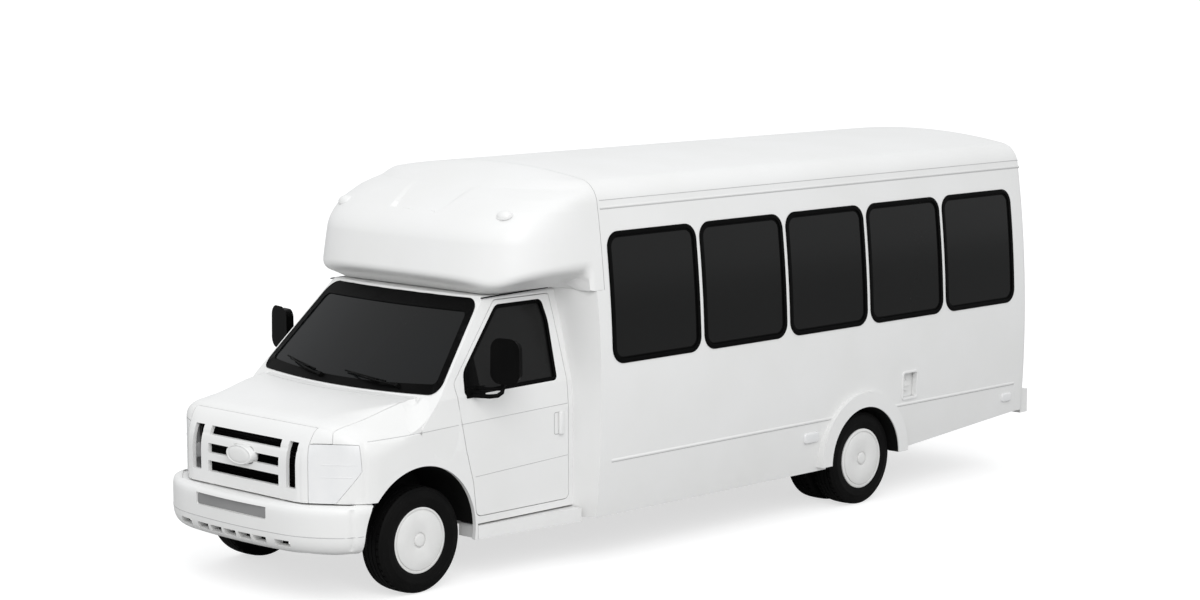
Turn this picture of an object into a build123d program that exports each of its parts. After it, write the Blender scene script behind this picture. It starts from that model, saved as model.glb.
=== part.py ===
from build123d import *
import math
import os

os.makedirs("parts", exist_ok=True)

# A cutaway minibus: a van cab on a ladder chassis, with a wider coach body and a cap over the cab.
# Millimetres. +X is the vehicle's left, +Y its rear, +Z is up; the origin is on the ground at mid-length.

# ---- Driving dimensions: chassis ----
WHEELBASE = 4470
FRONT_OVERHANG = 920  # front axle to the front bumper's face
REAR_OVERHANG = 2310  # rear axle to the rear bumper's face
TYRE_R = 372
TYRE_W = 222
TYRE_CORNER_R = 38
RIM_R = 228  # the seat of the tyre, and the wheel cover
RIM_FIT = 0.1
RIM_T = 12
RIM_LIP = 6
FRONT_TRACK_HALF = 833  # to the middle of the front tyre
FRONT_COVER = 96  # from the tyre's middle to the outer face of the wheel cover
REAR_DUAL_HALF = 952  # to the middle of the twin tyres
DUAL_PITCH = 262
REAR_COVER = 114
COVER_T = 16
WEB_HALF = 24  # half the thickness of the web that joins the twin rims
FRONT_HUB_R = 85
FRONT_HUB_INNER = 45  # inner end of the front hub, inboard of the tyre's middle
FRONT_SPINDLE_R = 34
REAR_HUB_R = 115
REAR_HUB_INNER = 110
REAR_SPINDLE_R = 52
AXLE_FIT = 0.1  # running clearance of a hub or a pin
SPINDLE_END_GAP = 8
KINGPIN_INSET = 160  # kingpin axis inboard of the tyre's middle
KINGPIN_R = 19
KINGPIN_BOSS_R = 42
FRONT_BEAM_H = 90
FRONT_BEAM_W = 70
KNUCKLE_LUG_T = 30
KNUCKLE_LUG_GAP = 5
KNUCKLE_REACH = 75
KNUCKLE_HALF = 38
KNUCKLE_WEB_GAP = 6  # from the beam's boss to the knuckle's web
STEER_ARM = 165  # from the kingpin back to the track rod's pin
STEER_ARM_W = 40
TRACK_ROD_R = 14
TRACK_PIN_R = 9
TRACK_PIN_SHORT = 2  # of the arm's lower face
TRACK_ROD_GAP = 8  # between the rod and the arms
TRACK_EYE_R = 18
COIL_X = 520
COIL_R = 58
COIL_SEAT_T = 28  # the bracket on the rail that each coil bears on
COIL_SEAT_DROP = 20
COIL_SEAT_W = 120
RAIL_HALF = 390  # to the middle of a frame rail
RAIL_W = 75
RAIL_LOW = 470
RAIL_HEIGHT = 150
RAIL_WALL = 8
RAIL_END_GAP = 10  # to the rear wall
CROSSMEMBERS = [-715, 1000, 1900, 2900, 3800, 5200, 6250]  # behind the front axle
CROSSMEMBER_W = 80
CROSSMEMBER_RAISE = 67
LEAF_LENGTH = 1250
LEAF_T = 40
LEAF_DROP = 12  # of the leaf springs into their seats on the axle tube
LEAF_EYE_L = 60
REAR_TUBE_R = 60
REAR_TUBE_GAP = 20  # from the tube's end to the hub
DIFF_R = 150
PINION_R = 50
PINION_REACH = 260  # from the rear axle to the pinion's flange
ENGINE_LENGTH = 540
ENGINE_GAP = 30
ENGINE_HALF = 270
ENGINE_LOW = 480
ENGINE_HEIGHT = 600
ENGINE_CHAMFER = 90
ENGINE_MOUNT_W = 120
ENGINE_MOUNT_T = 25
GEARBOX_LENGTH = 900
GEARBOX_HALF = 150
GEARBOX_LOW = 440
GEARBOX_HEIGHT = 200
DRIVESHAFT_R = 42
EXHAUST_X = -560
EXHAUST_Z = 430
EXHAUST_R = 34
MUFFLER_R = 95
EXHAUST_FRONT = 520  # behind the front axle
EXHAUST_BACK = 3700
MUFFLER_FRONT = 1500
MUFFLER_LENGTH = 620
EXHAUST_HANGERS = [900, 1800, 3200]
HANGER_W = 40
HANGER_T = 30
TANK_HALF = 330
TANK_HEIGHT = 190
TANK_LENGTH = 950
TANK_R = 40

# ---- Driving dimensions: coach body ----
BODY_HALF_WIDTH = 1215
BODY_WIDEST_Z = 1200
SIDE_ARC_R = 9100  # the side walls are barrelled
SKIRT_Z = 340
TAIL_SKIRT_Z = 500  # the skirt rises behind the rear wheels
WAIST_Z = 745  # seam between skirt and side wall
EAVES_Z = 2555  # seam between side wall and roof
ROOF_Z = 2842
ROOF_CROWN_R = 5700
ROOF_CORNER_R = 190
WALL = 40
CAB_LENGTH = 1420  # front axle to the back of the cab
FAIRING_LENGTH = 140  # back of the cab to the front seam of the coach body
TAIL_CAP_DEPTH = 150
TAIL_CAP_R = 70
REAR_BUMPER_DEPTH = 115
REAR_BUMPER_HEIGHT = 200
REAR_BUMPER_Z = 462
REAR_BUMPER_HALF = 1150
REAR_BUMPER_R = 25
REAR_BRACKET_LAP = 160
REAR_BRACKET_T = 30
FLOOR_TOP_Z = 760
FLOOR_T = 50
FLOOR_TONGUE_GAP = 10  # beside the floor's front end, inside the cab's walls
BEAM_COUNT = 9
BEAM_W = 60
BEAM_HALF = 1060
WINDOW_COUNT = 5
WINDOW_MARGIN = 58  # window band to the body seams
WINDOW_GAP = 45
WINDOW_LOW = 1447
WINDOW_HIGH = 2387
WINDOW_CORNER_R = 110
WINDOW_DEPTH = 4  # panes behind the outer face
WINDOW_T = 26
GLASS_FIT = 0.4  # gap round each pane
ARCH_R = 418  # rear wheel arch
FLARE_W = 118
FLARE_PROUD = 30
FLARE_DEPTH = 80  # inwards, as far as the barrelled wall recedes from its widest
WHEELHOUSE_INNER = 640
WHEELHOUSE_T = 12
FILLER_BEHIND_AXLE = 505
FILLER_LOW = 795
FILLER_W = 170
FILLER_H = 200
FILLER_DEPTH = 90
FILLER_CUP_T = 5
FILLER_CAP_R = 42
FILLER_CAP_REACH = 63
ENTRY_OFFSET = 70  # from the front body seam to the entry opening
ENTRY_WIDTH = 800
ENTRY_LOW = 362
ENTRY_HIGH = 2340
ENTRY_GAP = 7
LEAF_GAP = 6  # between the two leaves
LEAF_GLASS_W = 250
LEAF_GLASS_LOW = 900
LEAF_GLASS_HIGH = 2200
LEAF_GLASS_R = 50
STEPWELL_DEPTH = 460  # from the widest part of the wall to the upper riser
STEPWELL_OUTER = -1130
STEP_RUN = 200
STEP_T = 20
STEP_MID_Z = 575
STEP_LOW_Z = 395
REAR_DOOR_HALF = 420
REAR_DOOR_LOW = 790
REAR_DOOR_HIGH = 2250
REAR_DOOR_CORNER_R = 60
REAR_DOOR_GAP = 8
REAR_GLASS_W = 620
REAR_GLASS_H = 620
REAR_GLASS_Z = 1830
HINGE_PIN_R = 3.5  # exposed hinges of the entry leaves and the rear door
HINGE_BARREL_R = 6
HINGE_BARREL_HALF = 20
HINGE_LUG_R = 8
HINGE_LUG_H = 14
HINGE_LUG_REACH = 45
HINGE_PLATE_T = 6
HINGE_ROOM_R = 9.5
HINGE_END_GAP = 0.5
ENTRY_HINGES = [1000, 1400]
REAR_DOOR_HINGES = [1000, 2000]
TAIL_LAMP_X = 960
TAIL_LAMP_W = 110
TAIL_LAMP_H = 330
TAIL_LAMP_Z = 1020
TAIL_LAMP_PROUD = 22
TAIL_LAMP_R = 50
TAIL_LAMP_EDGE_R = 11

# ---- Driving dimensions: cab ----
CAB_HALF_WIDTH = 1000
SHOULDER_Z = 1150
BELT_Z = 1330
BELT_HALF = 985
CAB_ROOF_Z = 1980
CAB_ROOF_HALF = 802
CAB_ROOF_R = 35
CAB_T = 60  # cab walls and doors
PANEL_T = 30  # hood, fenders and grille
CAB_FLOOR_Z = 720
CAB_FLOOR_T = 60
SILL_LOW_Z = 425
CAB_ARCH_R = 490
CAB_ARCH_AHEAD = 30  # the arch's middle, ahead of and above the axle
CAB_ARCH_RAISE = 38
LINER_T = 8
LINER_INNER = 475
LINER_FOOT_GAP = 15  # above the frame rails
FIREWALL_AHEAD = 30
FIREWALL_T = 30
COWL_LAP = 60  # of the cowl, ahead of the firewall
HOOD_HALF = 800
HOOD_REAR = 60  # corner of the hood's rear edge, behind the front axle
HOOD_BOW = 90
HOOD_HINGE_BEHIND = 10
HOOD_HINGE_Z = 1350  # above the hood's rear edge, as its curved hinge arms set it
HOOD_GAP = 6
FENDER_BACK = 480
PILLAR_ROOT_X = 950
GRILLE_HALF = 652
GRILLE_SWEEP = 747  # hinge of the hood to its front edge
GRILLE_SLOTS = [(790, 866), (920, 987), (1050, 1108)]
GRILLE_SLOT_HALF = 385
GRILLE_GILL = (465, 563, 791)  # inner and outer edge and foot of the upright slots
GRILLE_POST_W = 40
GRILLE_POST_TOP = 780
HOOD_STOP_X = 607
HOOD_STOP_W = 30
HOOD_STOP_BEHIND = -580
HOOD_STOP_LOW = 1085
LAMP_TAB_REACH = 58
LAMP_TAB_Z = (850, 950)
LAMP_TAB_BEHIND = -690
NOSE_AHEAD = 790
BOSS_HALF = 130
BOSS_HALF_H = 62
BOSS_Z = 960
BOSS_PROUD = 45
LAMP_LOW = 705
LAMP_HIGH = 1108
LAMP_DEPTH = 90
LAMP_INNER = 658
LAMP_GAP = 4
WINDSHIELD_BOW = 80
WINDSHIELD_BASE = 165  # corner of the screen's base behind the front axle
WINDSHIELD_LOW = 1376
WINDSHIELD_HALF = 910
WINDSHIELD_TOP = 1954
WINDSHIELD_TOP_HALF = 745
WINDSHIELD_RUN = 585
WINDSHIELD_RISE = 612
WINDSHIELD_DIP = 28  # the screen's lower edge, below its corners at mid-width
WINDSHIELD_CORNER_R = 55
WINDSHIELD_T = 14
WINDSHIELD_INSET = 3
PILLAR_T = 55
BUMPER_LOW = 355
BUMPER_TOP = 700
BUMPER_T = 70
BUMPER_CORNER_R = 120
BUMPER_BACK = 420
BUMPER_BRACKET_L = 90
BUMPER_SLOT_Z = 424
BUMPER_SLOT_H = 55
BUMPER_SLOT_W = 130
BUMPER_SLOT_PITCH = 155
BUMPER_PORT_X = 525
BUMPER_PORT_W = 140
BUMPER_CUT = 200  # how far back the slots and ports are cut
BUMPER_RECESS = 28
BUMPER_RECESS_Z = 617
BUMPER_RECESS_H = 85
BUMPER_RECESS_HALF = 380
BUMPER_END_GAP = 22
DOOR_GAP = 6
DOOR_BACK = 1375
DOOR_LOW = 480
DOOR_HIGH = 1945
DOOR_HINGE = 345  # door hinge behind the front axle
DOOR_CORNER_R = 45
DOOR_ARC_INSET = 5  # of the arc that trims the door's rear edge
DOOR_GLASS_DEPTH = 14
DOOR_GLASS_T = 12
STRIKER_R = 8
STRIKER_Z = 1030
STRIKER_REACH = 30  # into the door from its rear edge
STRIKER_SLOT_END = 4
SEAT_GAP = 0.3  # a moving piece at rest, from what it rests on
MIRROR_X = 1202
MIRROR_BEHIND = 550
MIRROR_Z = 1570
MIRROR_W = 268
MIRROR_H = 318
MIRROR_DEPTH = 120
MIRROR_R = 45
MIRROR_EDGE_R = 22
MIRROR_STEM = 120
MIRROR_ARM_W = 34
MIRROR_STEM_INSET = 67  # of the stem, from the middle of the mirror's head
STEP_BOARD_FRONT = 485
STEP_BOARD_BACK = 1415
STEP_BOARD_LOW = 315
STEP_BOARD_T = 95
STEP_BOARD_INNER = 800
STEP_BOARD_OUTER_FRONT = 1000
STEP_BOARD_OUTER_BACK = 1090
STEP_BRACKETS = [700, 1250]  # behind the front axle
STEP_BRACKET_W = 50
STEP_BRACKET_T = 30
STEP_BRACKET_LOW = 335
CAP_Z = 1985
CAP_T = 35
CAP_FRONT = 590  # the cap's foremost face behind the front axle
CAP_FRONT_HALF = 880
CAP_SHOULDER = 1150  # where the cap reaches the coach body's width, behind the front axle
CAP_LENGTH = 1700  # past the front seam of the coach body, which trims it
CAP_FLARE = 45
CAP_PLAN_R = [450, 350, 350, 450]
CAP_SCREEN_TOP = 764  # behind the front axle, where the cap meets the head of the windshield
CAP_BROW_LOW = (740, 2060)  # behind the front axle, height
CAP_BROW_Z = 2110
CAP_LEAN = (650, 2500)
CAP_CREST = 1330
CAP_CREST_RISE = 8  # above the roof, which trims it
CAP_PROFILE_R = [15, 30, 30, 180, 220]
CAP_UNDER_HALF = 1110
CAP_UNDER_Z = 2118
CAP_UNDER_REACH = 190
CAP_UNDER_RISE = 112
DASH_HALF = 850
DASH_BACK = 430  # the dashboard's rear face behind the front axle
SEAT_W = 470
SEAT_DEPTH = 480
SEAT_T = 110
SEAT_BACK_H = 700
SEAT_H = 420
SEAT_R = 30
SEAT_BACK_T = 80  # where the back meets the cushion
SEAT_BACK_TOP_T = 95
SEAT_BACK_FOOT = 30
SEAT_LEG_INSET = 90
SEAT_LEG = (80, 400)  # from the seat's front edge
BENCH_LEG_INSET = 60
BENCH_LEG_W = 280
CAB_SEAT_X = 440
CAB_SEAT_BEHIND = 770
BENCH_W = 860
BENCH_INNER = 260
BENCH_ROWS = 6
BENCH_FIRST = {1: 0, -1: 1}  # the entry takes the place of the right side's first bench
BENCH_OFFSET = 160
BENCH_PITCH = 785
WHEEL_X = 440
WHEEL_BEHIND = 590
WHEEL_Z = 1175
WHEEL_TILT = (0, 0.8, 0.6)  # the steering wheel's axis, towards the driver
WHEEL_RIM_R = 195
WHEEL_RIM_TUBE_R = 15
WHEEL_HUB_R = 45
WHEEL_HUB_T = 20
WHEEL_SPOKES = 3
WHEEL_SPOKE_W = 30
COLUMN_R = 28
COLUMN_LENGTH = 260

# ---- Stations worked out from the driving dimensions ----
FRONT_AXLE_Y = (FRONT_OVERHANG - WHEELBASE - REAR_OVERHANG) / 2
REAR_AXLE_Y = FRONT_AXLE_Y + WHEELBASE
BUMPER_FACE_Y = FRONT_AXLE_Y - FRONT_OVERHANG
TAIL_Y = REAR_AXLE_Y + REAR_OVERHANG
CAB_BACK_Y = FRONT_AXLE_Y + CAB_LENGTH
BODY_FRONT_Y = CAB_BACK_Y + FAIRING_LENGTH
TAIL_CAP_Y = TAIL_Y - REAR_BUMPER_DEPTH
BODY_REAR_Y = TAIL_CAP_Y - TAIL_CAP_DEPTH
BODY_LENGTH = BODY_REAR_Y - BODY_FRONT_Y
WINDOW_PITCH = (BODY_LENGTH - 2 * WINDOW_MARGIN + WINDOW_GAP) / WINDOW_COUNT
WINDOW_W = WINDOW_PITCH - WINDOW_GAP
WINDOW_MID_Z = (WINDOW_LOW + WINDOW_HIGH) / 2
RAIL_TOP = RAIL_LOW + RAIL_HEIGHT
RAIL_FRONT_Y = BUMPER_FACE_Y + BUMPER_T + BUMPER_BRACKET_L
RAIL_REAR_Y = TAIL_CAP_Y - WALL - RAIL_END_GAP
FLOOR_LOW_Z = FLOOR_TOP_Z - FLOOR_T
ENTRY_FRONT_Y = BODY_FRONT_Y + ENTRY_OFFSET
ENTRY_REAR_Y = ENTRY_FRONT_Y + ENTRY_WIDTH
KINGPIN_X = FRONT_TRACK_HALF - KINGPIN_INSET
FAR = 6000  # past everything, for cutting
MARGIN = 60  # past a face that a cut goes through
SIDES = {"left": 1, "right": -1}

# The entry opening takes the place of the front window on the right.
WINDOWS_Y = [BODY_FRONT_Y + WINDOW_MARGIN + WINDOW_W / 2 + i * WINDOW_PITCH for i in range(WINDOW_COUNT)]
STATIONS = {1: WINDOWS_Y, -1: [y for y in WINDOWS_Y if y - WINDOW_W / 2 > ENTRY_REAR_Y]}


def export(piece, name):
    """Labels a finished piece and writes it as parts/NAME.step."""
    piece.label = name
    export_step(piece, f"parts/{name}.step")


def side_x(z, inset=0.0):
    """Half width of the barrelled body at height z, moved in by inset."""
    return BODY_HALF_WIDTH - SIDE_ARC_R + math.sqrt((SIDE_ARC_R - inset) ** 2 - (z - BODY_WIDEST_Z) ** 2)


def from_axle(points):
    """Points given as (behind the front axle, height), as (Y, Z)."""
    return [(FRONT_AXLE_Y + behind, z) for behind, z in points]


def block(x0, x1, y0, y1, z0, z1):
    """A box between two corners."""
    with BuildPart() as made:
        with Locations(((x0 + x1) / 2, (y0 + y1) / 2, (z0 + z1) / 2)):
            Box(abs(x1 - x0), abs(y1 - y0), abs(z1 - z0))
    return made.part


def side_prism(points, x0, x1, radius=0.0, grow=0.0):
    """An outline in (Y, Z), its corners rounded and then grown, extruded from x0 to x1."""
    with BuildPart() as made:
        with BuildSketch(Plane.YZ.offset(x0)) as outline:
            with BuildLine():
                Polyline(*points, close=True)
            make_face()
            if radius:
                fillet(outline.vertices(), radius)
            if grow:
                offset(amount=grow)
        extrude(amount=x1 - x0)
    return made.part


def plan_prism(points, z0, z1, radius=0.0, grow=0.0):
    """An outline in (X, Y), its corners rounded and then grown, extruded from z0 to z1."""
    with BuildPart() as made:
        with BuildSketch(Plane.XY.offset(z0)) as outline:
            with BuildLine():
                Polyline(*points, close=True)
            make_face()
            if radius:
                fillet(outline.vertices(), radius)
            if grow:
                offset(amount=grow)
        extrude(amount=z1 - z0)
    return made.part


def front_prism(points, y0, y1, radius=0.0, grow=0.0):
    """An outline in (X, Z), its corners rounded and then grown, extruded from y0 to y1."""
    with BuildPart() as made:
        with BuildSketch(Plane.XZ.offset(-y1)) as outline:
            with BuildLine():
                Polyline(*points, close=True)
            make_face()
            if radius:
                fillet(outline.vertices(), radius)
            if grow:
                offset(amount=grow)
        extrude(amount=y1 - y0)
    return made.part


def mirrored(points):
    """Half an outline, given from bottom to top on the left, closed by its mirror image."""
    return points + [(-x, other) for x, other in reversed(points)]


def cylinder_x(x0, x1, y, z, radius):
    """A cylinder along X from x0 to x1."""
    with BuildPart() as made:
        with BuildSketch(Plane.YZ.offset(x0)):
            with Locations((y, z)):
                Circle(radius)
        extrude(amount=x1 - x0)
    return made.part


def cylinder_z(x, y, z0, z1, radius):
    """A cylinder along Z from z0 to z1."""
    with BuildPart() as made:
        with BuildSketch(Plane.XY.offset(z0)):
            with Locations((x, y)):
                Circle(radius)
        extrude(amount=z1 - z0)
    return made.part


def body_prism(inset, front_y, rear_y):
    """The coach body's section, moved in by inset, from front_y to rear_y."""
    low, high = SKIRT_Z - MARGIN, ROOF_Z + MARGIN
    arc = [(side_x(z, inset), z) for z in (low, BODY_WIDEST_Z, high)]
    with BuildPart() as made:
        with BuildSketch(Plane.XZ.offset(-rear_y)) as section:
            with BuildLine():
                ThreePointArc(*arc)
                Line(arc[2], (-arc[2][0], high))
                ThreePointArc(*[(-x, z) for x, z in reversed(arc)])
                Line((-arc[0][0], low), arc[0])
            make_face()
            with Locations((0, ROOF_Z - ROOF_CROWN_R)):
                Circle(ROOF_CROWN_R - inset, mode=Mode.INTERSECT)
            fillet(section.vertices().group_by(Axis.Y)[-1], ROOF_CORNER_R - inset)
        extrude(amount=rear_y - front_y)
    return made.part


def body_skin(inset, thickness, front_y, rear_y):
    """A layer of the coach body's skin, inset from its face, of the given thickness."""
    with BuildPart() as made:
        add(body_prism(inset, front_y, rear_y))
        add(body_prism(inset + thickness, front_y - MARGIN, rear_y + MARGIN), mode=Mode.SUBTRACT)
    return made.part


def window_prisms(sign, clearance):
    """Rounded window openings of one side as prisms through its wall, smaller by clearance."""
    with BuildPart() as made:
        with BuildSketch(Plane.YZ.offset(sign * BODY_HALF_WIDTH / 2)):
            with Locations([(y, WINDOW_MID_Z) for y in STATIONS[sign]]):
                RectangleRounded(
                    WINDOW_W - 2 * clearance,
                    WINDOW_HIGH - WINDOW_LOW - 2 * clearance,
                    WINDOW_CORNER_R - clearance,
                )
        extrude(amount=sign * BODY_HALF_WIDTH)
    return made.part


def hinge_barrel(x, y, z):
    """A hinge's barrel, which turns with its door."""
    return cylinder_z(x, y, z - HINGE_BARREL_HALF, z + HINGE_BARREL_HALF, HINGE_BARREL_R)


def hinge_room(x, y, z):
    """What a hinge takes out of its door: the bore, and room for the lugs above and below the barrel."""
    end = HINGE_BARREL_HALF + HINGE_LUG_H + 2 * HINGE_END_GAP
    with BuildPart() as made:
        add(cylinder_z(x, y, z - end, z + end, HINGE_PIN_R + AXLE_FIT))
        for low, high in ((z - end, z - HINGE_BARREL_HALF), (z + HINGE_BARREL_HALF, z + end)):
            add(cylinder_z(x, y, low, high, HINGE_ROOM_R))
    return made.part


def hinge_lugs(x, y, z, plate):
    """A hinge's pin and its two lugs, each with a plate given by its corner and size from the pin."""
    near = HINGE_BARREL_HALF + HINGE_END_GAP
    far = near + HINGE_LUG_H
    (x0, y0), (x1, y1) = plate
    with BuildPart() as made:
        add(cylinder_z(x, y, z - far, z + far, HINGE_PIN_R))
        for low, high in ((z - far, z - near), (z + near, z + far)):
            add(cylinder_z(x, y, low, high, HINGE_LUG_R))
            add(block(x + x0, x + x1, y + y0, y + y1, low, high))
    return made.part


# ---- Coach body: roof, side walls, skirts and side windows ----
BODY_SHELL = body_skin(0, WALL, BODY_FRONT_Y, BODY_REAR_Y)
ENTRY_CUT = block(-FAR, -BODY_HALF_WIDTH / 2, ENTRY_FRONT_Y, ENTRY_REAR_Y, ENTRY_LOW, ENTRY_HIGH)
REAR_ARCH = cylinder_x(-FAR, FAR, REAR_AXLE_Y, TYRE_R, ARCH_R)
FILLER_FRONT_Y = REAR_AXLE_Y + FILLER_BEHIND_AXLE
# Columns: the leaf, its hinge's station, and the way from there to the leaf's free edge.
LEAVES = [("front", ENTRY_FRONT_Y + ENTRY_GAP, 1), ("rear", ENTRY_REAR_Y - ENTRY_GAP, -1)]
FILLER_CUT = block(
    BODY_HALF_WIDTH / 2, FAR, FILLER_FRONT_Y, FILLER_FRONT_Y + FILLER_W, FILLER_LOW, FILLER_LOW + FILLER_H
)

with BuildPart() as roof:
    add(BODY_SHELL)
    add(block(-FAR, FAR, -FAR, FAR, EAVES_Z, FAR), mode=Mode.INTERSECT)
export(roof.part, "roof")

with BuildPart() as side_walls:
    add(BODY_SHELL)
    add(block(-FAR, FAR, -FAR, FAR, WAIST_Z, EAVES_Z), mode=Mode.INTERSECT)
    for sign in SIDES.values():
        add(window_prisms(sign, 0), mode=Mode.SUBTRACT)
    add(REAR_ARCH, mode=Mode.SUBTRACT)
    add(ENTRY_CUT, mode=Mode.SUBTRACT)
    add(FILLER_CUT, mode=Mode.SUBTRACT)
    for name, hinge_y, direction in LEAVES:
        reach = -direction * HINGE_LUG_REACH
        plate = ((-HINGE_PLATE_T, min(reach, 0)), (HINGE_PLATE_T, max(reach, 0)))
        for z in ENTRY_HINGES:
            add(hinge_lugs(-BODY_HALF_WIDTH, hinge_y, z, plate))
export(side_walls.part, "side_walls")

# The skirts hang below the waist seam, ahead of the rear wheels and, higher, behind them.
SKIRT_OUTLINE = [
    (BODY_FRONT_Y, SKIRT_Z),
    (REAR_AXLE_Y, SKIRT_Z),
    (REAR_AXLE_Y, TYRE_R),
    (REAR_AXLE_Y + ARCH_R, TYRE_R),
    (BODY_REAR_Y, TAIL_SKIRT_Z),
    (BODY_REAR_Y, WAIST_Z),
    (BODY_FRONT_Y, WAIST_Z),
]
with BuildPart() as skirts:
    add(BODY_SHELL)
    add(side_prism(SKIRT_OUTLINE, -FAR, FAR), mode=Mode.INTERSECT)
    add(REAR_ARCH, mode=Mode.SUBTRACT)
    add(block(-FAR, FAR, REAR_AXLE_Y - ARCH_R, REAR_AXLE_Y + ARCH_R, 0, TYRE_R), mode=Mode.SUBTRACT)
    add(block(-FAR, 0, ENTRY_FRONT_Y, ENTRY_REAR_Y, 0, WAIST_Z), mode=Mode.SUBTRACT)
export(skirts.part, "skirts")

PANES = {sign: window_prisms(sign, GLASS_FIT) for sign in SIDES.values()}
with BuildPart() as side_windows:
    for panes in PANES.values():
        add(panes)
    add(body_skin(WINDOW_DEPTH, WINDOW_T, BODY_FRONT_Y, BODY_REAR_Y), mode=Mode.INTERSECT)
export(side_windows.part, "side_windows")

with BuildPart() as wheel_flares:
    for sign in SIDES.values():
        inner, outer = sign * (BODY_HALF_WIDTH - FLARE_DEPTH), sign * (BODY_HALF_WIDTH + FLARE_PROUD)
        add(cylinder_x(inner, outer, REAR_AXLE_Y, TYRE_R, ARCH_R + FLARE_W))
    add(REAR_ARCH, mode=Mode.SUBTRACT)
    add(body_prism(0, BODY_FRONT_Y, BODY_REAR_Y), mode=Mode.SUBTRACT)
    add(block(-FAR, FAR, -FAR, FAR, TYRE_R, FAR), mode=Mode.INTERSECT)
export(wheel_flares.part, "wheel_flares")

# The filler sits in a cup behind its cut in the left wall.
FILLER_MID = (FILLER_FRONT_Y + FILLER_W / 2, FILLER_LOW + FILLER_H / 2)
FILLER_X = side_x(FILLER_MID[1], WALL)
with BuildPart() as fuel_filler:
    with BuildSketch(Plane.YZ.offset(FILLER_X - FILLER_DEPTH)):
        with Locations(FILLER_MID):
            Rectangle(FILLER_W + 2 * FILLER_CUP_T, FILLER_H + 2 * FILLER_CUP_T)
    extrude(amount=FILLER_DEPTH - FILLER_CUP_T)
    with BuildSketch(Plane.YZ.offset(FILLER_X - FILLER_DEPTH + FILLER_CUP_T)):
        with Locations(FILLER_MID):
            Rectangle(FILLER_W, FILLER_H)
    extrude(amount=FILLER_DEPTH, mode=Mode.SUBTRACT)
    with BuildSketch(Plane.YZ.offset(FILLER_X - FILLER_DEPTH)):
        with Locations(FILLER_MID):
            Circle(FILLER_CAP_R)
    extrude(amount=FILLER_CAP_REACH)
export(fuel_filler.part, "fuel_filler")

# ---- Tail cap, its door and its lamps ----
REAR_DOOR_MID_Z = (REAR_DOOR_LOW + REAR_DOOR_HIGH) / 2
REAR_DOOR_HEIGHT = REAR_DOOR_HIGH - REAR_DOOR_LOW
REAR_HINGE_X = REAR_DOOR_HALF - REAR_DOOR_GAP

with BuildPart() as rear_wall:
    add(body_prism(0, BODY_REAR_Y, TAIL_CAP_Y))
    rim = rear_wall.faces().sort_by(Axis.Y)[-1].edges()
    fillet(rim.filter_by(lambda edge: edge.center().Z > SKIRT_Z), TAIL_CAP_R)
    add(body_prism(WALL, BODY_REAR_Y - MARGIN, TAIL_CAP_Y - WALL), mode=Mode.SUBTRACT)
    add(block(-FAR, FAR, -FAR, FAR, TAIL_SKIRT_Z, FAR), mode=Mode.INTERSECT)
    with BuildSketch(Plane.XZ.offset(-TAIL_CAP_Y - MARGIN)):
        with Locations((0, REAR_DOOR_MID_Z)):
            RectangleRounded(2 * REAR_DOOR_HALF, REAR_DOOR_HEIGHT, REAR_DOOR_CORNER_R)
    extrude(amount=WALL + 2 * MARGIN, mode=Mode.SUBTRACT)
    for z in REAR_DOOR_HINGES:
        add(hinge_lugs(REAR_HINGE_X, TAIL_CAP_Y, z, ((0, 0), (HINGE_LUG_REACH, HINGE_PLATE_T))))
export(rear_wall.part, "rear_wall")

with BuildPart() as rear_door:
    with BuildSketch(Plane.XZ.offset(-TAIL_CAP_Y)):
        with Locations((0, REAR_DOOR_MID_Z)):
            RectangleRounded(
                2 * (REAR_DOOR_HALF - REAR_DOOR_GAP),
                REAR_DOOR_HEIGHT - 2 * REAR_DOOR_GAP,
                REAR_DOOR_CORNER_R - REAR_DOOR_GAP,
            )
        with Locations((0, REAR_GLASS_Z)):
            RectangleRounded(REAR_GLASS_W, REAR_GLASS_H, WINDOW_CORNER_R, mode=Mode.SUBTRACT)
    extrude(amount=WALL)
    for z in REAR_DOOR_HINGES:
        add(hinge_barrel(REAR_HINGE_X, TAIL_CAP_Y, z))
        add(hinge_room(REAR_HINGE_X, TAIL_CAP_Y, z), mode=Mode.SUBTRACT)
export(rear_door.part, "rear_door")

with BuildPart() as rear_door_glass:
    with BuildSketch(Plane.XZ.offset(-TAIL_CAP_Y + WINDOW_DEPTH)):
        with Locations((0, REAR_GLASS_Z)):
            RectangleRounded(
                REAR_GLASS_W - 2 * GLASS_FIT,
                REAR_GLASS_H - 2 * GLASS_FIT,
                WINDOW_CORNER_R - GLASS_FIT,
            )
    extrude(amount=WINDOW_T)
export(rear_door_glass.part, "rear_door_glass")

with BuildPart() as tail_lamps:
    with BuildSketch(Plane.XZ.offset(-TAIL_CAP_Y)):
        with Locations((-TAIL_LAMP_X, TAIL_LAMP_Z), (TAIL_LAMP_X, TAIL_LAMP_Z)):
            RectangleRounded(TAIL_LAMP_W, TAIL_LAMP_H, TAIL_LAMP_R)
    extrude(amount=-TAIL_LAMP_PROUD)
    fillet(tail_lamps.faces().group_by(Axis.Y)[-1].edges(), TAIL_LAMP_EDGE_R)
export(tail_lamps.part, "tail_lamps")

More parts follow.
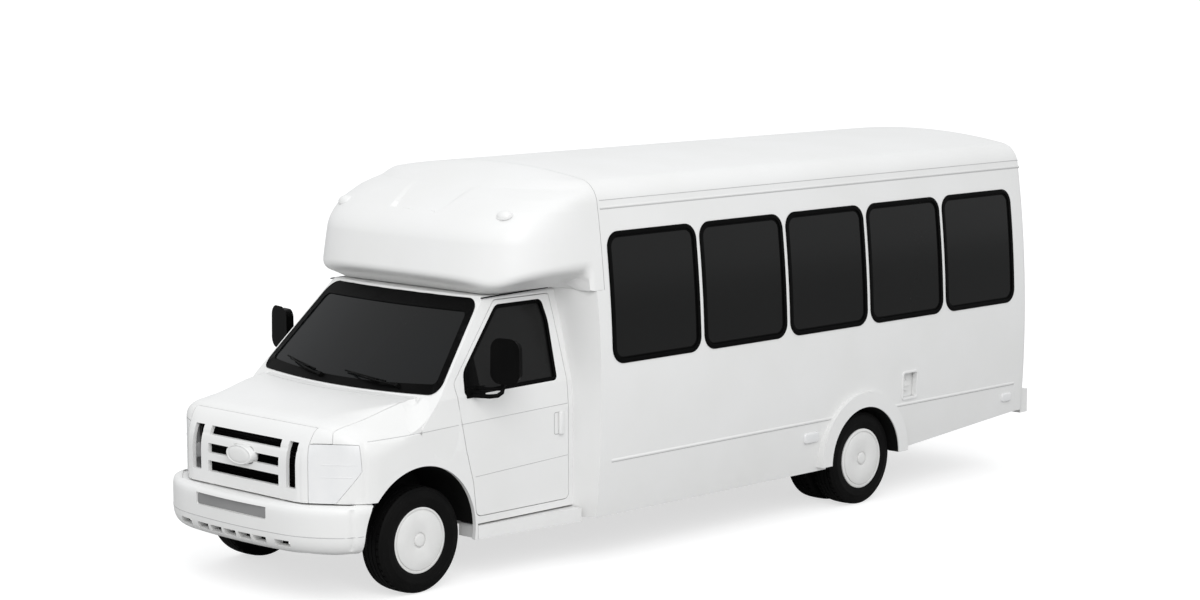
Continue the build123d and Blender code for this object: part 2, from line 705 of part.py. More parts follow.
with BuildPart() as rear_bumper:
    bumper_z = REAR_BUMPER_Z + REAR_BUMPER_HEIGHT / 2
    with Locations((0, TAIL_Y - REAR_BUMPER_DEPTH / 2, bumper_z)):
        Box(2 * REAR_BUMPER_HALF, REAR_BUMPER_DEPTH, REAR_BUMPER_HEIGHT)
    fillet(rear_bumper.faces().sort_by(Axis.Y)[-1].edges(), REAR_BUMPER_R)
    for sign in SIDES.values():
        x = sign * RAIL_HALF
        add(
            block(
                x - RAIL_W / 2,
                x + RAIL_W / 2,
                RAIL_REAR_Y - REAR_BRACKET_LAP,
                TAIL_Y - REAR_BUMPER_DEPTH / 2,
                RAIL_LOW - REAR_BRACKET_T,
                RAIL_LOW,
            )
        )
export(rear_bumper.part, "rear_bumper")

# ---- Floor of the coach body, its cross beams, wheelhouses and entry steps ----
FLOOR_TONGUE_HALF = CAB_HALF_WIDTH - CAB_T - FLOOR_TONGUE_GAP
STEP_X = -(BODY_HALF_WIDTH - STEPWELL_DEPTH)
BEAM_FRONT_Y = BODY_FRONT_Y + BEAM_W
BEAM_PITCH = (BODY_REAR_Y - BEAM_W - BEAM_FRONT_Y) / (BEAM_COUNT - 1)
BEAMS_Y = [BEAM_FRONT_Y + i * BEAM_PITCH for i in range(BEAM_COUNT)]


def clear_of_wheels(y):
    """Whether a cross beam at y passes ahead of or behind the rear wheelhouses."""
    return abs(y - REAR_AXLE_Y) > ARCH_R + BEAM_W


def clear_of_steps(y):
    """Whether a cross beam at y passes ahead of or behind the entry steps."""
    return not ENTRY_FRONT_Y - BEAM_W < y < ENTRY_REAR_Y + BEAM_W


def wheelhouse_cut(sign):
    """The space that a rear wheelhouse takes out of the floor."""
    return cylinder_x(sign * WHEELHOUSE_INNER, sign * FAR, REAR_AXLE_Y, TYRE_R, ARCH_R + WHEELHOUSE_T)


def wheelhouse(sign):
    """A rear wheelhouse: an arch over the twin tyres, closed on its inner side, up to the side wall."""
    with BuildPart() as made:
        add(wheelhouse_cut(sign))
        add(
            cylinder_x(sign * (WHEELHOUSE_INNER + WHEELHOUSE_T), sign * FAR, REAR_AXLE_Y, TYRE_R, ARCH_R),
            mode=Mode.SUBTRACT,
        )
        add(body_prism(WALL, BODY_FRONT_Y, BODY_REAR_Y), mode=Mode.INTERSECT)
        add(block(-FAR, FAR, -FAR, FAR, RAIL_TOP, FAR), mode=Mode.INTERSECT)
    return made.part


with BuildPart() as body_floor:
    add(body_prism(WALL, BODY_FRONT_Y, TAIL_CAP_Y - WALL))
    add(block(-FAR, FAR, -FAR, FAR, FLOOR_LOW_Z, FLOOR_TOP_Z), mode=Mode.INTERSECT)
    tongue = FLOOR_TONGUE_HALF
    add(block(-tongue, tongue, CAB_BACK_Y, BODY_FRONT_Y, FLOOR_LOW_Z, FLOOR_TOP_Z))
    for y in BEAMS_Y:
        left = BEAM_HALF if clear_of_wheels(y) else WHEELHOUSE_INNER
        right = left if clear_of_steps(y) else -STEP_X - STEP_T
        add(block(-right, left, y - BEAM_W / 2, y + BEAM_W / 2, RAIL_TOP, FLOOR_LOW_Z))
    for sign in SIDES.values():
        add(wheelhouse_cut(sign), mode=Mode.SUBTRACT)
    add(block(-FAR, STEP_X + STEP_T, ENTRY_FRONT_Y, ENTRY_REAR_Y, 0, FAR), mode=Mode.SUBTRACT)
export(body_floor.part, "body_floor")

with BuildPart() as wheelhouses:
    for sign in SIDES.values():
        add(wheelhouse(sign))
export(wheelhouses.part, "wheelhouses")

with BuildPart() as entry_steps:
    with BuildSketch(Plane.XZ.offset(-ENTRY_REAR_Y)):
        with BuildLine():
            inner, middle = STEP_X, STEP_X - STEP_RUN
            Polyline(
                (inner + STEP_T, FLOOR_TOP_Z),
                (inner + STEP_T, STEP_MID_Z - STEP_T),
                (middle + STEP_T, STEP_MID_Z - STEP_T),
                (middle + STEP_T, STEP_LOW_Z - STEP_T),
                (STEPWELL_OUTER, STEP_LOW_Z - STEP_T),
                (STEPWELL_OUTER, STEP_LOW_Z),
                (middle, STEP_LOW_Z),
                (middle, STEP_MID_Z),
                (inner, STEP_MID_Z),
                (inner, FLOOR_TOP_Z),
                close=True,
            )
        make_face()
    extrude(amount=ENTRY_REAR_Y - ENTRY_FRONT_Y)
export(entry_steps.part, "entry_steps")


# ---- Cab envelopes ----
CAB_SECTION = mirrored(
    [(CAB_HALF_WIDTH, 0), (CAB_HALF_WIDTH, SHOULDER_Z), (BELT_HALF, BELT_Z), (CAB_ROOF_HALF, CAB_ROOF_Z)]
)
FIREWALL_Y = FRONT_AXLE_Y - FIREWALL_AHEAD
SLOPE_LENGTH = math.hypot(WINDSHIELD_RUN, WINDSHIELD_RISE)
SCREEN_SAG = WINDSHIELD_BOW * WINDSHIELD_RISE / SLOPE_LENGTH
SCREEN_R = (WINDSHIELD_HALF**2 + SCREEN_SAG**2) / (2 * SCREEN_SAG)
SCREEN_PLANE = Plane(
    origin=(0, FRONT_AXLE_Y + WINDSHIELD_BASE - WINDSHIELD_BOW, WINDSHIELD_LOW),
    x_dir=(1, 0, 0),
    z_dir=(0, WINDSHIELD_RUN, WINDSHIELD_RISE),
)
# Columns: behind the front axle, height. The nose in side view, its plan, a headlamp, a door and its glass.
NOSE_PROFILE = from_axle(
    [(-790, 200), (-790, 1060), (-668, 1226), (-330, 1292), (180, 1350), (620, 1375), (620, 200)]
)
LAMP_OUTLINE = from_axle(
    [(-990, LAMP_LOW), (-655, LAMP_LOW), (-535, 925), (-545, LAMP_HIGH), (-990, LAMP_HIGH)]
)
DOOR_OUTLINE = from_axle(
    [
        (472, DOOR_LOW),
        (445, 721),
        (381, 956),
        (336, 1172),
        (301, 1428),
        (816, DOOR_HIGH),
        (DOOR_BACK, DOOR_HIGH),
        (DOOR_BACK, DOOR_LOW),
    ]
)
DOOR_GLASS_OUTLINE = from_axle(
    [(408, 1340), (418, 1500), (826, 1912), (1268, 1912), (1296, 1760), (1275, 1352)]
)
# Columns: half width, behind the front axle.
NOSE_SIDE = [(600, -790), (800, -668), (975, -520), (1000, -300), (1000, 620)]
NOSE_PLAN = mirrored([(x, FRONT_AXLE_Y + behind) for x, behind in NOSE_SIDE])
# Columns: behind the front axle, height of the fender's shoulder at its side, half width at its top edge.
SHOULDER_CUTS = [(-900, 1105, 352), (-50, 1128, 675), (320, SHOULDER_Z, 975)]
SHOULDER_TOP_Z = 1450
NOSE_R = 85


def behind_screen(inset):
    """The space behind the raked and bowed plane of the windshield, moved back by inset."""
    with BuildPart() as made:
        with BuildSketch(SCREEN_PLANE):
            with Locations((0, SCREEN_R)):
                Circle(SCREEN_R - inset)
        extrude(amount=FAR / 2, both=True)
    return made.part


def screen_prism(grow, front, back):
    """The windshield's outline, grown, between two depths behind the screen's face."""
    top, low = WINDSHIELD_TOP_HALF, WINDSHIELD_HALF
    top_z, low_z = WINDSHIELD_TOP, WINDSHIELD_LOW
    with BuildPart() as made:
        with BuildSketch(Plane.XZ.offset(-FAR / 2)) as outline:
            with BuildLine():
                Polyline((-low, low_z), (-top, top_z), (top, top_z), (low, low_z))
                ThreePointArc((low, low_z), (0, low_z - WINDSHIELD_DIP), (-low, low_z))
            make_face()
            fillet(outline.vertices(), WINDSHIELD_CORNER_R)
            offset(amount=grow)
        extrude(amount=FAR)
        add(behind_screen(front), mode=Mode.INTERSECT)
        add(behind_screen(back), mode=Mode.SUBTRACT)
    return made.part


def shoulder_wedge(sign, inset):
    """What the sloping shoulder of one front fender takes off the nose."""
    with BuildPart() as made:
        for behind, side_z, top_x in SHOULDER_CUTS:
            slope = (SHOULDER_TOP_Z - side_z) / (CAB_HALF_WIDTH - top_x)
            shift = inset * math.hypot(1, slope) / slope
            with BuildSketch(Plane.XZ.offset(-FRONT_AXLE_Y - behind)):
                with BuildLine():
                    Polyline(
                        (sign * (CAB_HALF_WIDTH + MARGIN - shift), side_z - MARGIN * slope),
                        (sign * (CAB_HALF_WIDTH + 2 * MARGIN), side_z - MARGIN * slope),
                        (sign * (CAB_HALF_WIDTH + 2 * MARGIN), SHOULDER_TOP_Z),
                        (sign * (top_x - shift), SHOULDER_TOP_Z),
                        close=True,
                    )
                make_face()
        loft(ruled=True)
    return made.part


def nose_solid(inset):
    """The nose as one solid, from the grille back past the doors' front edges, moved in by inset."""
    with BuildPart() as made:
        add(side_prism(NOSE_PROFILE, -FAR, FAR, NOSE_R, -inset))
        add(plan_prism(NOSE_PLAN, 0, FAR, NOSE_R, -inset), mode=Mode.INTERSECT)
        for sign in SIDES.values():
            add(shoulder_wedge(sign, inset), mode=Mode.SUBTRACT)
    return made.part


def nose_skin(thickness):
    """The nose's skin, of the given thickness."""
    with BuildPart() as made:
        add(NOSE)
        add(nose_solid(thickness), mode=Mode.SUBTRACT)
    return made.part


def cab_skin(inset, thickness):
    """A layer of the cab's sides and roof."""
    with BuildPart() as made:
        front_y, back_y = FIREWALL_Y, CAB_BACK_Y
        add(front_prism(CAB_SECTION, front_y, back_y, CAB_ROOF_R, -inset))
        inner = front_prism(CAB_SECTION, front_y - MARGIN, back_y + MARGIN, CAB_ROOF_R, -inset - thickness)
        add(inner, mode=Mode.SUBTRACT)
    return made.part


def door_space(sign, gap):
    """The outline of one cab door through its wall, with its rear edge on an arc about the hinge."""
    hinge_y = FRONT_AXLE_Y + DOOR_HINGE
    with BuildPart() as made:
        add(side_prism(DOOR_OUTLINE, 0, sign * FAR, DOOR_CORNER_R, gap))
        sweep_r = DOOR_BACK - DOOR_HINGE - DOOR_ARC_INSET + gap
        add(cylinder_z(sign * CAB_HALF_WIDTH, hinge_y, 0, FAR, sweep_r), mode=Mode.INTERSECT)
    return made.part


NOSE = nose_solid(0)
NOSE_SHELL = nose_skin(PANEL_T)
FRONT_ARCH = (FRONT_AXLE_Y - CAB_ARCH_AHEAD, TYRE_R + CAB_ARCH_RAISE)
HOOD_HINGE_Y = FRONT_AXLE_Y + HOOD_REAR + HOOD_HINGE_BEHIND
HOOD_EDGE = [
    (-FAR / 2, FRONT_AXLE_Y + HOOD_REAR),
    (-HOOD_HALF, FRONT_AXLE_Y + HOOD_REAR),
    (0, FRONT_AXLE_Y + HOOD_REAR - HOOD_BOW),
    (HOOD_HALF, FRONT_AXLE_Y + HOOD_REAR),
]


def ahead_of_cowl(gap):
    """Everything ahead of the bowed rear edge of the hood, grown by gap."""
    left, middle, right = [(x, y + gap) for x, y in HOOD_EDGE[1:]]
    front_y = -FAR
    with BuildPart() as made:
        with BuildSketch(Plane.XY.offset(LAMP_HIGH)):
            with BuildLine():
                ThreePointArc(left, middle, right)
                Polyline(right, (HOOD_HALF, front_y), (-HOOD_HALF, front_y), left)
            make_face()
        extrude(amount=FAR)
    return made.part


def striker(sign, fit, end_y):
    """The latch striker of one cab door, grown by fit, from end_y back into the door's rear jamb."""
    x = sign * (CAB_HALF_WIDTH - CAB_T / 2)
    with BuildPart() as made:
        with BuildSketch(Plane.XZ.offset(-(FRONT_AXLE_Y + DOOR_BACK + 2 * DOOR_GAP))):
            with Locations((x, STRIKER_Z)):
                Circle(STRIKER_R + fit)
        extrude(amount=FRONT_AXLE_Y + DOOR_BACK + 2 * DOOR_GAP - end_y)
    return made.part


def striker_room(sign):
    """The slot in a cab door's rear edge, open inwards, that its striker leaves as the door opens."""
    x = sign * (CAB_HALF_WIDTH - CAB_T / 2)
    half = STRIKER_R + SEAT_GAP
    end_y = FRONT_AXLE_Y + DOOR_BACK - STRIKER_REACH - STRIKER_SLOT_END
    with BuildPart() as made:
        add(striker(sign, SEAT_GAP, end_y))
        inner_x = sign * (CAB_HALF_WIDTH - CAB_T - MARGIN)
        add(block(inner_x, x, end_y, CAB_BACK_Y, STRIKER_Z - half, STRIKER_Z + half))
    return made.part


def hood_clearance():
    """The space that the hood's skin takes up over the cab's front, with room to turn."""
    with BuildPart() as made:
        add(NOSE)
        add(nose_solid(PANEL_T + HOOD_GAP + 2), mode=Mode.SUBTRACT)
        add(ahead_of_cowl(HOOD_GAP), mode=Mode.INTERSECT)
    return made.part


def hood_stop(sign):
    """A stop behind the grille, under the hood's front edge, that carries the closed hood."""
    half = HOOD_STOP_W / 2
    x, back_y = sign * HOOD_STOP_X, FRONT_AXLE_Y + HOOD_STOP_BEHIND
    grille_back_y = FRONT_AXLE_Y - NOSE_AHEAD + PANEL_T
    with BuildPart() as post:
        add(block(x - half, x + half, back_y - HOOD_STOP_W, back_y, HOOD_STOP_LOW, FAR))
        add(nose_solid(PANEL_T + SEAT_GAP), mode=Mode.INTERSECT)
    with BuildPart() as made:
        add(block(x - half, x + half, grille_back_y - PANEL_T, back_y, HOOD_STOP_LOW, LAMP_HIGH))
        add(nose_solid(PANEL_T), mode=Mode.INTERSECT)
        add(post.part)
    return made.part


def lamp_tab(sign):
    """A tab from a headlamp's inner end, flat against the back of the grille."""
    with BuildPart() as made:
        inner, outer = sign * (LAMP_INNER - LAMP_TAB_REACH), sign * (LAMP_INNER + PANEL_T / 2)
        low, high = LAMP_TAB_Z
        add(block(inner, outer, FRONT_AXLE_Y - NOSE_AHEAD, FRONT_AXLE_Y + LAMP_TAB_BEHIND, low, high))
        add(nose_solid(PANEL_T), mode=Mode.INTERSECT)
    return made.part


# ---- Nose: hood, fenders, grille, headlamps, cowl ----
with BuildPart() as hood:
    add(NOSE_SHELL)
    add(block(-HOOD_HALF, HOOD_HALF, -FAR, FAR, LAMP_HIGH + HOOD_GAP, FAR), mode=Mode.INTERSECT)
    add(ahead_of_cowl(0), mode=Mode.INTERSECT)
    half = GRILLE_HALF + HOOD_GAP
    with BuildSketch(Plane.YZ.offset(-half)):
        with BuildLine():
            CenterArc((HOOD_HINGE_Y, HOOD_HINGE_Z), GRILLE_SWEEP, 90, 180)
            Polyline(
                (HOOD_HINGE_Y, HOOD_HINGE_Z - GRILLE_SWEEP),
                (HOOD_HINGE_Y - FAR / 2, HOOD_HINGE_Z - GRILLE_SWEEP),
                (HOOD_HINGE_Y - FAR / 2, HOOD_HINGE_Z + GRILLE_SWEEP),
                (HOOD_HINGE_Y, HOOD_HINGE_Z + GRILLE_SWEEP),
            )
        make_face()
    extrude(amount=2 * half, mode=Mode.SUBTRACT)
export(hood.part, "hood")

with BuildPart() as grille:
    add(NOSE_SHELL)
    add(block(-GRILLE_HALF, GRILLE_HALF, -FAR, FRONT_AXLE_Y, LAMP_LOW, FAR), mode=Mode.INTERSECT)
    add(
        cylinder_x(-FAR, FAR, HOOD_HINGE_Y, HOOD_HINGE_Z, GRILLE_SWEEP + HOOD_GAP),
        mode=Mode.SUBTRACT,
    )
    for sign in SIDES.values():
        inner, outer, foot = GRILLE_GILL
        add(block(sign * inner, sign * outer, -FAR, FAR, foot, LAMP_HIGH), mode=Mode.SUBTRACT)
    for low, high in GRILLE_SLOTS:
        add(block(-GRILLE_SLOT_HALF, GRILLE_SLOT_HALF, -FAR, FAR, low, high), mode=Mode.SUBTRACT)
    with BuildSketch(Plane.XZ.offset(-FRONT_AXLE_Y + NOSE_AHEAD + BOSS_PROUD)):
        with Locations((0, BOSS_Z)):
            RectangleRounded(2 * BOSS_HALF, 2 * BOSS_HALF_H, BOSS_HALF_H - 5)
    extrude(amount=-BOSS_PROUD - PANEL_T)
    back_y = FRONT_AXLE_Y - NOSE_AHEAD + PANEL_T
    for sign in SIDES.values():
        x = sign * RAIL_HALF
        half, end_y = GRILLE_POST_W / 2, back_y + GRILLE_POST_W
        add(block(x - half, x + half, back_y - PANEL_T / 2, end_y, LAMP_LOW, GRILLE_POST_TOP))
        add(block(x - half, x + half, back_y, end_y, RAIL_TOP, GRILLE_POST_TOP))
        add(hood_stop(sign))
export(grille.part, "grille")

with BuildPart() as headlamps:
    add(nose_skin(LAMP_DEPTH))
    add(side_prism(LAMP_OUTLINE, -FAR, FAR, 0, 0), mode=Mode.INTERSECT)
    add(block(-LAMP_INNER, LAMP_INNER, -FAR, FAR, 0, FAR), mode=Mode.SUBTRACT)
    for sign in SIDES.values():
        add(lamp_tab(sign))
export(headlamps.part, "headlamps")

with BuildPart() as fenders:
    add(NOSE_SHELL)
    inner = HOOD_HALF + HOOD_GAP
    add(block(-inner, inner, -FAR, FAR, 0, FAR), mode=Mode.SUBTRACT)
    add(side_prism(LAMP_OUTLINE, -FAR, FAR, 0, LAMP_GAP), mode=Mode.SUBTRACT)
    for sign in SIDES.values():
        add(door_space(sign, DOOR_GAP), mode=Mode.SUBTRACT)
    add(cylinder_x(-FAR, FAR, *FRONT_ARCH, CAB_ARCH_R), mode=Mode.SUBTRACT)
    add(block(-FAR, FAR, -FAR, FRONT_AXLE_Y, 0, BUMPER_TOP + LAMP_GAP), mode=Mode.SUBTRACT)
    add(block(-FAR, FAR, -FAR, FAR, 0, STEP_BOARD_LOW), mode=Mode.SUBTRACT)
    add(block(-FAR, FAR, FRONT_AXLE_Y + FENDER_BACK, FAR, 0, FAR), mode=Mode.SUBTRACT)
    root = PILLAR_ROOT_X
    add(block(-root, root, FRONT_AXLE_Y + HOOD_REAR, FAR, SHOULDER_Z, FAR), mode=Mode.SUBTRACT)
export(fenders.part, "fenders")

with BuildPart() as cowl:
    add(NOSE_SHELL)
    add(block(-HOOD_HALF, HOOD_HALF, FIREWALL_Y - COWL_LAP, FAR, SHOULDER_Z, FAR), mode=Mode.INTERSECT)
    add(ahead_of_cowl(HOOD_GAP), mode=Mode.SUBTRACT)
    add(behind_screen(0), mode=Mode.SUBTRACT)
export(cowl.part, "cowl")

# ---- Cab shell ----


def cab_space():
    """The room inside the cab, open at its back."""
    with BuildPart() as made:
        add(front_prism(CAB_SECTION, FIREWALL_Y + FIREWALL_T, CAB_BACK_Y + MARGIN, CAB_ROOF_R, -CAB_T))
        add(behind_screen(PILLAR_T), mode=Mode.INTERSECT)
        add(block(-FAR, FAR, -FAR, FAR, CAB_FLOOR_Z, FAR), mode=Mode.INTERSECT)
    return made.part


with BuildPart() as cab_shell:
    add(front_prism(CAB_SECTION, FIREWALL_Y, CAB_BACK_Y, CAB_ROOF_R))
    add(behind_screen(0), mode=Mode.INTERSECT)
    add(block(-FAR, FAR, -FAR, FAR, SILL_LOW_Z, FAR), mode=Mode.INTERSECT)
    add(cab_space(), mode=Mode.SUBTRACT)
    under = CAB_HALF_WIDTH - CAB_T
    add(block(-under, under, -FAR, FAR, 0, CAB_FLOOR_Z - CAB_FLOOR_T), mode=Mode.SUBTRACT)
    add(screen_prism(0, -MARGIN, PILLAR_T + MARGIN), mode=Mode.SUBTRACT)
    for sign in SIDES.values():
        add(door_space(sign, DOOR_GAP), mode=Mode.SUBTRACT)
        add(
            cylinder_x(sign * LINER_INNER, sign * FAR, *FRONT_ARCH, CAB_ARCH_R + LINER_T),
            mode=Mode.SUBTRACT,
        )
    add(fenders.part, mode=Mode.SUBTRACT)
    add(cowl.part, mode=Mode.SUBTRACT)
    add(hood_clearance(), mode=Mode.SUBTRACT)
    for sign in SIDES.values():
        add(striker(sign, 0, FRONT_AXLE_Y + DOOR_BACK - STRIKER_REACH))
export(cab_shell.part, "cab_shell")

with BuildPart() as windshield:
    add(screen_prism(-GLASS_FIT, WINDSHIELD_INSET, WINDSHIELD_INSET + WINDSHIELD_T))
export(windshield.part, "windshield")

# ---- Doors of the cab, with their glass and mirrors ----
for side, sign in SIDES.items():
    with BuildPart() as door_glass:
        add(cab_skin(DOOR_GLASS_DEPTH, DOOR_GLASS_T))
        add(
            side_prism(DOOR_GLASS_OUTLINE, 0, sign * FAR, DOOR_CORNER_R, -GLASS_FIT),
            mode=Mode.INTERSECT,
        )
    export(door_glass.part, f"door_glass_{side}")

    with BuildPart() as cab_door:
        add(cab_skin(0, CAB_T))
        add(door_space(sign, 0), mode=Mode.INTERSECT)
        add(side_prism(DOOR_GLASS_OUTLINE, 0, sign * FAR, DOOR_CORNER_R), mode=Mode.SUBTRACT)
        add(striker_room(sign), mode=Mode.SUBTRACT)
    export(cab_door.part, f"cab_door_{side}")

    with BuildPart() as mirror:
        mirror_y = FRONT_AXLE_Y + MIRROR_BEHIND
        with BuildSketch(Plane.XZ.offset(-mirror_y - MIRROR_DEPTH / 2)):
            with Locations((sign * MIRROR_X, MIRROR_Z)):
                RectangleRounded(MIRROR_W, MIRROR_H, MIRROR_R)
        extrude(amount=MIRROR_DEPTH)
        fillet(mirror.faces().filter_by(Axis.Y).edges(), MIRROR_EDGE_R)
        stem_x = sign * (MIRROR_X - MIRROR_STEM_INSET)
        arm_z = MIRROR_Z - MIRROR_H / 2 - MIRROR_STEM
        half = MIRROR_ARM_W / 2
        add(block(stem_x - half, stem_x + half, mirror_y - half, mirror_y + half, arm_z, MIRROR_Z))
        root_x = sign * BELT_HALF / 2
        add(block(root_x, stem_x, mirror_y - half, mirror_y + half, arm_z, arm_z + MIRROR_ARM_W))
        add(front_prism(CAB_SECTION, -FAR, FAR), mode=Mode.SUBTRACT)
    export(mirror.part, f"mirror_{side}")

# ---- Cap over the cab and the fairings behind its doors ----


def cap_solid(inset):
    """The cap over the cab as one solid, moved in by inset."""
    y = FRONT_AXLE_Y
    back_y = y + CAP_LENGTH
    crest_z = ROOF_Z + CAP_CREST_RISE
    outer, wide = BODY_HALF_WIDTH, BODY_HALF_WIDTH + CAP_FLARE
    low_y, low_z = CAP_BROW_LOW
    lean_y, lean_z = CAP_LEAN
    undercut = [
        (CAB_ROOF_HALF, CAP_Z - MARGIN),
        (CAB_ROOF_HALF, CAP_Z + inset),
        (CAP_UNDER_HALF - inset / 3, CAP_UNDER_Z + inset),
        (CAP_UNDER_HALF + CAP_UNDER_REACH, CAP_UNDER_Z + CAP_UNDER_RISE + inset),
        (CAP_UNDER_HALF + CAP_UNDER_REACH, CAP_Z - MARGIN),
    ]
    with BuildPart() as made:
        add(body_prism(inset, FRONT_AXLE_Y, BODY_FRONT_Y + inset))
        with BuildSketch(Plane.XY.offset(CAP_Z - MARGIN)):
            with BuildLine():
                FilletPolyline(
                    (-wide, back_y),
                    (-outer, y + CAP_SHOULDER),
                    (-CAP_FRONT_HALF, y + CAP_FRONT),
                    (CAP_FRONT_HALF, y + CAP_FRONT),
                    (outer, y + CAP_SHOULDER),
                    (wide, back_y),
                    radius=CAP_PLAN_R,
                )
                Line((wide, back_y), (-wide, back_y))
            make_face()
            offset(amount=-inset)
        extrude(amount=FAR, mode=Mode.INTERSECT)
        with BuildSketch(Plane.YZ.offset(-FAR)):
            with BuildLine():
                FilletPolyline(
                    (back_y, CAP_Z),
                    (y + CAP_SCREEN_TOP, CAP_Z),
                    (y + low_y, low_z),
                    (y + CAP_FRONT, CAP_BROW_Z),
                    (y + lean_y, lean_z),
                    (y + CAP_CREST, crest_z),
                    (back_y, crest_z),
                    radius=CAP_PROFILE_R,
                )
                Line((back_y, crest_z), (back_y, CAP_Z))
            make_face()
            offset(amount=-inset)
        extrude(amount=2 * FAR, mode=Mode.INTERSECT)
        for sign in SIDES.values():
            under = front_prism([(sign * x, z) for x, z in undercut], -FAR, CAB_BACK_Y + inset)
            add(under, mode=Mode.SUBTRACT)
    return made.part


with BuildPart() as front_cap:
    add(cap_solid(0))
    add(cap_solid(CAP_T), mode=Mode.SUBTRACT)
export(front_cap.part, "front_cap")

# Columns: half width, behind the back of the cab.
FAIRING_PLAN = [
    (700, 0),
    (CAB_HALF_WIDTH + 3, 0),
    (BODY_HALF_WIDTH + 17, 80),
    (BODY_HALF_WIDTH + 17, FAIRING_LENGTH),
    (BODY_HALF_WIDTH - 43, FAIRING_LENGTH),
    (BODY_HALF_WIDTH - 43, FAIRING_LENGTH - 22),
    (CAB_HALF_WIDTH - 10, 55),
    (700, 55),
]
with BuildPart() as fairings:
    for sign in SIDES.values():
        add(plan_prism([(sign * x, CAB_BACK_Y + behind) for x, behind in FAIRING_PLAN], SKIRT_Z, CAP_Z))
    add(body_prism(0, CAB_BACK_Y - MARGIN, BODY_FRONT_Y), mode=Mode.INTERSECT)
    inner = front_prism(CAB_SECTION, CAB_BACK_Y - MARGIN, BODY_FRONT_Y + MARGIN, CAB_ROOF_R, -CAB_T)
    add(inner, mode=Mode.SUBTRACT)
export(fairings.part, "fairings")

# ---- Inside: dashboard, steering wheel, seats ----
# Columns: behind the front axle, height.
DASH_PROFILE = from_axle(
    [(0, 960), (0, 1110), (130, 1235), (370, 1235), (DASH_BACK, 1180), (DASH_BACK, 960)]
)
with BuildPart() as dashboard:
    add(side_prism(DASH_PROFILE, -DASH_HALF, DASH_HALF))
    add(behind_screen(PILLAR_T), mode=Mode.INTERSECT)
export(dashboard.part, "dashboard")

WHEEL_CENTRE = (WHEEL_X, FRONT_AXLE_Y + WHEEL_BEHIND, WHEEL_Z)
WHEEL_PLANE = Plane(origin=WHEEL_CENTRE, x_dir=(1, 0, 0), z_dir=WHEEL_TILT)
with BuildPart() as steering_wheel:
    with BuildSketch(Plane(WHEEL_PLANE.origin, x_dir=WHEEL_PLANE.x_dir, z_dir=WHEEL_PLANE.y_dir)):
        with Locations((WHEEL_RIM_R, 0)):
            Circle(WHEEL_RIM_TUBE_R)
    revolve(axis=Axis(WHEEL_PLANE.origin, WHEEL_PLANE.z_dir))
    with BuildSketch(WHEEL_PLANE.offset(-WHEEL_HUB_T / 2)):
        Circle(WHEEL_HUB_R)
        with PolarLocations(WHEEL_RIM_R / 2, WHEEL_SPOKES, start_angle=-90):
            Rectangle(WHEEL_RIM_R, WHEEL_SPOKE_W)
    extrude(amount=WHEEL_HUB_T)
    with BuildSketch(WHEEL_PLANE):
        Circle(COLUMN_R)
    extrude(amount=-COLUMN_LENGTH)
    add(dashboard.part, mode=Mode.SUBTRACT)
    add(block(-FAR, FAR, -FAR, FRONT_AXLE_Y + DASH_BACK, 0, FAR), mode=Mode.SUBTRACT)
export(steering_wheel.part, "steering_wheel")


def seat_profile(front_y, cushion_z):
    """A seat in side view: a cushion and a leaning back."""
    top = cushion_z + SEAT_BACK_H
    return [
        (front_y, cushion_z - SEAT_T),
        (front_y, cushion_z),
        (front_y + SEAT_DEPTH - SEAT_BACK_T, cushion_z),
        (front_y + SEAT_DEPTH, top),
        (front_y + SEAT_DEPTH + SEAT_BACK_TOP_T, top),
        (front_y + SEAT_DEPTH + SEAT_BACK_FOOT, cushion_z - SEAT_T),
    ]


with BuildPart() as cab_seats:
    for sign in SIDES.values():
        x0, x1 = sign * CAB_SEAT_X - SEAT_W / 2, sign * CAB_SEAT_X + SEAT_W / 2
        front_y = FRONT_AXLE_Y + CAB_SEAT_BEHIND
        cushion_z = CAB_FLOOR_Z + SEAT_H
        add(side_prism(seat_profile(front_y, cushion_z), x0, x1, SEAT_R))
        inset = SEAT_LEG_INSET
        leg_y = [front_y + station for station in SEAT_LEG]
        add(block(x0 + inset, x1 - inset, *leg_y, CAB_FLOOR_Z, cushion_z - SEAT_T / 2))
export(cab_seats.part, "cab_seats")

with BuildPart() as passenger_seats:
    for sign, first in BENCH_FIRST.items():
        for row in range(first, BENCH_ROWS):
            x0, x1 = sign * BENCH_INNER, sign * (BENCH_INNER + BENCH_W)
            front_y = BODY_FRONT_Y + BENCH_OFFSET + row * BENCH_PITCH
            cushion_z = FLOOR_TOP_Z + SEAT_H
            add(side_prism(seat_profile(front_y, cushion_z), x0, x1, SEAT_R))
            leg_x = sign * (BENCH_INNER + BENCH_LEG_INSET)
            leg_y = [front_y + station for station in SEAT_LEG]
            add(block(leg_x, leg_x + sign * BENCH_LEG_W, *leg_y, FLOOR_TOP_Z, cushion_z - SEAT_T / 2))
export(passenger_seats.part, "passenger_seats")

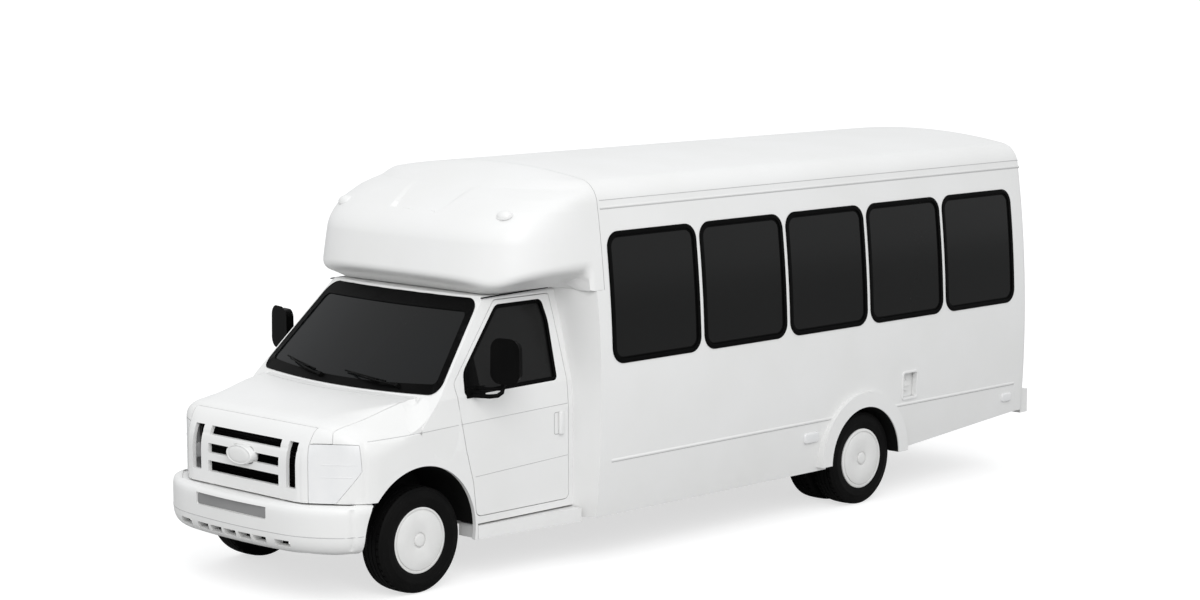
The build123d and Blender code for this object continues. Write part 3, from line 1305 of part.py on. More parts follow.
# ---- Entry doors, two leaves that swing out from the opening's edges ----
LEAF_R = (ENTRY_WIDTH - LEAF_GAP) / 2 - ENTRY_GAP
for name, hinge_y, direction in LEAVES:
    glass_mid = (hinge_y + direction * LEAF_R / 2, (LEAF_GLASS_LOW + LEAF_GLASS_HIGH) / 2)
    glass_size = (LEAF_GLASS_W, LEAF_GLASS_HIGH - LEAF_GLASS_LOW)
    with BuildPart() as leaf:
        add(BODY_SHELL)
        low, high = ENTRY_LOW + ENTRY_GAP, ENTRY_HIGH - ENTRY_GAP
        add(block(-FAR, 0, hinge_y, hinge_y + direction * ENTRY_WIDTH / 2, low, high), mode=Mode.INTERSECT)
        add(cylinder_z(-BODY_HALF_WIDTH, hinge_y, 0, FAR, LEAF_R), mode=Mode.INTERSECT)
        with BuildSketch(Plane.YZ.offset(-BODY_HALF_WIDTH / 2)):
            with Locations(glass_mid):
                RectangleRounded(*glass_size, LEAF_GLASS_R)
        extrude(amount=-BODY_HALF_WIDTH, mode=Mode.SUBTRACT)
        for z in ENTRY_HINGES:
            add(hinge_barrel(-BODY_HALF_WIDTH, hinge_y, z))
            add(hinge_room(-BODY_HALF_WIDTH, hinge_y, z), mode=Mode.SUBTRACT)
    export(leaf.part, f"entry_leaf_{name}")

    with BuildPart() as leaf_glass:
        with BuildSketch(Plane.YZ.offset(-BODY_HALF_WIDTH / 2)):
            with Locations(glass_mid):
                RectangleRounded(
                    glass_size[0] - 2 * GLASS_FIT, glass_size[1] - 2 * GLASS_FIT, LEAF_GLASS_R - GLASS_FIT
                )
        extrude(amount=-BODY_HALF_WIDTH)
        add(body_skin(WINDOW_DEPTH, WINDOW_T, BODY_FRONT_Y, BODY_REAR_Y), mode=Mode.INTERSECT)
    export(leaf_glass.part, f"entry_glass_{name}")

# ---- Front bumper and running boards ----
# Columns: half width, behind the front axle; one end of the bumper in plan.
BUMPER_SIDE = [(715, -862), (985, -640), (985, -300)]


def bumper_solid(inset):
    """The front bumper's outline in plan, moved in by inset, as a solid."""
    with BuildPart() as made:
        with BuildSketch(Plane.XY.offset(BUMPER_LOW)):
            with BuildLine():
                left = [(x, FRONT_AXLE_Y + behind) for x, behind in BUMPER_SIDE]
                right = [(-x, y) for x, y in left]
                ThreePointArc(right[0], (0, BUMPER_FACE_Y), left[0])
                FilletPolyline(*left, radius=BUMPER_CORNER_R)
                FilletPolyline(*right, radius=BUMPER_CORNER_R)
                Line(left[-1], right[-1])
            make_face()
            offset(amount=-inset)
        extrude(amount=BUMPER_TOP - BUMPER_LOW)
    return made.part


with BuildPart() as front_bumper:
    add(bumper_solid(0))
    add(bumper_solid(BUMPER_T), mode=Mode.SUBTRACT)
    add(block(-FAR, FAR, FRONT_AXLE_Y - BUMPER_BACK, FAR, 0, FAR), mode=Mode.SUBTRACT)
    add(cylinder_x(-FAR, FAR, *FRONT_ARCH, CAB_ARCH_R + BUMPER_END_GAP), mode=Mode.SUBTRACT)
    with BuildSketch(Plane.XZ.offset(-BUMPER_FACE_Y - BUMPER_CUT)):
        with Locations(*[(i * BUMPER_SLOT_PITCH, BUMPER_SLOT_Z) for i in range(-2, 3)]):
            Rectangle(BUMPER_SLOT_W, BUMPER_SLOT_H)
        for sign in SIDES.values():
            with Locations((sign * BUMPER_PORT_X, BUMPER_SLOT_Z)):
                Rectangle(BUMPER_PORT_W, BUMPER_SLOT_H)
    extrude(amount=FAR, mode=Mode.SUBTRACT)
    with BuildSketch(Plane.XZ.offset(-BUMPER_FACE_Y - BUMPER_RECESS)):
        with Locations((0, BUMPER_RECESS_Z)):
            Rectangle(2 * BUMPER_RECESS_HALF, BUMPER_RECESS_H)
    extrude(amount=FAR, mode=Mode.SUBTRACT)
    for sign in SIDES.values():
        x = sign * RAIL_HALF
        half = RAIL_W / 2
        add(block(x - half, x + half, BUMPER_FACE_Y + BUMPER_T, RAIL_FRONT_Y, RAIL_LOW, RAIL_TOP))
export(front_bumper.part, "front_bumper")

with BuildPart() as running_boards:
    for sign in SIDES.values():
        board = [
            (STEP_BOARD_INNER, STEP_BOARD_FRONT),
            (STEP_BOARD_OUTER_FRONT, STEP_BOARD_FRONT),
            (STEP_BOARD_OUTER_BACK, STEP_BOARD_BACK),
            (STEP_BOARD_INNER, STEP_BOARD_BACK),
        ]
        outline = [(sign * x, FRONT_AXLE_Y + behind) for x, behind in board]
        add(plan_prism(outline, STEP_BOARD_LOW, STEP_BOARD_LOW + STEP_BOARD_T))
        outer = RAIL_HALF + RAIL_W / 2
        for behind in STEP_BRACKETS:
            front_y = FRONT_AXLE_Y + behind - STEP_BRACKET_W / 2
            back_y = front_y + STEP_BRACKET_W
            low, t = STEP_BRACKET_LOW, STEP_BRACKET_T
            add(block(sign * outer, sign * (outer + t), front_y, back_y, low, RAIL_TOP - t))
            add(block(sign * outer, sign * STEP_BOARD_INNER, front_y, back_y, low, low + t))
export(running_boards.part, "running_boards")

# ---- Chassis frame ----
CROSSMEMBERS_Y = [FRONT_AXLE_Y + behind for behind in CROSSMEMBERS]
with BuildPart() as chassis_frame:
    for sign in SIDES.values():
        x = sign * RAIL_HALF
        half = RAIL_W / 2
        add(block(x - half, x + half, RAIL_FRONT_Y, RAIL_REAR_Y, RAIL_LOW, RAIL_TOP))
        web = x + sign * (half - RAIL_WALL)
        inner = x - sign * half
        add(
            block(inner, web, RAIL_FRONT_Y, RAIL_REAR_Y, RAIL_LOW + RAIL_WALL, RAIL_TOP - RAIL_WALL),
            mode=Mode.SUBTRACT,
        )
    reach = RAIL_HALF + RAIL_W / 2 - RAIL_WALL
    low = RAIL_LOW + RAIL_WALL + CROSSMEMBER_RAISE
    for y in CROSSMEMBERS_Y:
        add(block(-reach, reach, y - CROSSMEMBER_W / 2, y + CROSSMEMBER_W / 2, low, RAIL_TOP - RAIL_WALL))
export(chassis_frame.part, "chassis_frame")

with BuildPart() as engine:
    rear_y = FIREWALL_Y - ENGINE_GAP
    front_y, top = rear_y - ENGINE_LENGTH, ENGINE_LOW + ENGINE_HEIGHT
    add(block(-ENGINE_HALF, ENGINE_HALF, front_y, rear_y, ENGINE_LOW, top))
    chamfer(engine.faces().sort_by(Axis.Z)[-1].edges().filter_by(Axis.Y), ENGINE_CHAMFER)
    back_y, top = rear_y + GEARBOX_LENGTH, GEARBOX_LOW + GEARBOX_HEIGHT
    add(block(-GEARBOX_HALF, GEARBOX_HALF, rear_y, back_y, GEARBOX_LOW, top))
    mount_y = rear_y - (ENGINE_LENGTH + ENGINE_MOUNT_W) / 2
    back_y, top = mount_y + ENGINE_MOUNT_W, RAIL_TOP + ENGINE_MOUNT_T
    add(block(-RAIL_HALF, RAIL_HALF, mount_y, back_y, RAIL_TOP, top))
export(engine.part, "engine")
GEARBOX_BACK_Y = FIREWALL_Y - ENGINE_GAP + GEARBOX_LENGTH

PINION_Y = REAR_AXLE_Y - PINION_REACH
SHAFT_START = Vector(0, GEARBOX_BACK_Y, GEARBOX_LOW + DRIVESHAFT_R)
SHAFT_END = Vector(0, PINION_Y, TYRE_R)
with BuildPart() as driveshaft:
    with BuildSketch(Plane(SHAFT_START, z_dir=SHAFT_END - SHAFT_START)):
        Circle(DRIVESHAFT_R)
    extrude(amount=FAR / 2, both=True)
    add(block(-FAR, FAR, GEARBOX_BACK_Y, PINION_Y, 0, FAR), mode=Mode.INTERSECT)
export(driveshaft.part, "driveshaft")

with BuildPart() as fuel_tank:
    front_y = CROSSMEMBERS_Y[-2] - CROSSMEMBER_W / 2
    low = RAIL_LOW + RAIL_WALL + CROSSMEMBER_RAISE - TANK_HEIGHT
    add(block(-TANK_HALF, TANK_HALF, front_y, front_y + TANK_LENGTH, low, low + TANK_HEIGHT))
    fillet(fuel_tank.edges().filter_by(Axis.Y), TANK_R)
export(fuel_tank.part, "fuel_tank")

with BuildPart() as exhaust:
    for front, back, radius in (
        (EXHAUST_FRONT, EXHAUST_BACK, EXHAUST_R),
        (MUFFLER_FRONT, MUFFLER_FRONT + MUFFLER_LENGTH, MUFFLER_R),
    ):
        with BuildSketch(Plane.XZ.offset(-FRONT_AXLE_Y - back)):
            with Locations((EXHAUST_X, EXHAUST_Z)):
                Circle(radius)
        extrude(amount=back - front)
    for behind in EXHAUST_HANGERS:
        front_y = FRONT_AXLE_Y + behind - HANGER_W / 2
        back_y = front_y + HANGER_W
        top, half = RAIL_LOW + 2 * HANGER_T, HANGER_T / 2
        add(block(EXHAUST_X, -RAIL_HALF - RAIL_W / 2, front_y, back_y, top - HANGER_T, top))
        add(block(EXHAUST_X - half, EXHAUST_X + half, front_y, back_y, EXHAUST_Z, top))
export(exhaust.part, "exhaust")

# ---- Axles, knuckles and track rod ----
BEAM_TOP = TYRE_R + FRONT_BEAM_H / 2
BEAM_LOW = TYRE_R - FRONT_BEAM_H / 2
with BuildPart() as front_axle:
    half = FRONT_BEAM_W / 2
    y = FRONT_AXLE_Y
    add(block(-KINGPIN_X, KINGPIN_X, y - half, y + half, BEAM_LOW, BEAM_TOP))
    for sign in SIDES.values():
        add(cylinder_z(sign * KINGPIN_X, y, BEAM_LOW, BEAM_TOP, KINGPIN_BOSS_R))
        seat_z, seat_half = RAIL_TOP - COIL_SEAT_DROP, COIL_SEAT_W / 2
        add(cylinder_z(sign * COIL_X, y, TYRE_R, seat_z, COIL_R))
        outer, end = sign * (RAIL_HALF + RAIL_W / 2), sign * (COIL_X + COIL_R)
        add(block(outer, end, y - seat_half, y + seat_half, seat_z, seat_z + COIL_SEAT_T))
    for sign in SIDES.values():
        add(cylinder_z(sign * KINGPIN_X, y, 0, FAR, KINGPIN_R + AXLE_FIT), mode=Mode.SUBTRACT)
export(front_axle.part, "front_axle")

LUG_LOW = BEAM_LOW - KNUCKLE_LUG_GAP - KNUCKLE_LUG_T
LUG_TOP = BEAM_TOP + KNUCKLE_LUG_GAP + KNUCKLE_LUG_T
ROD_Z = LUG_LOW + KNUCKLE_LUG_T + TRACK_ROD_R + TRACK_ROD_GAP
FRONT_SPINDLE_TIP = FRONT_TRACK_HALF + FRONT_COVER - COVER_T - SPINDLE_END_GAP
for side, sign in SIDES.items():
    with BuildPart() as knuckle:
        x, y = sign * KINGPIN_X, FRONT_AXLE_Y
        half = KNUCKLE_HALF
        for low in (LUG_LOW, LUG_TOP - KNUCKLE_LUG_T):
            high = low + KNUCKLE_LUG_T
            add(block(x - sign * half, x + sign * KNUCKLE_REACH, y - half, y + half, low, high))
        web = x + sign * (KINGPIN_BOSS_R + KNUCKLE_WEB_GAP)
        add(block(web, x + sign * KNUCKLE_REACH, y - half, y + half, LUG_LOW, LUG_TOP))
        add(cylinder_z(x, y, LUG_LOW, LUG_TOP, KINGPIN_R))
        add(cylinder_x(web, sign * FRONT_SPINDLE_TIP, y, TYRE_R, FRONT_SPINDLE_R))
        half = STEER_ARM_W / 2
        add(block(x - half, x + half, y, y + STEER_ARM, LUG_LOW, LUG_LOW + KNUCKLE_LUG_T))
        add(cylinder_z(x, y + STEER_ARM, LUG_LOW, LUG_LOW + KNUCKLE_LUG_T, half))
        add(cylinder_z(x, y + STEER_ARM, 0, FAR, TRACK_PIN_R + AXLE_FIT), mode=Mode.SUBTRACT)
    export(knuckle.part, f"knuckle_{side}")

with BuildPart() as track_rod:
    y = FRONT_AXLE_Y + STEER_ARM
    add(cylinder_x(-KINGPIN_X, KINGPIN_X, y, ROD_Z, TRACK_ROD_R))
    for sign in SIDES.values():
        add(cylinder_z(sign * KINGPIN_X, y, ROD_Z - TRACK_ROD_R, ROD_Z + TRACK_ROD_R, TRACK_EYE_R))
        add(cylinder_z(sign * KINGPIN_X, y, LUG_LOW + TRACK_PIN_SHORT, ROD_Z, TRACK_PIN_R))
export(track_rod.part, "track_rod")

OUTER_DUAL_X = REAR_DUAL_HALF + DUAL_PITCH / 2
INNER_DUAL_X = REAR_DUAL_HALF - DUAL_PITCH / 2
REAR_SPINDLE_TIP = OUTER_DUAL_X + REAR_COVER - COVER_T - SPINDLE_END_GAP
REAR_TUBE_END = REAR_DUAL_HALF - REAR_HUB_INNER - REAR_TUBE_GAP
with BuildPart() as rear_axle:
    add(cylinder_x(-REAR_TUBE_END, REAR_TUBE_END, REAR_AXLE_Y, TYRE_R, REAR_TUBE_R))
    add(cylinder_x(-REAR_SPINDLE_TIP, REAR_SPINDLE_TIP, REAR_AXLE_Y, TYRE_R, REAR_SPINDLE_R))
    with Locations((0, REAR_AXLE_Y, TYRE_R)):
        Sphere(DIFF_R)
    with BuildSketch(Plane.XZ.offset(-REAR_AXLE_Y)):
        with Locations((0, TYRE_R)):
            Circle(PINION_R)
    extrude(amount=REAR_AXLE_Y - PINION_Y)
    for sign in SIDES.values():
        x = sign * RAIL_HALF
        half = RAIL_W / 2
        leaf_low = TYRE_R + REAR_TUBE_R - LEAF_DROP
        front, back = REAR_AXLE_Y - LEAF_LENGTH / 2, REAR_AXLE_Y + LEAF_LENGTH / 2
        add(block(x - half, x + half, front, back, leaf_low, leaf_low + LEAF_T))
        for y0, y1 in ((front, front + LEAF_EYE_L), (back - LEAF_EYE_L, back)):
            add(block(x - half, x + half, y0, y1, leaf_low + LEAF_T, RAIL_LOW))
export(rear_axle.part, "rear_axle")

# ---- Wheels and tyres ----


def tyre(middle_x, axle_y):
    """A tyre about a wheel's axis, in the middle of its width at middle_x."""
    with BuildPart() as made:
        with BuildSketch(Plane.XY.offset(TYRE_R)) as section:
            with Locations((middle_x, axle_y + (RIM_R + TYRE_R) / 2)):
                Rectangle(TYRE_W, TYRE_R - RIM_R)
            fillet(section.vertices().group_by(Axis.Y)[-1], TYRE_CORNER_R)
        revolve(axis=Axis((0, axle_y, TYRE_R), (1, 0, 0)))
    return made.part


def revolved_wheel(profile, axle_y):
    """A wheel turned from its half section, whose columns are X and radius."""
    with BuildPart() as made:
        with BuildSketch(Plane.XY.offset(TYRE_R)):
            with BuildLine():
                Polyline(*[(x, axle_y + radius) for x, radius in profile], close=True)
            make_face()
        revolve(axis=Axis((0, axle_y, TYRE_R), (1, 0, 0)))
    return made.part


RIM = RIM_R - RIM_FIT
RIM_HALF = TYRE_W / 2 - RIM_LIP
for side, sign in SIDES.items():
    front_middle = sign * FRONT_TRACK_HALF
    with BuildPart() as front_tyre:
        add(tyre(front_middle, FRONT_AXLE_Y))
    export(front_tyre.part, f"tyre_front_{side}")

    bore = FRONT_SPINDLE_R + AXLE_FIT
    # Columns: outboard of the tyre's middle, radius.
    front_profile = [
        (FRONT_COVER, 0),
        (FRONT_COVER, RIM - RIM_T),
        (RIM_HALF, RIM - RIM_T),
        (RIM_HALF, RIM),
        (-RIM_HALF, RIM),
        (-RIM_HALF, RIM - RIM_T),
        (FRONT_COVER - COVER_T, RIM - RIM_T),
        (FRONT_COVER - COVER_T, FRONT_HUB_R),
        (-FRONT_HUB_INNER, FRONT_HUB_R),
        (-FRONT_HUB_INNER, bore),
        (FRONT_COVER - COVER_T, bore),
        (FRONT_COVER - COVER_T, 0),
    ]
    with BuildPart() as front_wheel:
        add(revolved_wheel([(sign * (FRONT_TRACK_HALF + x), r) for x, r in front_profile], FRONT_AXLE_Y))
    export(front_wheel.part, f"wheel_front_{side}")

    with BuildPart() as rear_tyres:
        for middle in (INNER_DUAL_X, OUTER_DUAL_X):
            add(tyre(sign * middle, REAR_AXLE_Y))
    export(rear_tyres.part, f"tyres_rear_{side}")

    bore = REAR_SPINDLE_R + AXLE_FIT
    inside = RIM - RIM_T
    cover_x = OUTER_DUAL_X + REAR_COVER
    # Columns: half width of the vehicle, radius.
    rear_profile = [
        (cover_x, 0),
        (cover_x, RIM),
        (INNER_DUAL_X - RIM_HALF, RIM),
        (INNER_DUAL_X - RIM_HALF, inside),
        (REAR_DUAL_HALF - WEB_HALF, inside),
        (REAR_DUAL_HALF - WEB_HALF, REAR_HUB_R),
        (REAR_DUAL_HALF - REAR_HUB_INNER, REAR_HUB_R),
        (REAR_DUAL_HALF - REAR_HUB_INNER, bore),
        (cover_x - COVER_T, bore),
        (cover_x - COVER_T, 0),
    ]
    with BuildPart() as rear_wheels:
        add(revolved_wheel([(sign * x, r) for x, r in rear_profile], REAR_AXLE_Y))
        outer_hollow = [
            (REAR_DUAL_HALF + WEB_HALF, REAR_HUB_R),
            (REAR_DUAL_HALF + WEB_HALF, inside),
            (cover_x - COVER_T, inside),
            (cover_x - COVER_T, REAR_HUB_R),
        ]
        add(revolved_wheel([(sign * x, r) for x, r in outer_hollow], REAR_AXLE_Y), mode=Mode.SUBTRACT)
    export(rear_wheels.part, f"wheels_rear_{side}")

# ---- Front wheelhouse liners ----
with BuildPart() as front_liners:
    for sign in SIDES.values():
        inner, outer = sign * LINER_INNER, sign * (CAB_HALF_WIDTH - PANEL_T)
        add(cylinder_x(inner, outer, *FRONT_ARCH, CAB_ARCH_R + LINER_T))
    for sign in SIDES.values():
        inner = sign * (LINER_INNER + LINER_T)
        add(cylinder_x(inner, sign * FAR, *FRONT_ARCH, CAB_ARCH_R), mode=Mode.SUBTRACT)
    add(block(-FAR, FAR, -FAR, FAR, -FAR, SILL_LOW_Z), mode=Mode.SUBTRACT)
    add(fenders.part, mode=Mode.SUBTRACT)
    plate = LINER_INNER + LINER_T
    add(block(-plate, plate, -FAR, FAR, 0, RAIL_TOP + LINER_FOOT_GAP), mode=Mode.SUBTRACT)
export(front_liners.part, "front_liners")
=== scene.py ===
"""Looks of a cutaway minibus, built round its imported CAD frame.

Metres throughout: +X is the vehicle's left, +Y its rear, +Z up, with the origin on the ground.
"""

import logging
import math
from dataclasses import dataclass
from enum import Enum
from typing import Callable, ClassVar, Iterable, Optional, Sequence, Union

import bmesh
import bpy
import numpy as np
from bmesh.types import BMEdge, BMesh, BMFace, BMVert
from mathutils import Matrix, Vector
from mathutils.bvhtree import BVHTree


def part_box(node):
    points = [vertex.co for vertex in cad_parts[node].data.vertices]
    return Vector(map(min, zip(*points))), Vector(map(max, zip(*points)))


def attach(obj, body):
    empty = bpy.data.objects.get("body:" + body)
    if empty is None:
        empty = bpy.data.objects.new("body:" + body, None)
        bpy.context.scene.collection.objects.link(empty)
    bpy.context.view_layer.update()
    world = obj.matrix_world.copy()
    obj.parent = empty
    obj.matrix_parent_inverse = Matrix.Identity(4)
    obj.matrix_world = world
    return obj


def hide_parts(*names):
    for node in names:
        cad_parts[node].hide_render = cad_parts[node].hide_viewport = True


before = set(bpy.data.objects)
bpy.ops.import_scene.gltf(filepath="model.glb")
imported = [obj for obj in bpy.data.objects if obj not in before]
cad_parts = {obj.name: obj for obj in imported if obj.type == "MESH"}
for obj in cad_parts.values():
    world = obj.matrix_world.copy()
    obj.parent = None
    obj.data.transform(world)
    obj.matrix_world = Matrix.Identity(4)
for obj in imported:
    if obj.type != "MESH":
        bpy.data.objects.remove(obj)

logging.basicConfig(level=logging.INFO, format="%(name)s: %(message)s")
log = logging.getLogger("minibus")
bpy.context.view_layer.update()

Point2 = tuple[float, float]
Point3 = tuple[float, float, float]
Colour = tuple[float, float, float]
Floats = Union[float, np.ndarray]

FRONT_AXLE_Y = -2.930
REAR_AXLE_Y = 1.540
AXLE_Z = 0.372
TAIL_Y = 3.735
SIDE_HALF = 1.215
SIDE_RADIUS = 9.1
SIDE_MIDDLE_Z = 1.2
ACROSS: Point3 = (1, 0, 0)
SIDES = {"left": 1, "right": -1}


class Body(Enum):
    """The moving bodies that a piece can ride on."""

    VEHICLE = "vehicle"
    HOOD = "hood"
    CAB_DOOR_LEFT = "cab_door_left"
    CAB_DOOR_RIGHT = "cab_door_right"
    ENTRY_FRONT = "entry_leaf_front"
    ENTRY_REAR = "entry_leaf_rear"
    REAR_DOOR = "rear_door"
    KNUCKLE_LEFT = "knuckle_left"
    KNUCKLE_RIGHT = "knuckle_right"
    TRACK_ROD = "track_rod"
    WHEEL_LEFT = "front_wheel_left"
    WHEEL_RIGHT = "front_wheel_right"
    REAR_WHEELS_LEFT = "rear_wheels_left"
    REAR_WHEELS_RIGHT = "rear_wheels_right"


class Slot(Enum):
    """The record's material slots."""

    PAINT = "body_paint"
    WHEEL = "wheel_paint"
    GLASS = "window_glass"
    LENS = "lamp_lens"
    TRIM = "black_trim"
    RUBBER = "tyre_rubber"
    CHASSIS = "chassis_black"
    IRON = "engine_iron"
    STEEL = "exhaust_steel"
    FLOOR = "floor_board"
    FABRIC = "seat_fabric"


def side_x(z: Floats, inset: float = 0.0) -> Floats:
    """Half width of the barrelled coach body at height z, moved in by inset."""
    return SIDE_HALF - SIDE_RADIUS + np.sqrt((SIDE_RADIUS - inset) ** 2 - (z - SIDE_MIDDLE_Z) ** 2)


def stretch(start: float, end: float, steps: int) -> list[float]:
    """Evenly spaced stations from start to end."""
    return [start + (end - start) * i / steps for i in range(steps + 1)]


def upright(low: Point2, high: Point2, x: float = 0.0) -> list[Point3]:
    """The corners of a rectangle seen from the side, from (along, up) to (along, up)."""
    (y0, z0), (y1, z1) = low, high
    return [(x, y0, z0), (x, y1, z0), (x, y1, z1), (x, y0, z1)]


def facing(middle: Point2, half: float, rise: float, y: float = 0.0,
           top: float = 1.0) -> list[Point3]:
    """The corners of a rectangle seen from the front or rear.

    Args:
        middle: Its middle, across and up.
        half: Half its width.
        rise: Half its height.
        y: Where it is along the vehicle.
        top: Width of its top as a share of its foot's.

    Returns:
        The corners in order.
    """
    x, z = middle
    return [(x - half, y, z - rise), (x + half, y, z - rise),
            (x + half * top, y, z + rise), (x - half * top, y, z + rise)]


# ---- Shader groups -------------------------------------------------------------------------------


def add_node(tree: bpy.types.NodeTree, kind: str, inputs: Optional[dict] = None,
             **traits: object) -> bpy.types.Node:
    """Adds a shader node.

    Args:
        tree: The tree it is added to.
        kind: Its type, without the ShaderNode in front.
        inputs: Values of its inputs, by name or number.
        **traits: Its other properties.

    Returns:
        The node.
    """
    made = tree.nodes.new(f"ShaderNode{kind}")
    for label, value in traits.items():
        setattr(made, label, value)
    for label, value in (inputs or {}).items():
        made.inputs[label].default_value = value
    return made


class Effect(Enum):
    """The shader groups that several finishes share."""

    DRIFT = "tone_drift"
    GRAIN = "fine_grain"
    FILM = "road_film"
    WEAVE = "plain_weave"


class Effects:
    """Builds the shared shader groups, each of them once."""

    @classmethod
    def get(cls, effect: Effect) -> bpy.types.NodeTree:
        """The group of an effect, built the first time it is asked for.

        Args:
            effect: The effect.

        Returns:
            The shader group.
        """
        if effect.value not in bpy.data.node_groups:
            build = {Effect.DRIFT: cls._drift, Effect.GRAIN: cls._grain, Effect.FILM: cls._film,
                     Effect.WEAVE: cls._weave}[effect]
            build()
        return bpy.data.node_groups[effect.value]

    @staticmethod
    def _begin(effect: Effect, inputs: dict[str, float], outputs: Sequence[str]) -> tuple:
        """Starts a group.

        Args:
            effect: The effect, whose name the group takes.
            inputs: Its inputs and their defaults.
            outputs: Its outputs.

        Returns:
            The tree, its input sockets, its output sockets and the object coordinates.
        """
        tree = bpy.data.node_groups.new(effect.value, "ShaderNodeTree")
        new_socket = tree.interface.new_socket
        for label, value in inputs.items():
            socket = new_socket(name=label, in_out="INPUT", socket_type="NodeSocketFloat")
            socket.default_value = value
        for label in outputs:
            new_socket(name=label, in_out="OUTPUT", socket_type="NodeSocketFloat")
        start, end = tree.nodes.new("NodeGroupInput"), tree.nodes.new("NodeGroupOutput")
        return tree, start.outputs, end.inputs, add_node(tree, "TexCoord").outputs["Object"]

    @classmethod
    def _drift(cls) -> None:
        """Slow patches of tone: a mask from 0 to 1 that drifts over the surface."""
        tree, given, out, where = cls._begin(Effect.DRIFT, {"Scale": 2.0, "Contrast": 1.0},
                                             ["Mask"])
        noise = add_node(tree, "TexNoise", {"Detail": 4.0})
        spread = add_node(tree, "MapRange", {"From Min": 0.3, "From Max": 0.7})
        link = tree.links.new
        link(where, noise.inputs["Vector"])
        link(given["Scale"], noise.inputs["Scale"])
        link(noise.outputs["Fac"], spread.inputs["Value"])
        link(given["Contrast"], spread.inputs["To Max"])
        link(spread.outputs["Result"], out["Mask"])

    @classmethod
    def _grain(cls) -> None:
        """Fine grain: a height for a Bump node and a roughness mask."""
        tree, given, out, where = cls._begin(Effect.GRAIN, {"Scale": 400.0}, ["Height", "Mask"])
        noise = add_node(tree, "TexNoise", {"Detail": 3.0})
        link = tree.links.new
        link(where, noise.inputs["Vector"])
        link(given["Scale"], noise.inputs["Scale"])
        link(noise.outputs["Fac"], out["Height"])
        link(noise.outputs["Fac"], out["Mask"])

    @classmethod
    def _film(cls) -> None:
        """Dust from the road: a mask that is strongest near the ground and breaks up above."""
        tree, given, out, where = cls._begin(Effect.FILM, {"Reach": 0.8, "Amount": 0.3}, ["Mask"])
        split = add_node(tree, "SeparateXYZ")
        noise = add_node(tree, "TexNoise", {"Detail": 5.0, "Scale": 7.0})
        fade = add_node(tree, "MapRange", {"To Min": 1.0, "To Max": 0.0},
                        interpolation_type="SMOOTHSTEP")
        broken = add_node(tree, "Math", operation="MULTIPLY")
        amount = add_node(tree, "Math", operation="MULTIPLY")
        link = tree.links.new
        link(where, split.inputs[0])
        link(where, noise.inputs["Vector"])
        link(split.outputs["Z"], fade.inputs["Value"])
        link(given["Reach"], fade.inputs["From Max"])
        link(fade.outputs["Result"], broken.inputs[0])
        link(noise.outputs["Fac"], broken.inputs[1])
        link(broken.outputs[0], amount.inputs[0])
        link(given["Amount"], amount.inputs[1])
        link(amount.outputs[0], out["Mask"])

    @classmethod
    def _weave(cls) -> None:
        """A plain woven cloth: a height and a mask of its threads."""
        tree, given, out, where = cls._begin(Effect.WEAVE, {"Scale": 260.0}, ["Height", "Mask"])
        link, threads = tree.links.new, []
        for axis in ("X", "Y", "Z"):
            wave = add_node(tree, "TexWave", {"Distortion": 0.6}, bands_direction=axis)
            link(where, wave.inputs["Vector"])
            link(given["Scale"], wave.inputs["Scale"])
            threads.append(wave.outputs["Fac"])
        along = add_node(tree, "Math", operation="MAXIMUM")
        woven = add_node(tree, "Math", operation="MULTIPLY")
        link(threads[1], along.inputs[0])
        link(threads[2], along.inputs[1])
        link(along.outputs[0], woven.inputs[0])
        link(threads[0], woven.inputs[1])
        link(woven.outputs[0], out["Height"])
        link(woven.outputs[0], out["Mask"])


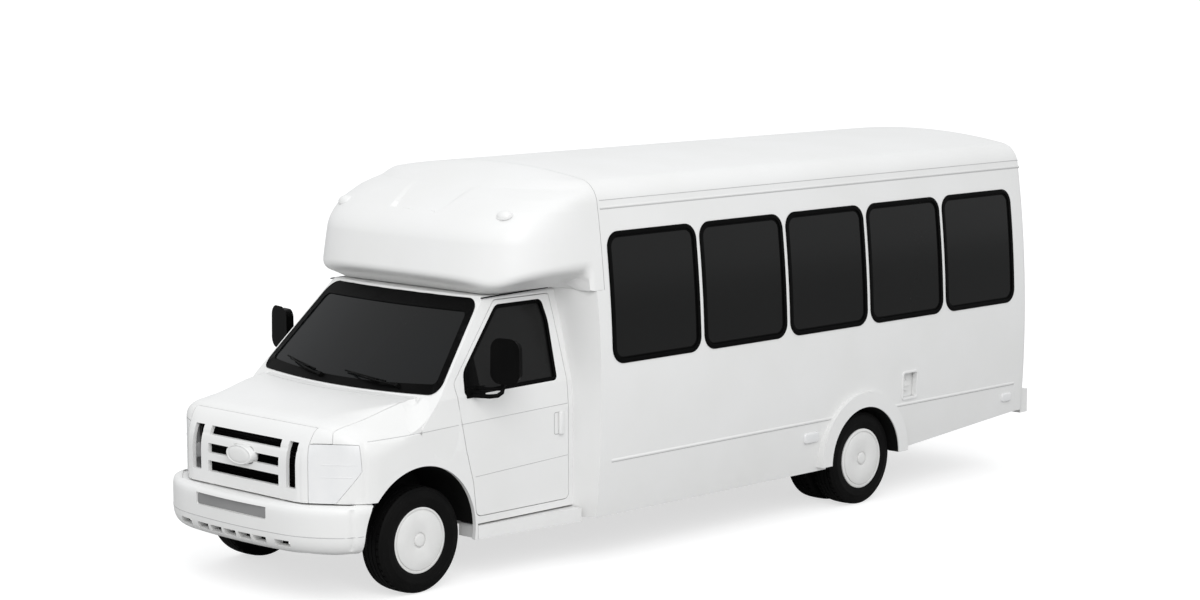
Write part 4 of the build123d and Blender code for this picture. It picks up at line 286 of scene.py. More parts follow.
@dataclass(frozen=True)
class Finish:
    """A procedural finish and the record's slot that it mostly fills. Colours are linear."""

    name: str
    slot: Slot
    colour: Colour
    shade: Colour
    roughness: float = 0.5
    rough_spread: float = 0.06
    metallic: float = 0.0
    coat: float = 0.0
    coat_roughness: float = 0.2
    specular: float = 0.5
    sheen: float = 0.0
    drift_scale: float = 1.7
    texture: Effect = Effect.GRAIN
    texture_scale: float = 420.0
    texture_depth: float = 0.0004
    film: float = 0.0
    film_reach: float = 0.9
    film_colour: Colour = (0.46, 0.43, 0.39)
    thread_gain: float = 1.9
    ior: float = 1.5

    def material(self) -> bpy.types.Material:
        """The material, built the first time it is asked for."""
        if self.name in bpy.data.materials:
            return bpy.data.materials[self.name]
        made = bpy.data.materials.new(self.name)
        made.use_nodes = True
        tree = made.node_tree
        link = tree.links.new

        def group(effect: Effect, **values: float) -> bpy.types.Node:
            """Places a shared effect with this finish's own values."""
            return add_node(tree, "Group", values, node_tree=Effects.get(effect))

        def blend(mask: bpy.types.NodeSocket, first: Union[Colour, bpy.types.NodeSocket],
                  second: Colour) -> bpy.types.NodeSocket:
            """Mixes two colours by a mask.

            Args:
                mask: The mask, which is 1 where the second colour shows.
                first: A colour, or what an earlier mix gives.
                second: The second colour.

            Returns:
                The mixed colour.
            """
            mix = add_node(tree, "Mix", {7: (*second, 1)}, data_type="RGBA")
            link(mask, mix.inputs[0])
            if isinstance(first, bpy.types.NodeSocket):
                link(first, mix.inputs[6])
            else:
                mix.inputs[6].default_value = (*first, 1)
            return mix.outputs[2]

        drift = group(Effect.DRIFT, Scale=self.drift_scale, Contrast=1.0)
        colour = blend(drift.outputs["Mask"], self.colour, self.shade)
        fine = group(self.texture, Scale=self.texture_scale)
        if self.texture is Effect.WEAVE:
            thread = tuple(value * self.thread_gain for value in self.colour)
            colour = blend(fine.outputs["Mask"], colour, thread)
        if self.film:
            film = group(Effect.FILM, Reach=self.film_reach, Amount=self.film)
            colour = blend(film.outputs["Mask"], colour, self.film_colour)
        rough = add_node(tree, "MapRange", {"To Min": self.roughness - self.rough_spread,
                                            "To Max": self.roughness + self.rough_spread})
        bump = add_node(tree, "Bump", {"Distance": self.texture_depth})
        shader = tree.nodes["Principled BSDF"].inputs
        link(colour, shader["Base Color"])
        link(fine.outputs["Mask"], rough.inputs["Value"])
        link(rough.outputs["Result"], shader["Roughness"])
        link(fine.outputs["Height"], bump.inputs["Height"])
        link(bump.outputs["Normal"], shader["Normal"])
        for label, value in (("Metallic", self.metallic), ("Coat Weight", self.coat),
                             ("Coat Roughness", self.coat_roughness), ("IOR", self.ior),
                             ("Specular IOR Level", self.specular), ("Sheen Weight", self.sheen)):
            shader[label].default_value = value
        return made


PAINT = Finish("satin_white_paint", Slot.PAINT, (0.80, 0.80, 0.795), (0.775, 0.775, 0.765),
               roughness=0.42, coat=0.12, coat_roughness=0.3, specular=0.35, film=0.10,
               texture_depth=0.00012)
COVER = Finish("wheel_cover_paint", Slot.WHEEL, (0.79, 0.79, 0.78), (0.75, 0.75, 0.74),
               roughness=0.4, coat=0.1, specular=0.4, film=0.16, drift_scale=9.0,
               texture_depth=0.0002)
LENS = Finish("satin_lamp_lens", Slot.LENS, (0.80, 0.80, 0.80), (0.76, 0.765, 0.77), roughness=0.26,
              coat=0.4, coat_roughness=0.08, drift_scale=6.0, film=0.05, texture_scale=900.0,
              texture_depth=0.00006)
RED_LENS = Finish("red_lamp_lens", Slot.LENS, (0.30, 0.012, 0.010), (0.24, 0.008, 0.008),
                  roughness=0.2, coat=0.6, coat_roughness=0.05, drift_scale=9.0, texture_scale=90.0,
                  texture_depth=0.0006)
GLASS = Finish("dark_window_glass", Slot.GLASS, (0.0085, 0.0086, 0.0085), (0.0075, 0.0076, 0.0075),
               roughness=0.16, specular=0.14, rough_spread=0.02, drift_scale=0.9,
               texture_scale=35.0, texture_depth=0.00002)
SCREEN = Finish("windscreen_glass", Slot.GLASS, (0.0085, 0.0095, 0.0105), (0.0075, 0.0075, 0.0072),
                roughness=0.10, specular=0.13, rough_spread=0.02, drift_scale=0.7,
                texture_scale=30.0, texture_depth=0.00002)
RUBBER_TRIM = Finish("black_seal_rubber", Slot.TRIM, (0.0012, 0.0012, 0.0012),
                     (0.002, 0.002, 0.002), roughness=0.35, specular=0.035, drift_scale=5.0,
                     texture_scale=700.0, texture_depth=0.00015)
PLASTIC = Finish("moulded_black_plastic", Slot.TRIM, (0.0015, 0.0015, 0.0015),
                 (0.0025, 0.0025, 0.0025), roughness=0.45, specular=0.045, drift_scale=4.0,
                 texture_scale=1100.0, texture_depth=0.00005)
TYRE = Finish("black_tyre_rubber", Slot.RUBBER, (0.0025, 0.0025, 0.0025), (0.0042, 0.0041, 0.004),
              roughness=0.62, specular=0.08, drift_scale=6.0, texture_scale=520.0,
              texture_depth=0.00008, film=0.02, film_reach=0.8, film_colour=(0.03, 0.028, 0.026))
UNDERSIDE = Finish("underbody_black", Slot.CHASSIS, (0.003, 0.003, 0.003), (0.006, 0.0058, 0.0055),
                   roughness=0.6, specular=0.15, drift_scale=3.0, texture_scale=240.0,
                   texture_depth=0.0008)
IRON = Finish("cast_iron", Slot.IRON, (0.10, 0.10, 0.098), (0.06, 0.058, 0.055), roughness=0.55,
              metallic=0.7, drift_scale=8.0, texture_scale=180.0, texture_depth=0.0012)
STEEL = Finish("worn_exhaust_steel", Slot.STEEL, (0.35, 0.33, 0.30), (0.20, 0.16, 0.12),
               roughness=0.42, metallic=0.95, drift_scale=7.0, texture_scale=300.0,
               texture_depth=0.0005)
MIRROR = Finish("mirror_face", Slot.GLASS, (0.80, 0.82, 0.84), (0.78, 0.80, 0.82), roughness=0.04,
                rough_spread=0.01, metallic=1.0, drift_scale=3.0, texture_scale=20.0,
                texture_depth=0.00001)
FLOOR = Finish("speckled_floor_vinyl", Slot.FLOOR, (0.12, 0.12, 0.125), (0.20, 0.20, 0.205),
               roughness=0.55, drift_scale=120.0, texture_scale=350.0, texture_depth=0.0006)
FABRIC = Finish("woven_seat_cloth", Slot.FABRIC, (0.035, 0.045, 0.070), (0.025, 0.030, 0.045),
                roughness=0.85, sheen=0.35, specular=0.2, drift_scale=6.0, texture=Effect.WEAVE,
                texture_scale=170.0, texture_depth=0.0008)
DASH = Finish("grained_dash_plastic", Slot.TRIM, (0.055, 0.055, 0.056), (0.045, 0.045, 0.046),
              roughness=0.6, specular=0.3, drift_scale=3.0, texture_scale=600.0,
              texture_depth=0.0006)
# Grey for thin rods and rings that paint the shade of creases, the hollow under a bead and a
# handle's cup: painted shade, not a paint colour.
SHADOW = Finish("painted_shade_line", Slot.PAINT, (0.52, 0.52, 0.52), (0.48, 0.48, 0.48),
                roughness=0.5, specular=0.2, drift_scale=2.0, texture_depth=0.0001)
# Grey that paints the shade inside the bumper's shallow recess.
RECESS_SHADE = Finish("painted_recess_shade", Slot.TRIM, (0.23, 0.23, 0.23), (0.27, 0.27, 0.27),
                roughness=0.5, specular=0.3, drift_scale=3.0, texture_scale=500.0,
                texture_depth=0.0003)


# ---- Shaping -------------------------------------------------------------------------------------


def verts_of(geom: Iterable[object]) -> list[BMVert]:
    """The vertices among mesh elements."""
    return [element for element in geom if isinstance(element, BMVert)]


class Shaper:
    """A mesh being shaped with mesh operators, until it is made a piece."""

    merge: float = 1e-5
    plane_merge: float = 1e-6
    flat_degrees: float = 0.6

    def __init__(self) -> None:
        """Starts an empty mesh."""
        self.bm: BMesh = bmesh.new()

    @classmethod
    def copy_of(cls, node: str) -> "Shaper":
        """A merged copy of a CAD node, whose flat neighbours are joined into one face.

        Args:
            node: The node's name.

        Returns:
            The copy, ready to shape.
        """
        made = cls()
        made.bm.from_mesh(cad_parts[node].data)
        bmesh.ops.remove_doubles(made.bm, verts=made.bm.verts, dist=cls.merge)
        bmesh.ops.dissolve_degenerate(made.bm, dist=cls.plane_merge, edges=made.bm.edges)
        bmesh.ops.dissolve_limit(made.bm, angle_limit=math.radians(cls.flat_degrees),
                                 verts=made.bm.verts, edges=made.bm.edges)
        return made

    @property
    def geom(self) -> list:
        """Every vertex, edge and face."""
        return [*self.bm.verts, *self.bm.edges, *self.bm.faces]

    def _bevel(self, geom: Sequence[object], width: float, segments: int,
               affect: str = "EDGES") -> None:
        """Rounds edges, or the corners at vertices.

        Args:
            geom: The edges or vertices.
            width: How far the rounding reaches.
            segments: Its segments.
            affect: EDGES or VERTICES.
        """
        bmesh.ops.bevel(self.bm, geom=geom, offset=width, offset_type="OFFSET", segments=segments,
                        profile=0.5, affect=affect, material=-1, clamp_overlap=True)

    def plate(self, points: Sequence[Point3], radius: float = 0.0, segments: int = 8) -> BMFace:
        """A flat face from its corners, which are rounded.

        Args:
            points: The corners in order.
            radius: Radius of every corner.
            segments: Segments in each rounded corner.

        Returns:
            The face.
        """
        before = set(self.bm.faces)
        corners = [self.bm.verts.new(point) for point in points]
        self.bm.faces.new(corners)
        if radius:
            self._bevel(corners, radius, segments, "VERTICES")
        return next(face for face in self.bm.faces if face not in before)

    def extrude(self, faces: Iterable[BMFace], by: Point3) -> None:
        """Extrudes faces as one region into a solid.

        Args:
            faces: The faces, which stay as the back of the solid.
            by: How far the new ones move.
        """
        faces = list(faces)
        bmesh.ops.duplicate(self.bm, geom=faces)
        made = bmesh.ops.extrude_face_region(self.bm, geom=faces)["geom"]
        bmesh.ops.delete(self.bm, geom=faces, context="FACES_ONLY")
        bmesh.ops.translate(self.bm, verts=verts_of(made), vec=by)
        bmesh.ops.remove_doubles(self.bm, verts=self.bm.verts, dist=self.plane_merge)

    def ring(self, points: Sequence[Point3], radius: float, width: float, by: Point3) -> None:
        """A solid frame inside an outline.

        Args:
            points: The outline's corners.
            radius: Radius of its corners.
            width: How wide the frame is.
            by: How far it is extruded.
        """
        face = self.plate(points, radius)
        border = bmesh.ops.inset_region(self.bm, faces=[face], thickness=width, use_boundary=True,
                                        use_even_offset=True)["faces"]
        bmesh.ops.delete(self.bm, geom=[face], context="FACES")
        self.extrude(border, by)

    def slab(self, points: Sequence[Point3], radius: float, by: Point3, segments: int = 8) -> None:
        """A solid plate: an outline with rounded corners, extruded.

        Args:
            points: The outline's corners.
            radius: Radius of the corners.
            by: How far it is extruded.
            segments: Segments in each corner.
        """
        self.extrude([self.plate(points, radius, segments)], by)

    def cuts(self, axis: int, stations: Iterable[float]) -> None:
        """Cuts loops through the whole mesh, across an axis at several stations.

        Args:
            axis: 0 for X, 1 for Y or 2 for Z.
            stations: Where the loops are along it.
        """
        for station in stations:
            point, normal = [0.0, 0.0, 0.0], [0.0, 0.0, 0.0]
            point[axis], normal[axis] = station, 1.0
            bmesh.ops.bisect_plane(self.bm, geom=self.geom, dist=self.plane_merge, plane_co=point,
                                   plane_no=normal)

    def trim(self, point: Point3, normal: Point3) -> None:
        """Cuts off what is on the side of a plane that its normal points to."""
        bmesh.ops.bisect_plane(self.bm, geom=self.geom, dist=self.plane_merge, plane_co=point,
                               plane_no=normal, clear_outer=True)

    def cap_holes(self) -> None:
        """Closes every open boundary with a face."""
        bmesh.ops.holes_fill(self.bm, edges=[edge for edge in self.bm.edges if edge.is_boundary])

    def remove(self, where: Callable[[Vector], bool]) -> None:
        """Deletes the faces whose middles satisfy a test."""
        gone = [face for face in self.bm.faces if where(face.calc_center_median())]
        bmesh.ops.delete(self.bm, geom=gone, context="FACES")

    def warp(self, move: Callable[[Vector], Point3]) -> None:
        """Moves every vertex to where a function sends it."""
        for vert in self.bm.verts:
            vert.co = move(vert.co)

    def grow(self, by: float) -> None:
        """Moves every face outwards by a distance.

        Args:
            by: The distance.
        """
        self.bm.normal_update()
        shifts = [(v, v.normal * (by * min(v.calc_shell_factor(), 2.0))) for v in self.bm.verts]
        for vert, shift in shifts:
            vert.co += shift

    def sharp_edges(self, angle: float = 30.0) -> list[BMEdge]:
        """Edges whose two faces meet at more than an angle in degrees.

        Args:
            angle: The angle.

        Returns:
            The edges.
        """
        self.bm.normal_update()
        limit = math.radians(angle)
        return [e for e in self.bm.edges if len(e.link_faces) == 2 and e.calc_face_angle() > limit]

    def soften(self, width: float, segments: int = 2, angle: float = 30.0,
               where: Optional[Callable[[Vector], bool]] = None) -> None:
        """Rounds the sharp edges.

        Args:
            width: How far the rounding reaches from each edge.
            segments: Its segments.
            angle: Degrees above which an edge is sharp.
            where: A test of an edge's middle; every sharp edge if it is left out.
        """
        edges = self.sharp_edges(angle)
        if where:
            edges = [e for e in edges if where((e.verts[0].co + e.verts[1].co) / 2)]
        self._bevel(edges, width, segments)

    def spin(self, profile: Sequence[Point2], centre: Point3, steps: int,
             closed: bool = True) -> None:
        """Turns a profile once round an axis along X.

        Args:
            profile: Points as (along the axis, radius).
            centre: A point on the axis, from which the profile is measured.
            steps: Steps of the turn.
            closed: Whether the profile's ends are joined.
        """
        x, y, z = centre
        verts = [self.bm.verts.new((x + along, y, z + radius)) for along, radius in profile]
        pairs = list(zip(verts, verts[1:])) + ([(verts[-1], verts[0])] if closed else [])
        edges = [self.bm.edges.new(pair) for pair in pairs]
        bmesh.ops.spin(self.bm, geom=verts + edges, cent=centre, axis=ACROSS, dvec=(0, 0, 0),
                       angle=math.tau, steps=steps, use_merge=True, use_duplicate=False)
        bmesh.ops.remove_doubles(self.bm, verts=self.bm.verts, dist=self.merge)

    def rod(self, path: Sequence[Point3], radius: float, sides: int = 12,
            flatten: float = 1.0) -> None:
        """A round rod along a path, closed at both ends.

        Args:
            path: The points of its middle line.
            radius: Its radius.
            sides: Sides of its section.
            flatten: Height of the section as a share of its width.
        """
        points = [Vector(p) for p in path]
        steps = [(b - a).normalized() for a, b in zip(points, points[1:])]
        heads = [steps[0]] + [(a + b).normalized() for a, b in zip(steps, steps[1:])] + [steps[-1]]
        ring: list[BMEdge] = []
        before = Matrix.Identity(4)
        for point, head in zip(points, heads):
            place = Matrix.Translation(point) @ head.to_track_quat("Z", "Y").to_matrix().to_4x4()
            if not ring:
                shape = place @ Matrix.Diagonal((1, flatten, 1, 1))
                made = bmesh.ops.create_circle(self.bm, cap_ends=True, radius=radius,
                                               segments=sides, matrix=shape)
                ring = list({e for v in made["verts"] for e in v.link_edges})
            else:
                made = bmesh.ops.extrude_edge_only(self.bm, edges=ring)["geom"]
                ring = [g for g in made if isinstance(g, BMEdge)]
                bmesh.ops.transform(self.bm, matrix=place @ before.inverted(), verts=verts_of(made))
            before = place
        bmesh.ops.contextual_create(self.bm, geom=ring)

    def box(self, low: Point3, high: Point3, radius: float, segments: int = 2) -> None:
        """A block between two corners with its edges rounded.

        Args:
            low: The corner with the least coordinates.
            high: The corner with the greatest.
            radius: Radius of the edges.
            segments: Segments of the rounding.
        """
        size = [b - a for a, b in zip(low, high)]
        middle = [(a + b) / 2 for a, b in zip(low, high)]
        place = Matrix.Translation(middle) @ Matrix.Diagonal((*size, 1))
        made = bmesh.ops.create_cube(self.bm, size=1.0, matrix=place)
        self._bevel(list({e for v in made["verts"] for e in v.link_edges}), radius, segments)

    def _flip(self) -> None:
        """Moves the mesh to the vehicle's right side."""
        bmesh.ops.scale(self.bm, vec=(-1, 1, 1), verts=self.bm.verts)
        bmesh.ops.reverse_faces(self.bm, faces=self.bm.faces)

    def put(self, name: str) -> bpy.types.Object:
        """Ends the shaping and puts the mesh into the scene.

        Args:
            name: The object's name.

        Returns:
            The object.
        """
        if not self.bm.faces:
            raise ValueError(f"{name} has no faces")
        mesh = bpy.data.meshes.new(name)
        self.bm.to_mesh(mesh)
        self.bm.free()
        made = bpy.data.objects.new(name, mesh)
        bpy.context.scene.collection.objects.link(made)
        return made

    def piece(self, name: str, finish: Finish, body: Body = Body.VEHICLE, *,
              slot: Optional[Slot] = None, sign: int = 1, replaces: Sequence[str] = (),
              crease: float = 35.0, outwards: bool = True) -> bpy.types.Object:
        """Makes the mesh a piece of the vehicle.

        Args:
            name: The piece's name.
            finish: Its finish.
            body: The body it rides on.
            slot: The record's slot that it would fill; not used.
            sign: 1 if it stays as shaped, -1 if it moves to the other side.
            replaces: The CAD nodes it stands for.
            crease: Degrees above which an edge stays sharp to the eye.
            outwards: Whether its faces are turned outwards.

        Returns:
            The object.
        """
        if sign < 0:
            self._flip()
        if outwards:
            bmesh.ops.recalc_face_normals(self.bm, faces=self.bm.faces)
        for face in self.bm.faces:
            face.smooth = True
        for edge in self.sharp_edges(crease):
            edge.smooth = False
        made = self.put(name)
        made.data.materials.append(finish.material())
        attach(made, body.value)
        if replaces:
            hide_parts(*replaces)
        log.info("%s: %d faces on %s, %s", name, len(made.data.polygons), body.value, finish.name)
        return made


def carry(node: str, finish: Finish, body: Body = Body.VEHICLE, *, slot: Optional[Slot] = None,
          grow: float = 0.0, shape: Optional[Callable[[Shaper], None]] = None) -> None:
    """Carries a CAD node over as a merged copy in its finish, named after it with _skin at the end.

    Args:
        node: The node.
        finish: Its finish.
        body: The body it belongs to.
        slot: The record's slot, handed on to the piece.
        grow: How far its faces move out, which narrows the seams between panels.
        shape: Further shaping of the copy.
    """
    copy = Shaper.copy_of(node)
    if shape:
        shape(copy)
    if grow:
        copy.grow(grow)
    copy.piece(f"{node}_skin", finish, body, slot=slot, replaces=(node,), outwards=False)


# ---- Rounded forms of the nose and bumper -------------------------------------------------------


def rounded_max(first: np.ndarray, second: np.ndarray, reach: Floats) -> np.ndarray:
    """The larger of two distances, with the corner where they cross rounded off over reach."""
    near = np.maximum(reach - np.abs(first - second), 0.0) / np.maximum(reach, 1e-9)
    return np.maximum(first, second) + near * near * reach * 0.25


def rounded_min(first: np.ndarray, second: np.ndarray, reach: Floats) -> np.ndarray:
    """The smaller of two distances, with the corner where they cross filled over reach."""
    return -rounded_max(-first, -second, reach)


def beyond_line(across: np.ndarray, up: np.ndarray, start: Point2, end: Point2) -> np.ndarray:
    """How far points lie beyond the line from start to end, on its right-hand side."""
    run, rise = end[0] - start[0], end[1] - start[1]
    return ((across - start[0]) * rise - (up - start[1]) * run) / math.hypot(run, rise)


def beyond_plane(across: np.ndarray, up: np.ndarray, normal: Point2, point: Point2) -> np.ndarray:
    """How far points lie beyond a plane, along its normal."""
    return normal[0] * (across - point[0]) + normal[1] * (up - point[1])


class Form:
    """A solid bounded by a few faces, whose edges are rounded. Subclasses say what bounds it."""

    grid: float = 0.028
    skin_depth: float = 0.11
    air: float = 0.05
    rounds: int = 4
    probe: float = 0.001

    def outside(self, p: np.ndarray, rounding: float) -> np.ndarray:
        """How far points are outside, with the edges rounded fully at 1 and not at all at 0.

        Args:
            p: Points, one a row, on the left side.
            rounding: How much of the rounding there is.

        Returns:
            The distances, negative inside.
        """
        raise NotImplementedError

    def refine(self, shaper: Shaper, low: Point3, high: Point3) -> None:
        """Cuts a grid of edges into a mesh, between two corners.

        Args:
            shaper: The mesh.
            low: The grid's lowest corner.
            high: Its highest corner.
        """
        for axis in range(3):
            steps = max(2, round((high[axis] - low[axis]) / self.grid))
            shaper.cuts(axis, stretch(low[axis], high[axis], steps))

    def settle(self, shaper: Shaper) -> None:
        """Moves a mesh that was made to the sharp faces onto the rounded ones, keeping its wall.

        Args:
            shaper: The mesh. Points deeper than skin_depth, or further out than air, stay.
        """
        verts = list(shaper.bm.verts)
        p = np.array([v.co for v in verts])
        sign = np.where(p[:, 0] < 0, -1.0, 1.0)
        p[:, 0] = np.abs(p[:, 0])
        goal = self.outside(p, 0.0)
        start = p.copy()
        away = np.where(goal > 0, goal / self.air, -goal / self.skin_depth)
        fade = np.clip(1 - away, 0, 1)[:, None]
        steps = np.eye(3) * self.probe
        for _ in range(self.rounds):
            here = self.outside(p, 1.0)
            rises = [(self.outside(p + step, 1.0) - here) / self.probe for step in steps]
            slope = np.stack(rises, axis=1)
            slope /= np.maximum(np.linalg.norm(slope, axis=1)[:, None], 1e-6)
            p = p - slope * (here - goal)[:, None]
        p = start + (p - start) * fade
        p[:, 0] *= sign
        for vert, place in zip(verts, p):
            vert.co = place


@dataclass
class NoseForm(Form):
    """The hood, fenders, lamps and grille as one form. Distances back are from the front axle.

    The plan is its outline from above as (half width, back), and the profile is its top line as
    (back, height).
    """

    plan: tuple[Point2, ...] = ((0.600, -0.790), (0.800, -0.668), (0.975, -0.520), (1.000, -0.300),
                                (1.000, 0.620))
    plan_rounding: tuple[float, ...] = (0.03, 0.035, 0.10, 0.030)
    profile: tuple[Point2, ...] = ((-0.790, 1.060), (-0.668, 1.226), (-0.330, 1.292),
                                   (0.180, 1.350))
    profile_rounding: tuple[float, ...] = (0.07, 0.022)
    top_rounding: float = 0.075
    shoulder_rounding: float = 0.11
    shoulder_back: tuple[float, ...] = (-0.900, -0.050, 0.320)
    shoulder_low: tuple[float, ...] = (1.105, 1.128, 1.150)
    shoulder_top: tuple[float, ...] = (0.352, 0.675, 0.975)
    shoulder_high: float = 1.450
    half: float = 1.0
    fade_back: Point2 = (-0.46, -0.06)

    def outside(self, p: np.ndarray, rounding: float) -> np.ndarray:
        """How far points are outside the nose.

        Args:
            p: Points, one a row, on the left side.
            rounding: How much of the rounding there is.

        Returns:
            The distances, negative inside.
        """
        x, back, z = p[:, 0], p[:, 1] - FRONT_AXLE_Y, p[:, 2]
        sides = [beyond_line(x, back, a, b) for a, b in zip(self.plan, self.plan[1:])]
        body = self.plan[0][1] - back
        for side, reach in zip(sides, self.plan_rounding):
            body = rounded_max(body, side, reach * rounding)
        top = -beyond_line(back, z, self.profile[0], self.profile[1])
        for a, b, reach in zip(self.profile[1:], self.profile[2:], self.profile_rounding):
            top = rounded_max(top, -beyond_line(back, z, a, b), reach * rounding)
        low = np.interp(back, self.shoulder_back, self.shoulder_low)
        wide = self.half - np.interp(back, self.shoulder_back, self.shoulder_top)
        rise = self.shoulder_high - low
        shoulder = ((x - self.half) * rise + (z - low) * wide) / np.hypot(rise, wide)
        start, end = self.fade_back
        ease = np.clip((end - back) / (end - start), 0.0, 1.0)
        ease = rounding * (ease * ease * (3 - 2 * ease))
        both = rounded_max(body, top, self.top_rounding * ease)
        return rounded_max(both, shoulder, self.shoulder_rounding * ease)


@dataclass
class BumperForm(Form):
    """The front bumper: a bowed face, angled ends, a soft top and a face that turns under."""

    bow_radius: float = 4.436
    bow_back: float = 3.516
    side: tuple[Point2, Point2] = ((0.715, -0.862), (0.985, -0.640))
    half: float = 0.985
    low: float = 0.355
    top: float = 0.700
    end_rounding: float = 0.10
    top_rounding: float = 0.060
    foot_rounding: float = 0.13

    def outside(self, p: np.ndarray, rounding: float) -> np.ndarray:
        """How far points are outside the bumper.

        Args:
            p: Points, one a row, on the left side.
            rounding: How much of the rounding there is.

        Returns:
            The distances, negative inside.
        """
        x, back, z = p[:, 0], p[:, 1] - FRONT_AXLE_Y, p[:, 2]
        face = np.hypot(x, back - self.bow_back) - self.bow_radius
        face = rounded_max(face, beyond_line(x, back, *self.side), self.end_rounding * rounding)
        face = rounded_max(face, x - self.half, self.end_rounding * rounding)
        face = rounded_max(face, z - self.top, self.top_rounding * rounding)
        return rounded_max(face, self.low - z, self.foot_rounding * rounding)


# ---- Studio --------------------------------------------------------------------------------------


@dataclass
class Studio:
    """The floor, the light and the camera."""

    camera_at: Point3 = (14.726, -15.284, 4.462)
    azimuth: float = 44.33
    elevation: float = 7.48
    lens: float = 82.43
    sensor: float = 36.0
    floor_half: float = 450.0
    sky: float = 0.92
    sky_tint: Colour = (0.98, 0.99, 1.0)
    bounce: float = 0.5
    lift: float = 0.66
    softbox_at: Point3 = (13.0, -11.6, 11.9)
    softbox_aim: Point3 = (0.0, -1.0, 1.3)
    softbox_size: float = 11.0
    softbox_power: float = 1500.0

    def build(self) -> None:
        """Makes the floor, the light and the camera."""
        self._floor()
        self._sky()
        self._softbox()
        self._camera()

    def _floor(self) -> None:
        """A plain pale floor that looks brighter than the light it sends back."""
        shaper = Shaper()
        half = self.floor_half
        shaper.plate([(-half, -half, 0), (half, -half, 0), (half, half, 0), (-half, half, 0)])
        floor = shaper.put("studio_floor")
        made = bpy.data.materials.new("pale_floor")
        made.use_nodes = True
        tree = made.node_tree
        shader, path = tree.nodes["Principled BSDF"].inputs, add_node(tree, "LightPath")
        lit = add_node(tree, "Math", {1: self.lift}, operation="MULTIPLY")
        tree.links.new(path.outputs["Is Camera Ray"], lit.inputs[0])
        tree.links.new(lit.outputs[0], shader["Emission Strength"])
        shader["Base Color"].default_value = (self.bounce, self.bounce, self.bounce, 1)
        shader["Emission Color"].default_value = (1, 1, 1, 1)
        shader["Roughness"].default_value = 1.0
        shader["Specular IOR Level"].default_value = 0.0
        floor.data.materials.append(made)

    def _sky(self) -> None:
        """Even white light from all round."""
        world = bpy.data.worlds.new("studio_sky")
        world.use_nodes = True
        background = world.node_tree.nodes["Background"]
        background.inputs["Color"].default_value = (*self.sky_tint, 1)
        background.inputs["Strength"].default_value = self.sky
        bpy.context.scene.world = world
        bpy.context.scene.view_settings.view_transform = "Standard"

    def _place(self, name: str, data: bpy.types.ID, at: Point3, ahead: Vector) -> bpy.types.Object:
        """Puts a lamp or a camera into the scene, pointing ahead.

        Args:
            name: The object's name.
            data: The lamp or the camera.
            at: Its place.
            ahead: Where it points.

        Returns:
            The object.
        """
        made = bpy.data.objects.new(name, data)
        made.location = at
        made.rotation_euler = ahead.to_track_quat("-Z", "Y").to_euler()
        bpy.context.scene.collection.objects.link(made)
        return made

    def _softbox(self) -> None:
        """A square softbox that points at the cab."""
        data = bpy.data.lights.new("key_softbox", "AREA")
        data.size, data.energy = self.softbox_size, self.softbox_power
        ahead = Vector(self.softbox_aim) - Vector(self.softbox_at)
        self._place("key_softbox", data, self.softbox_at, ahead)

    def _camera(self) -> None:
        """A camera ahead of the left front corner."""
        data = bpy.data.cameras.new("camera")
        data.lens, data.sensor_width = self.lens, self.sensor
        data.clip_end = 4 * self.floor_half
        turn, dip = math.radians(self.azimuth), math.radians(self.elevation)
        level = math.cos(dip)
        ahead = Vector((-math.sin(turn) * level, math.cos(turn) * level, -math.sin(dip)))
        bpy.context.scene.camera = self._place("camera", data, self.camera_at, ahead)


# ---- Carried nodes -------------------------------------------------------------------------------


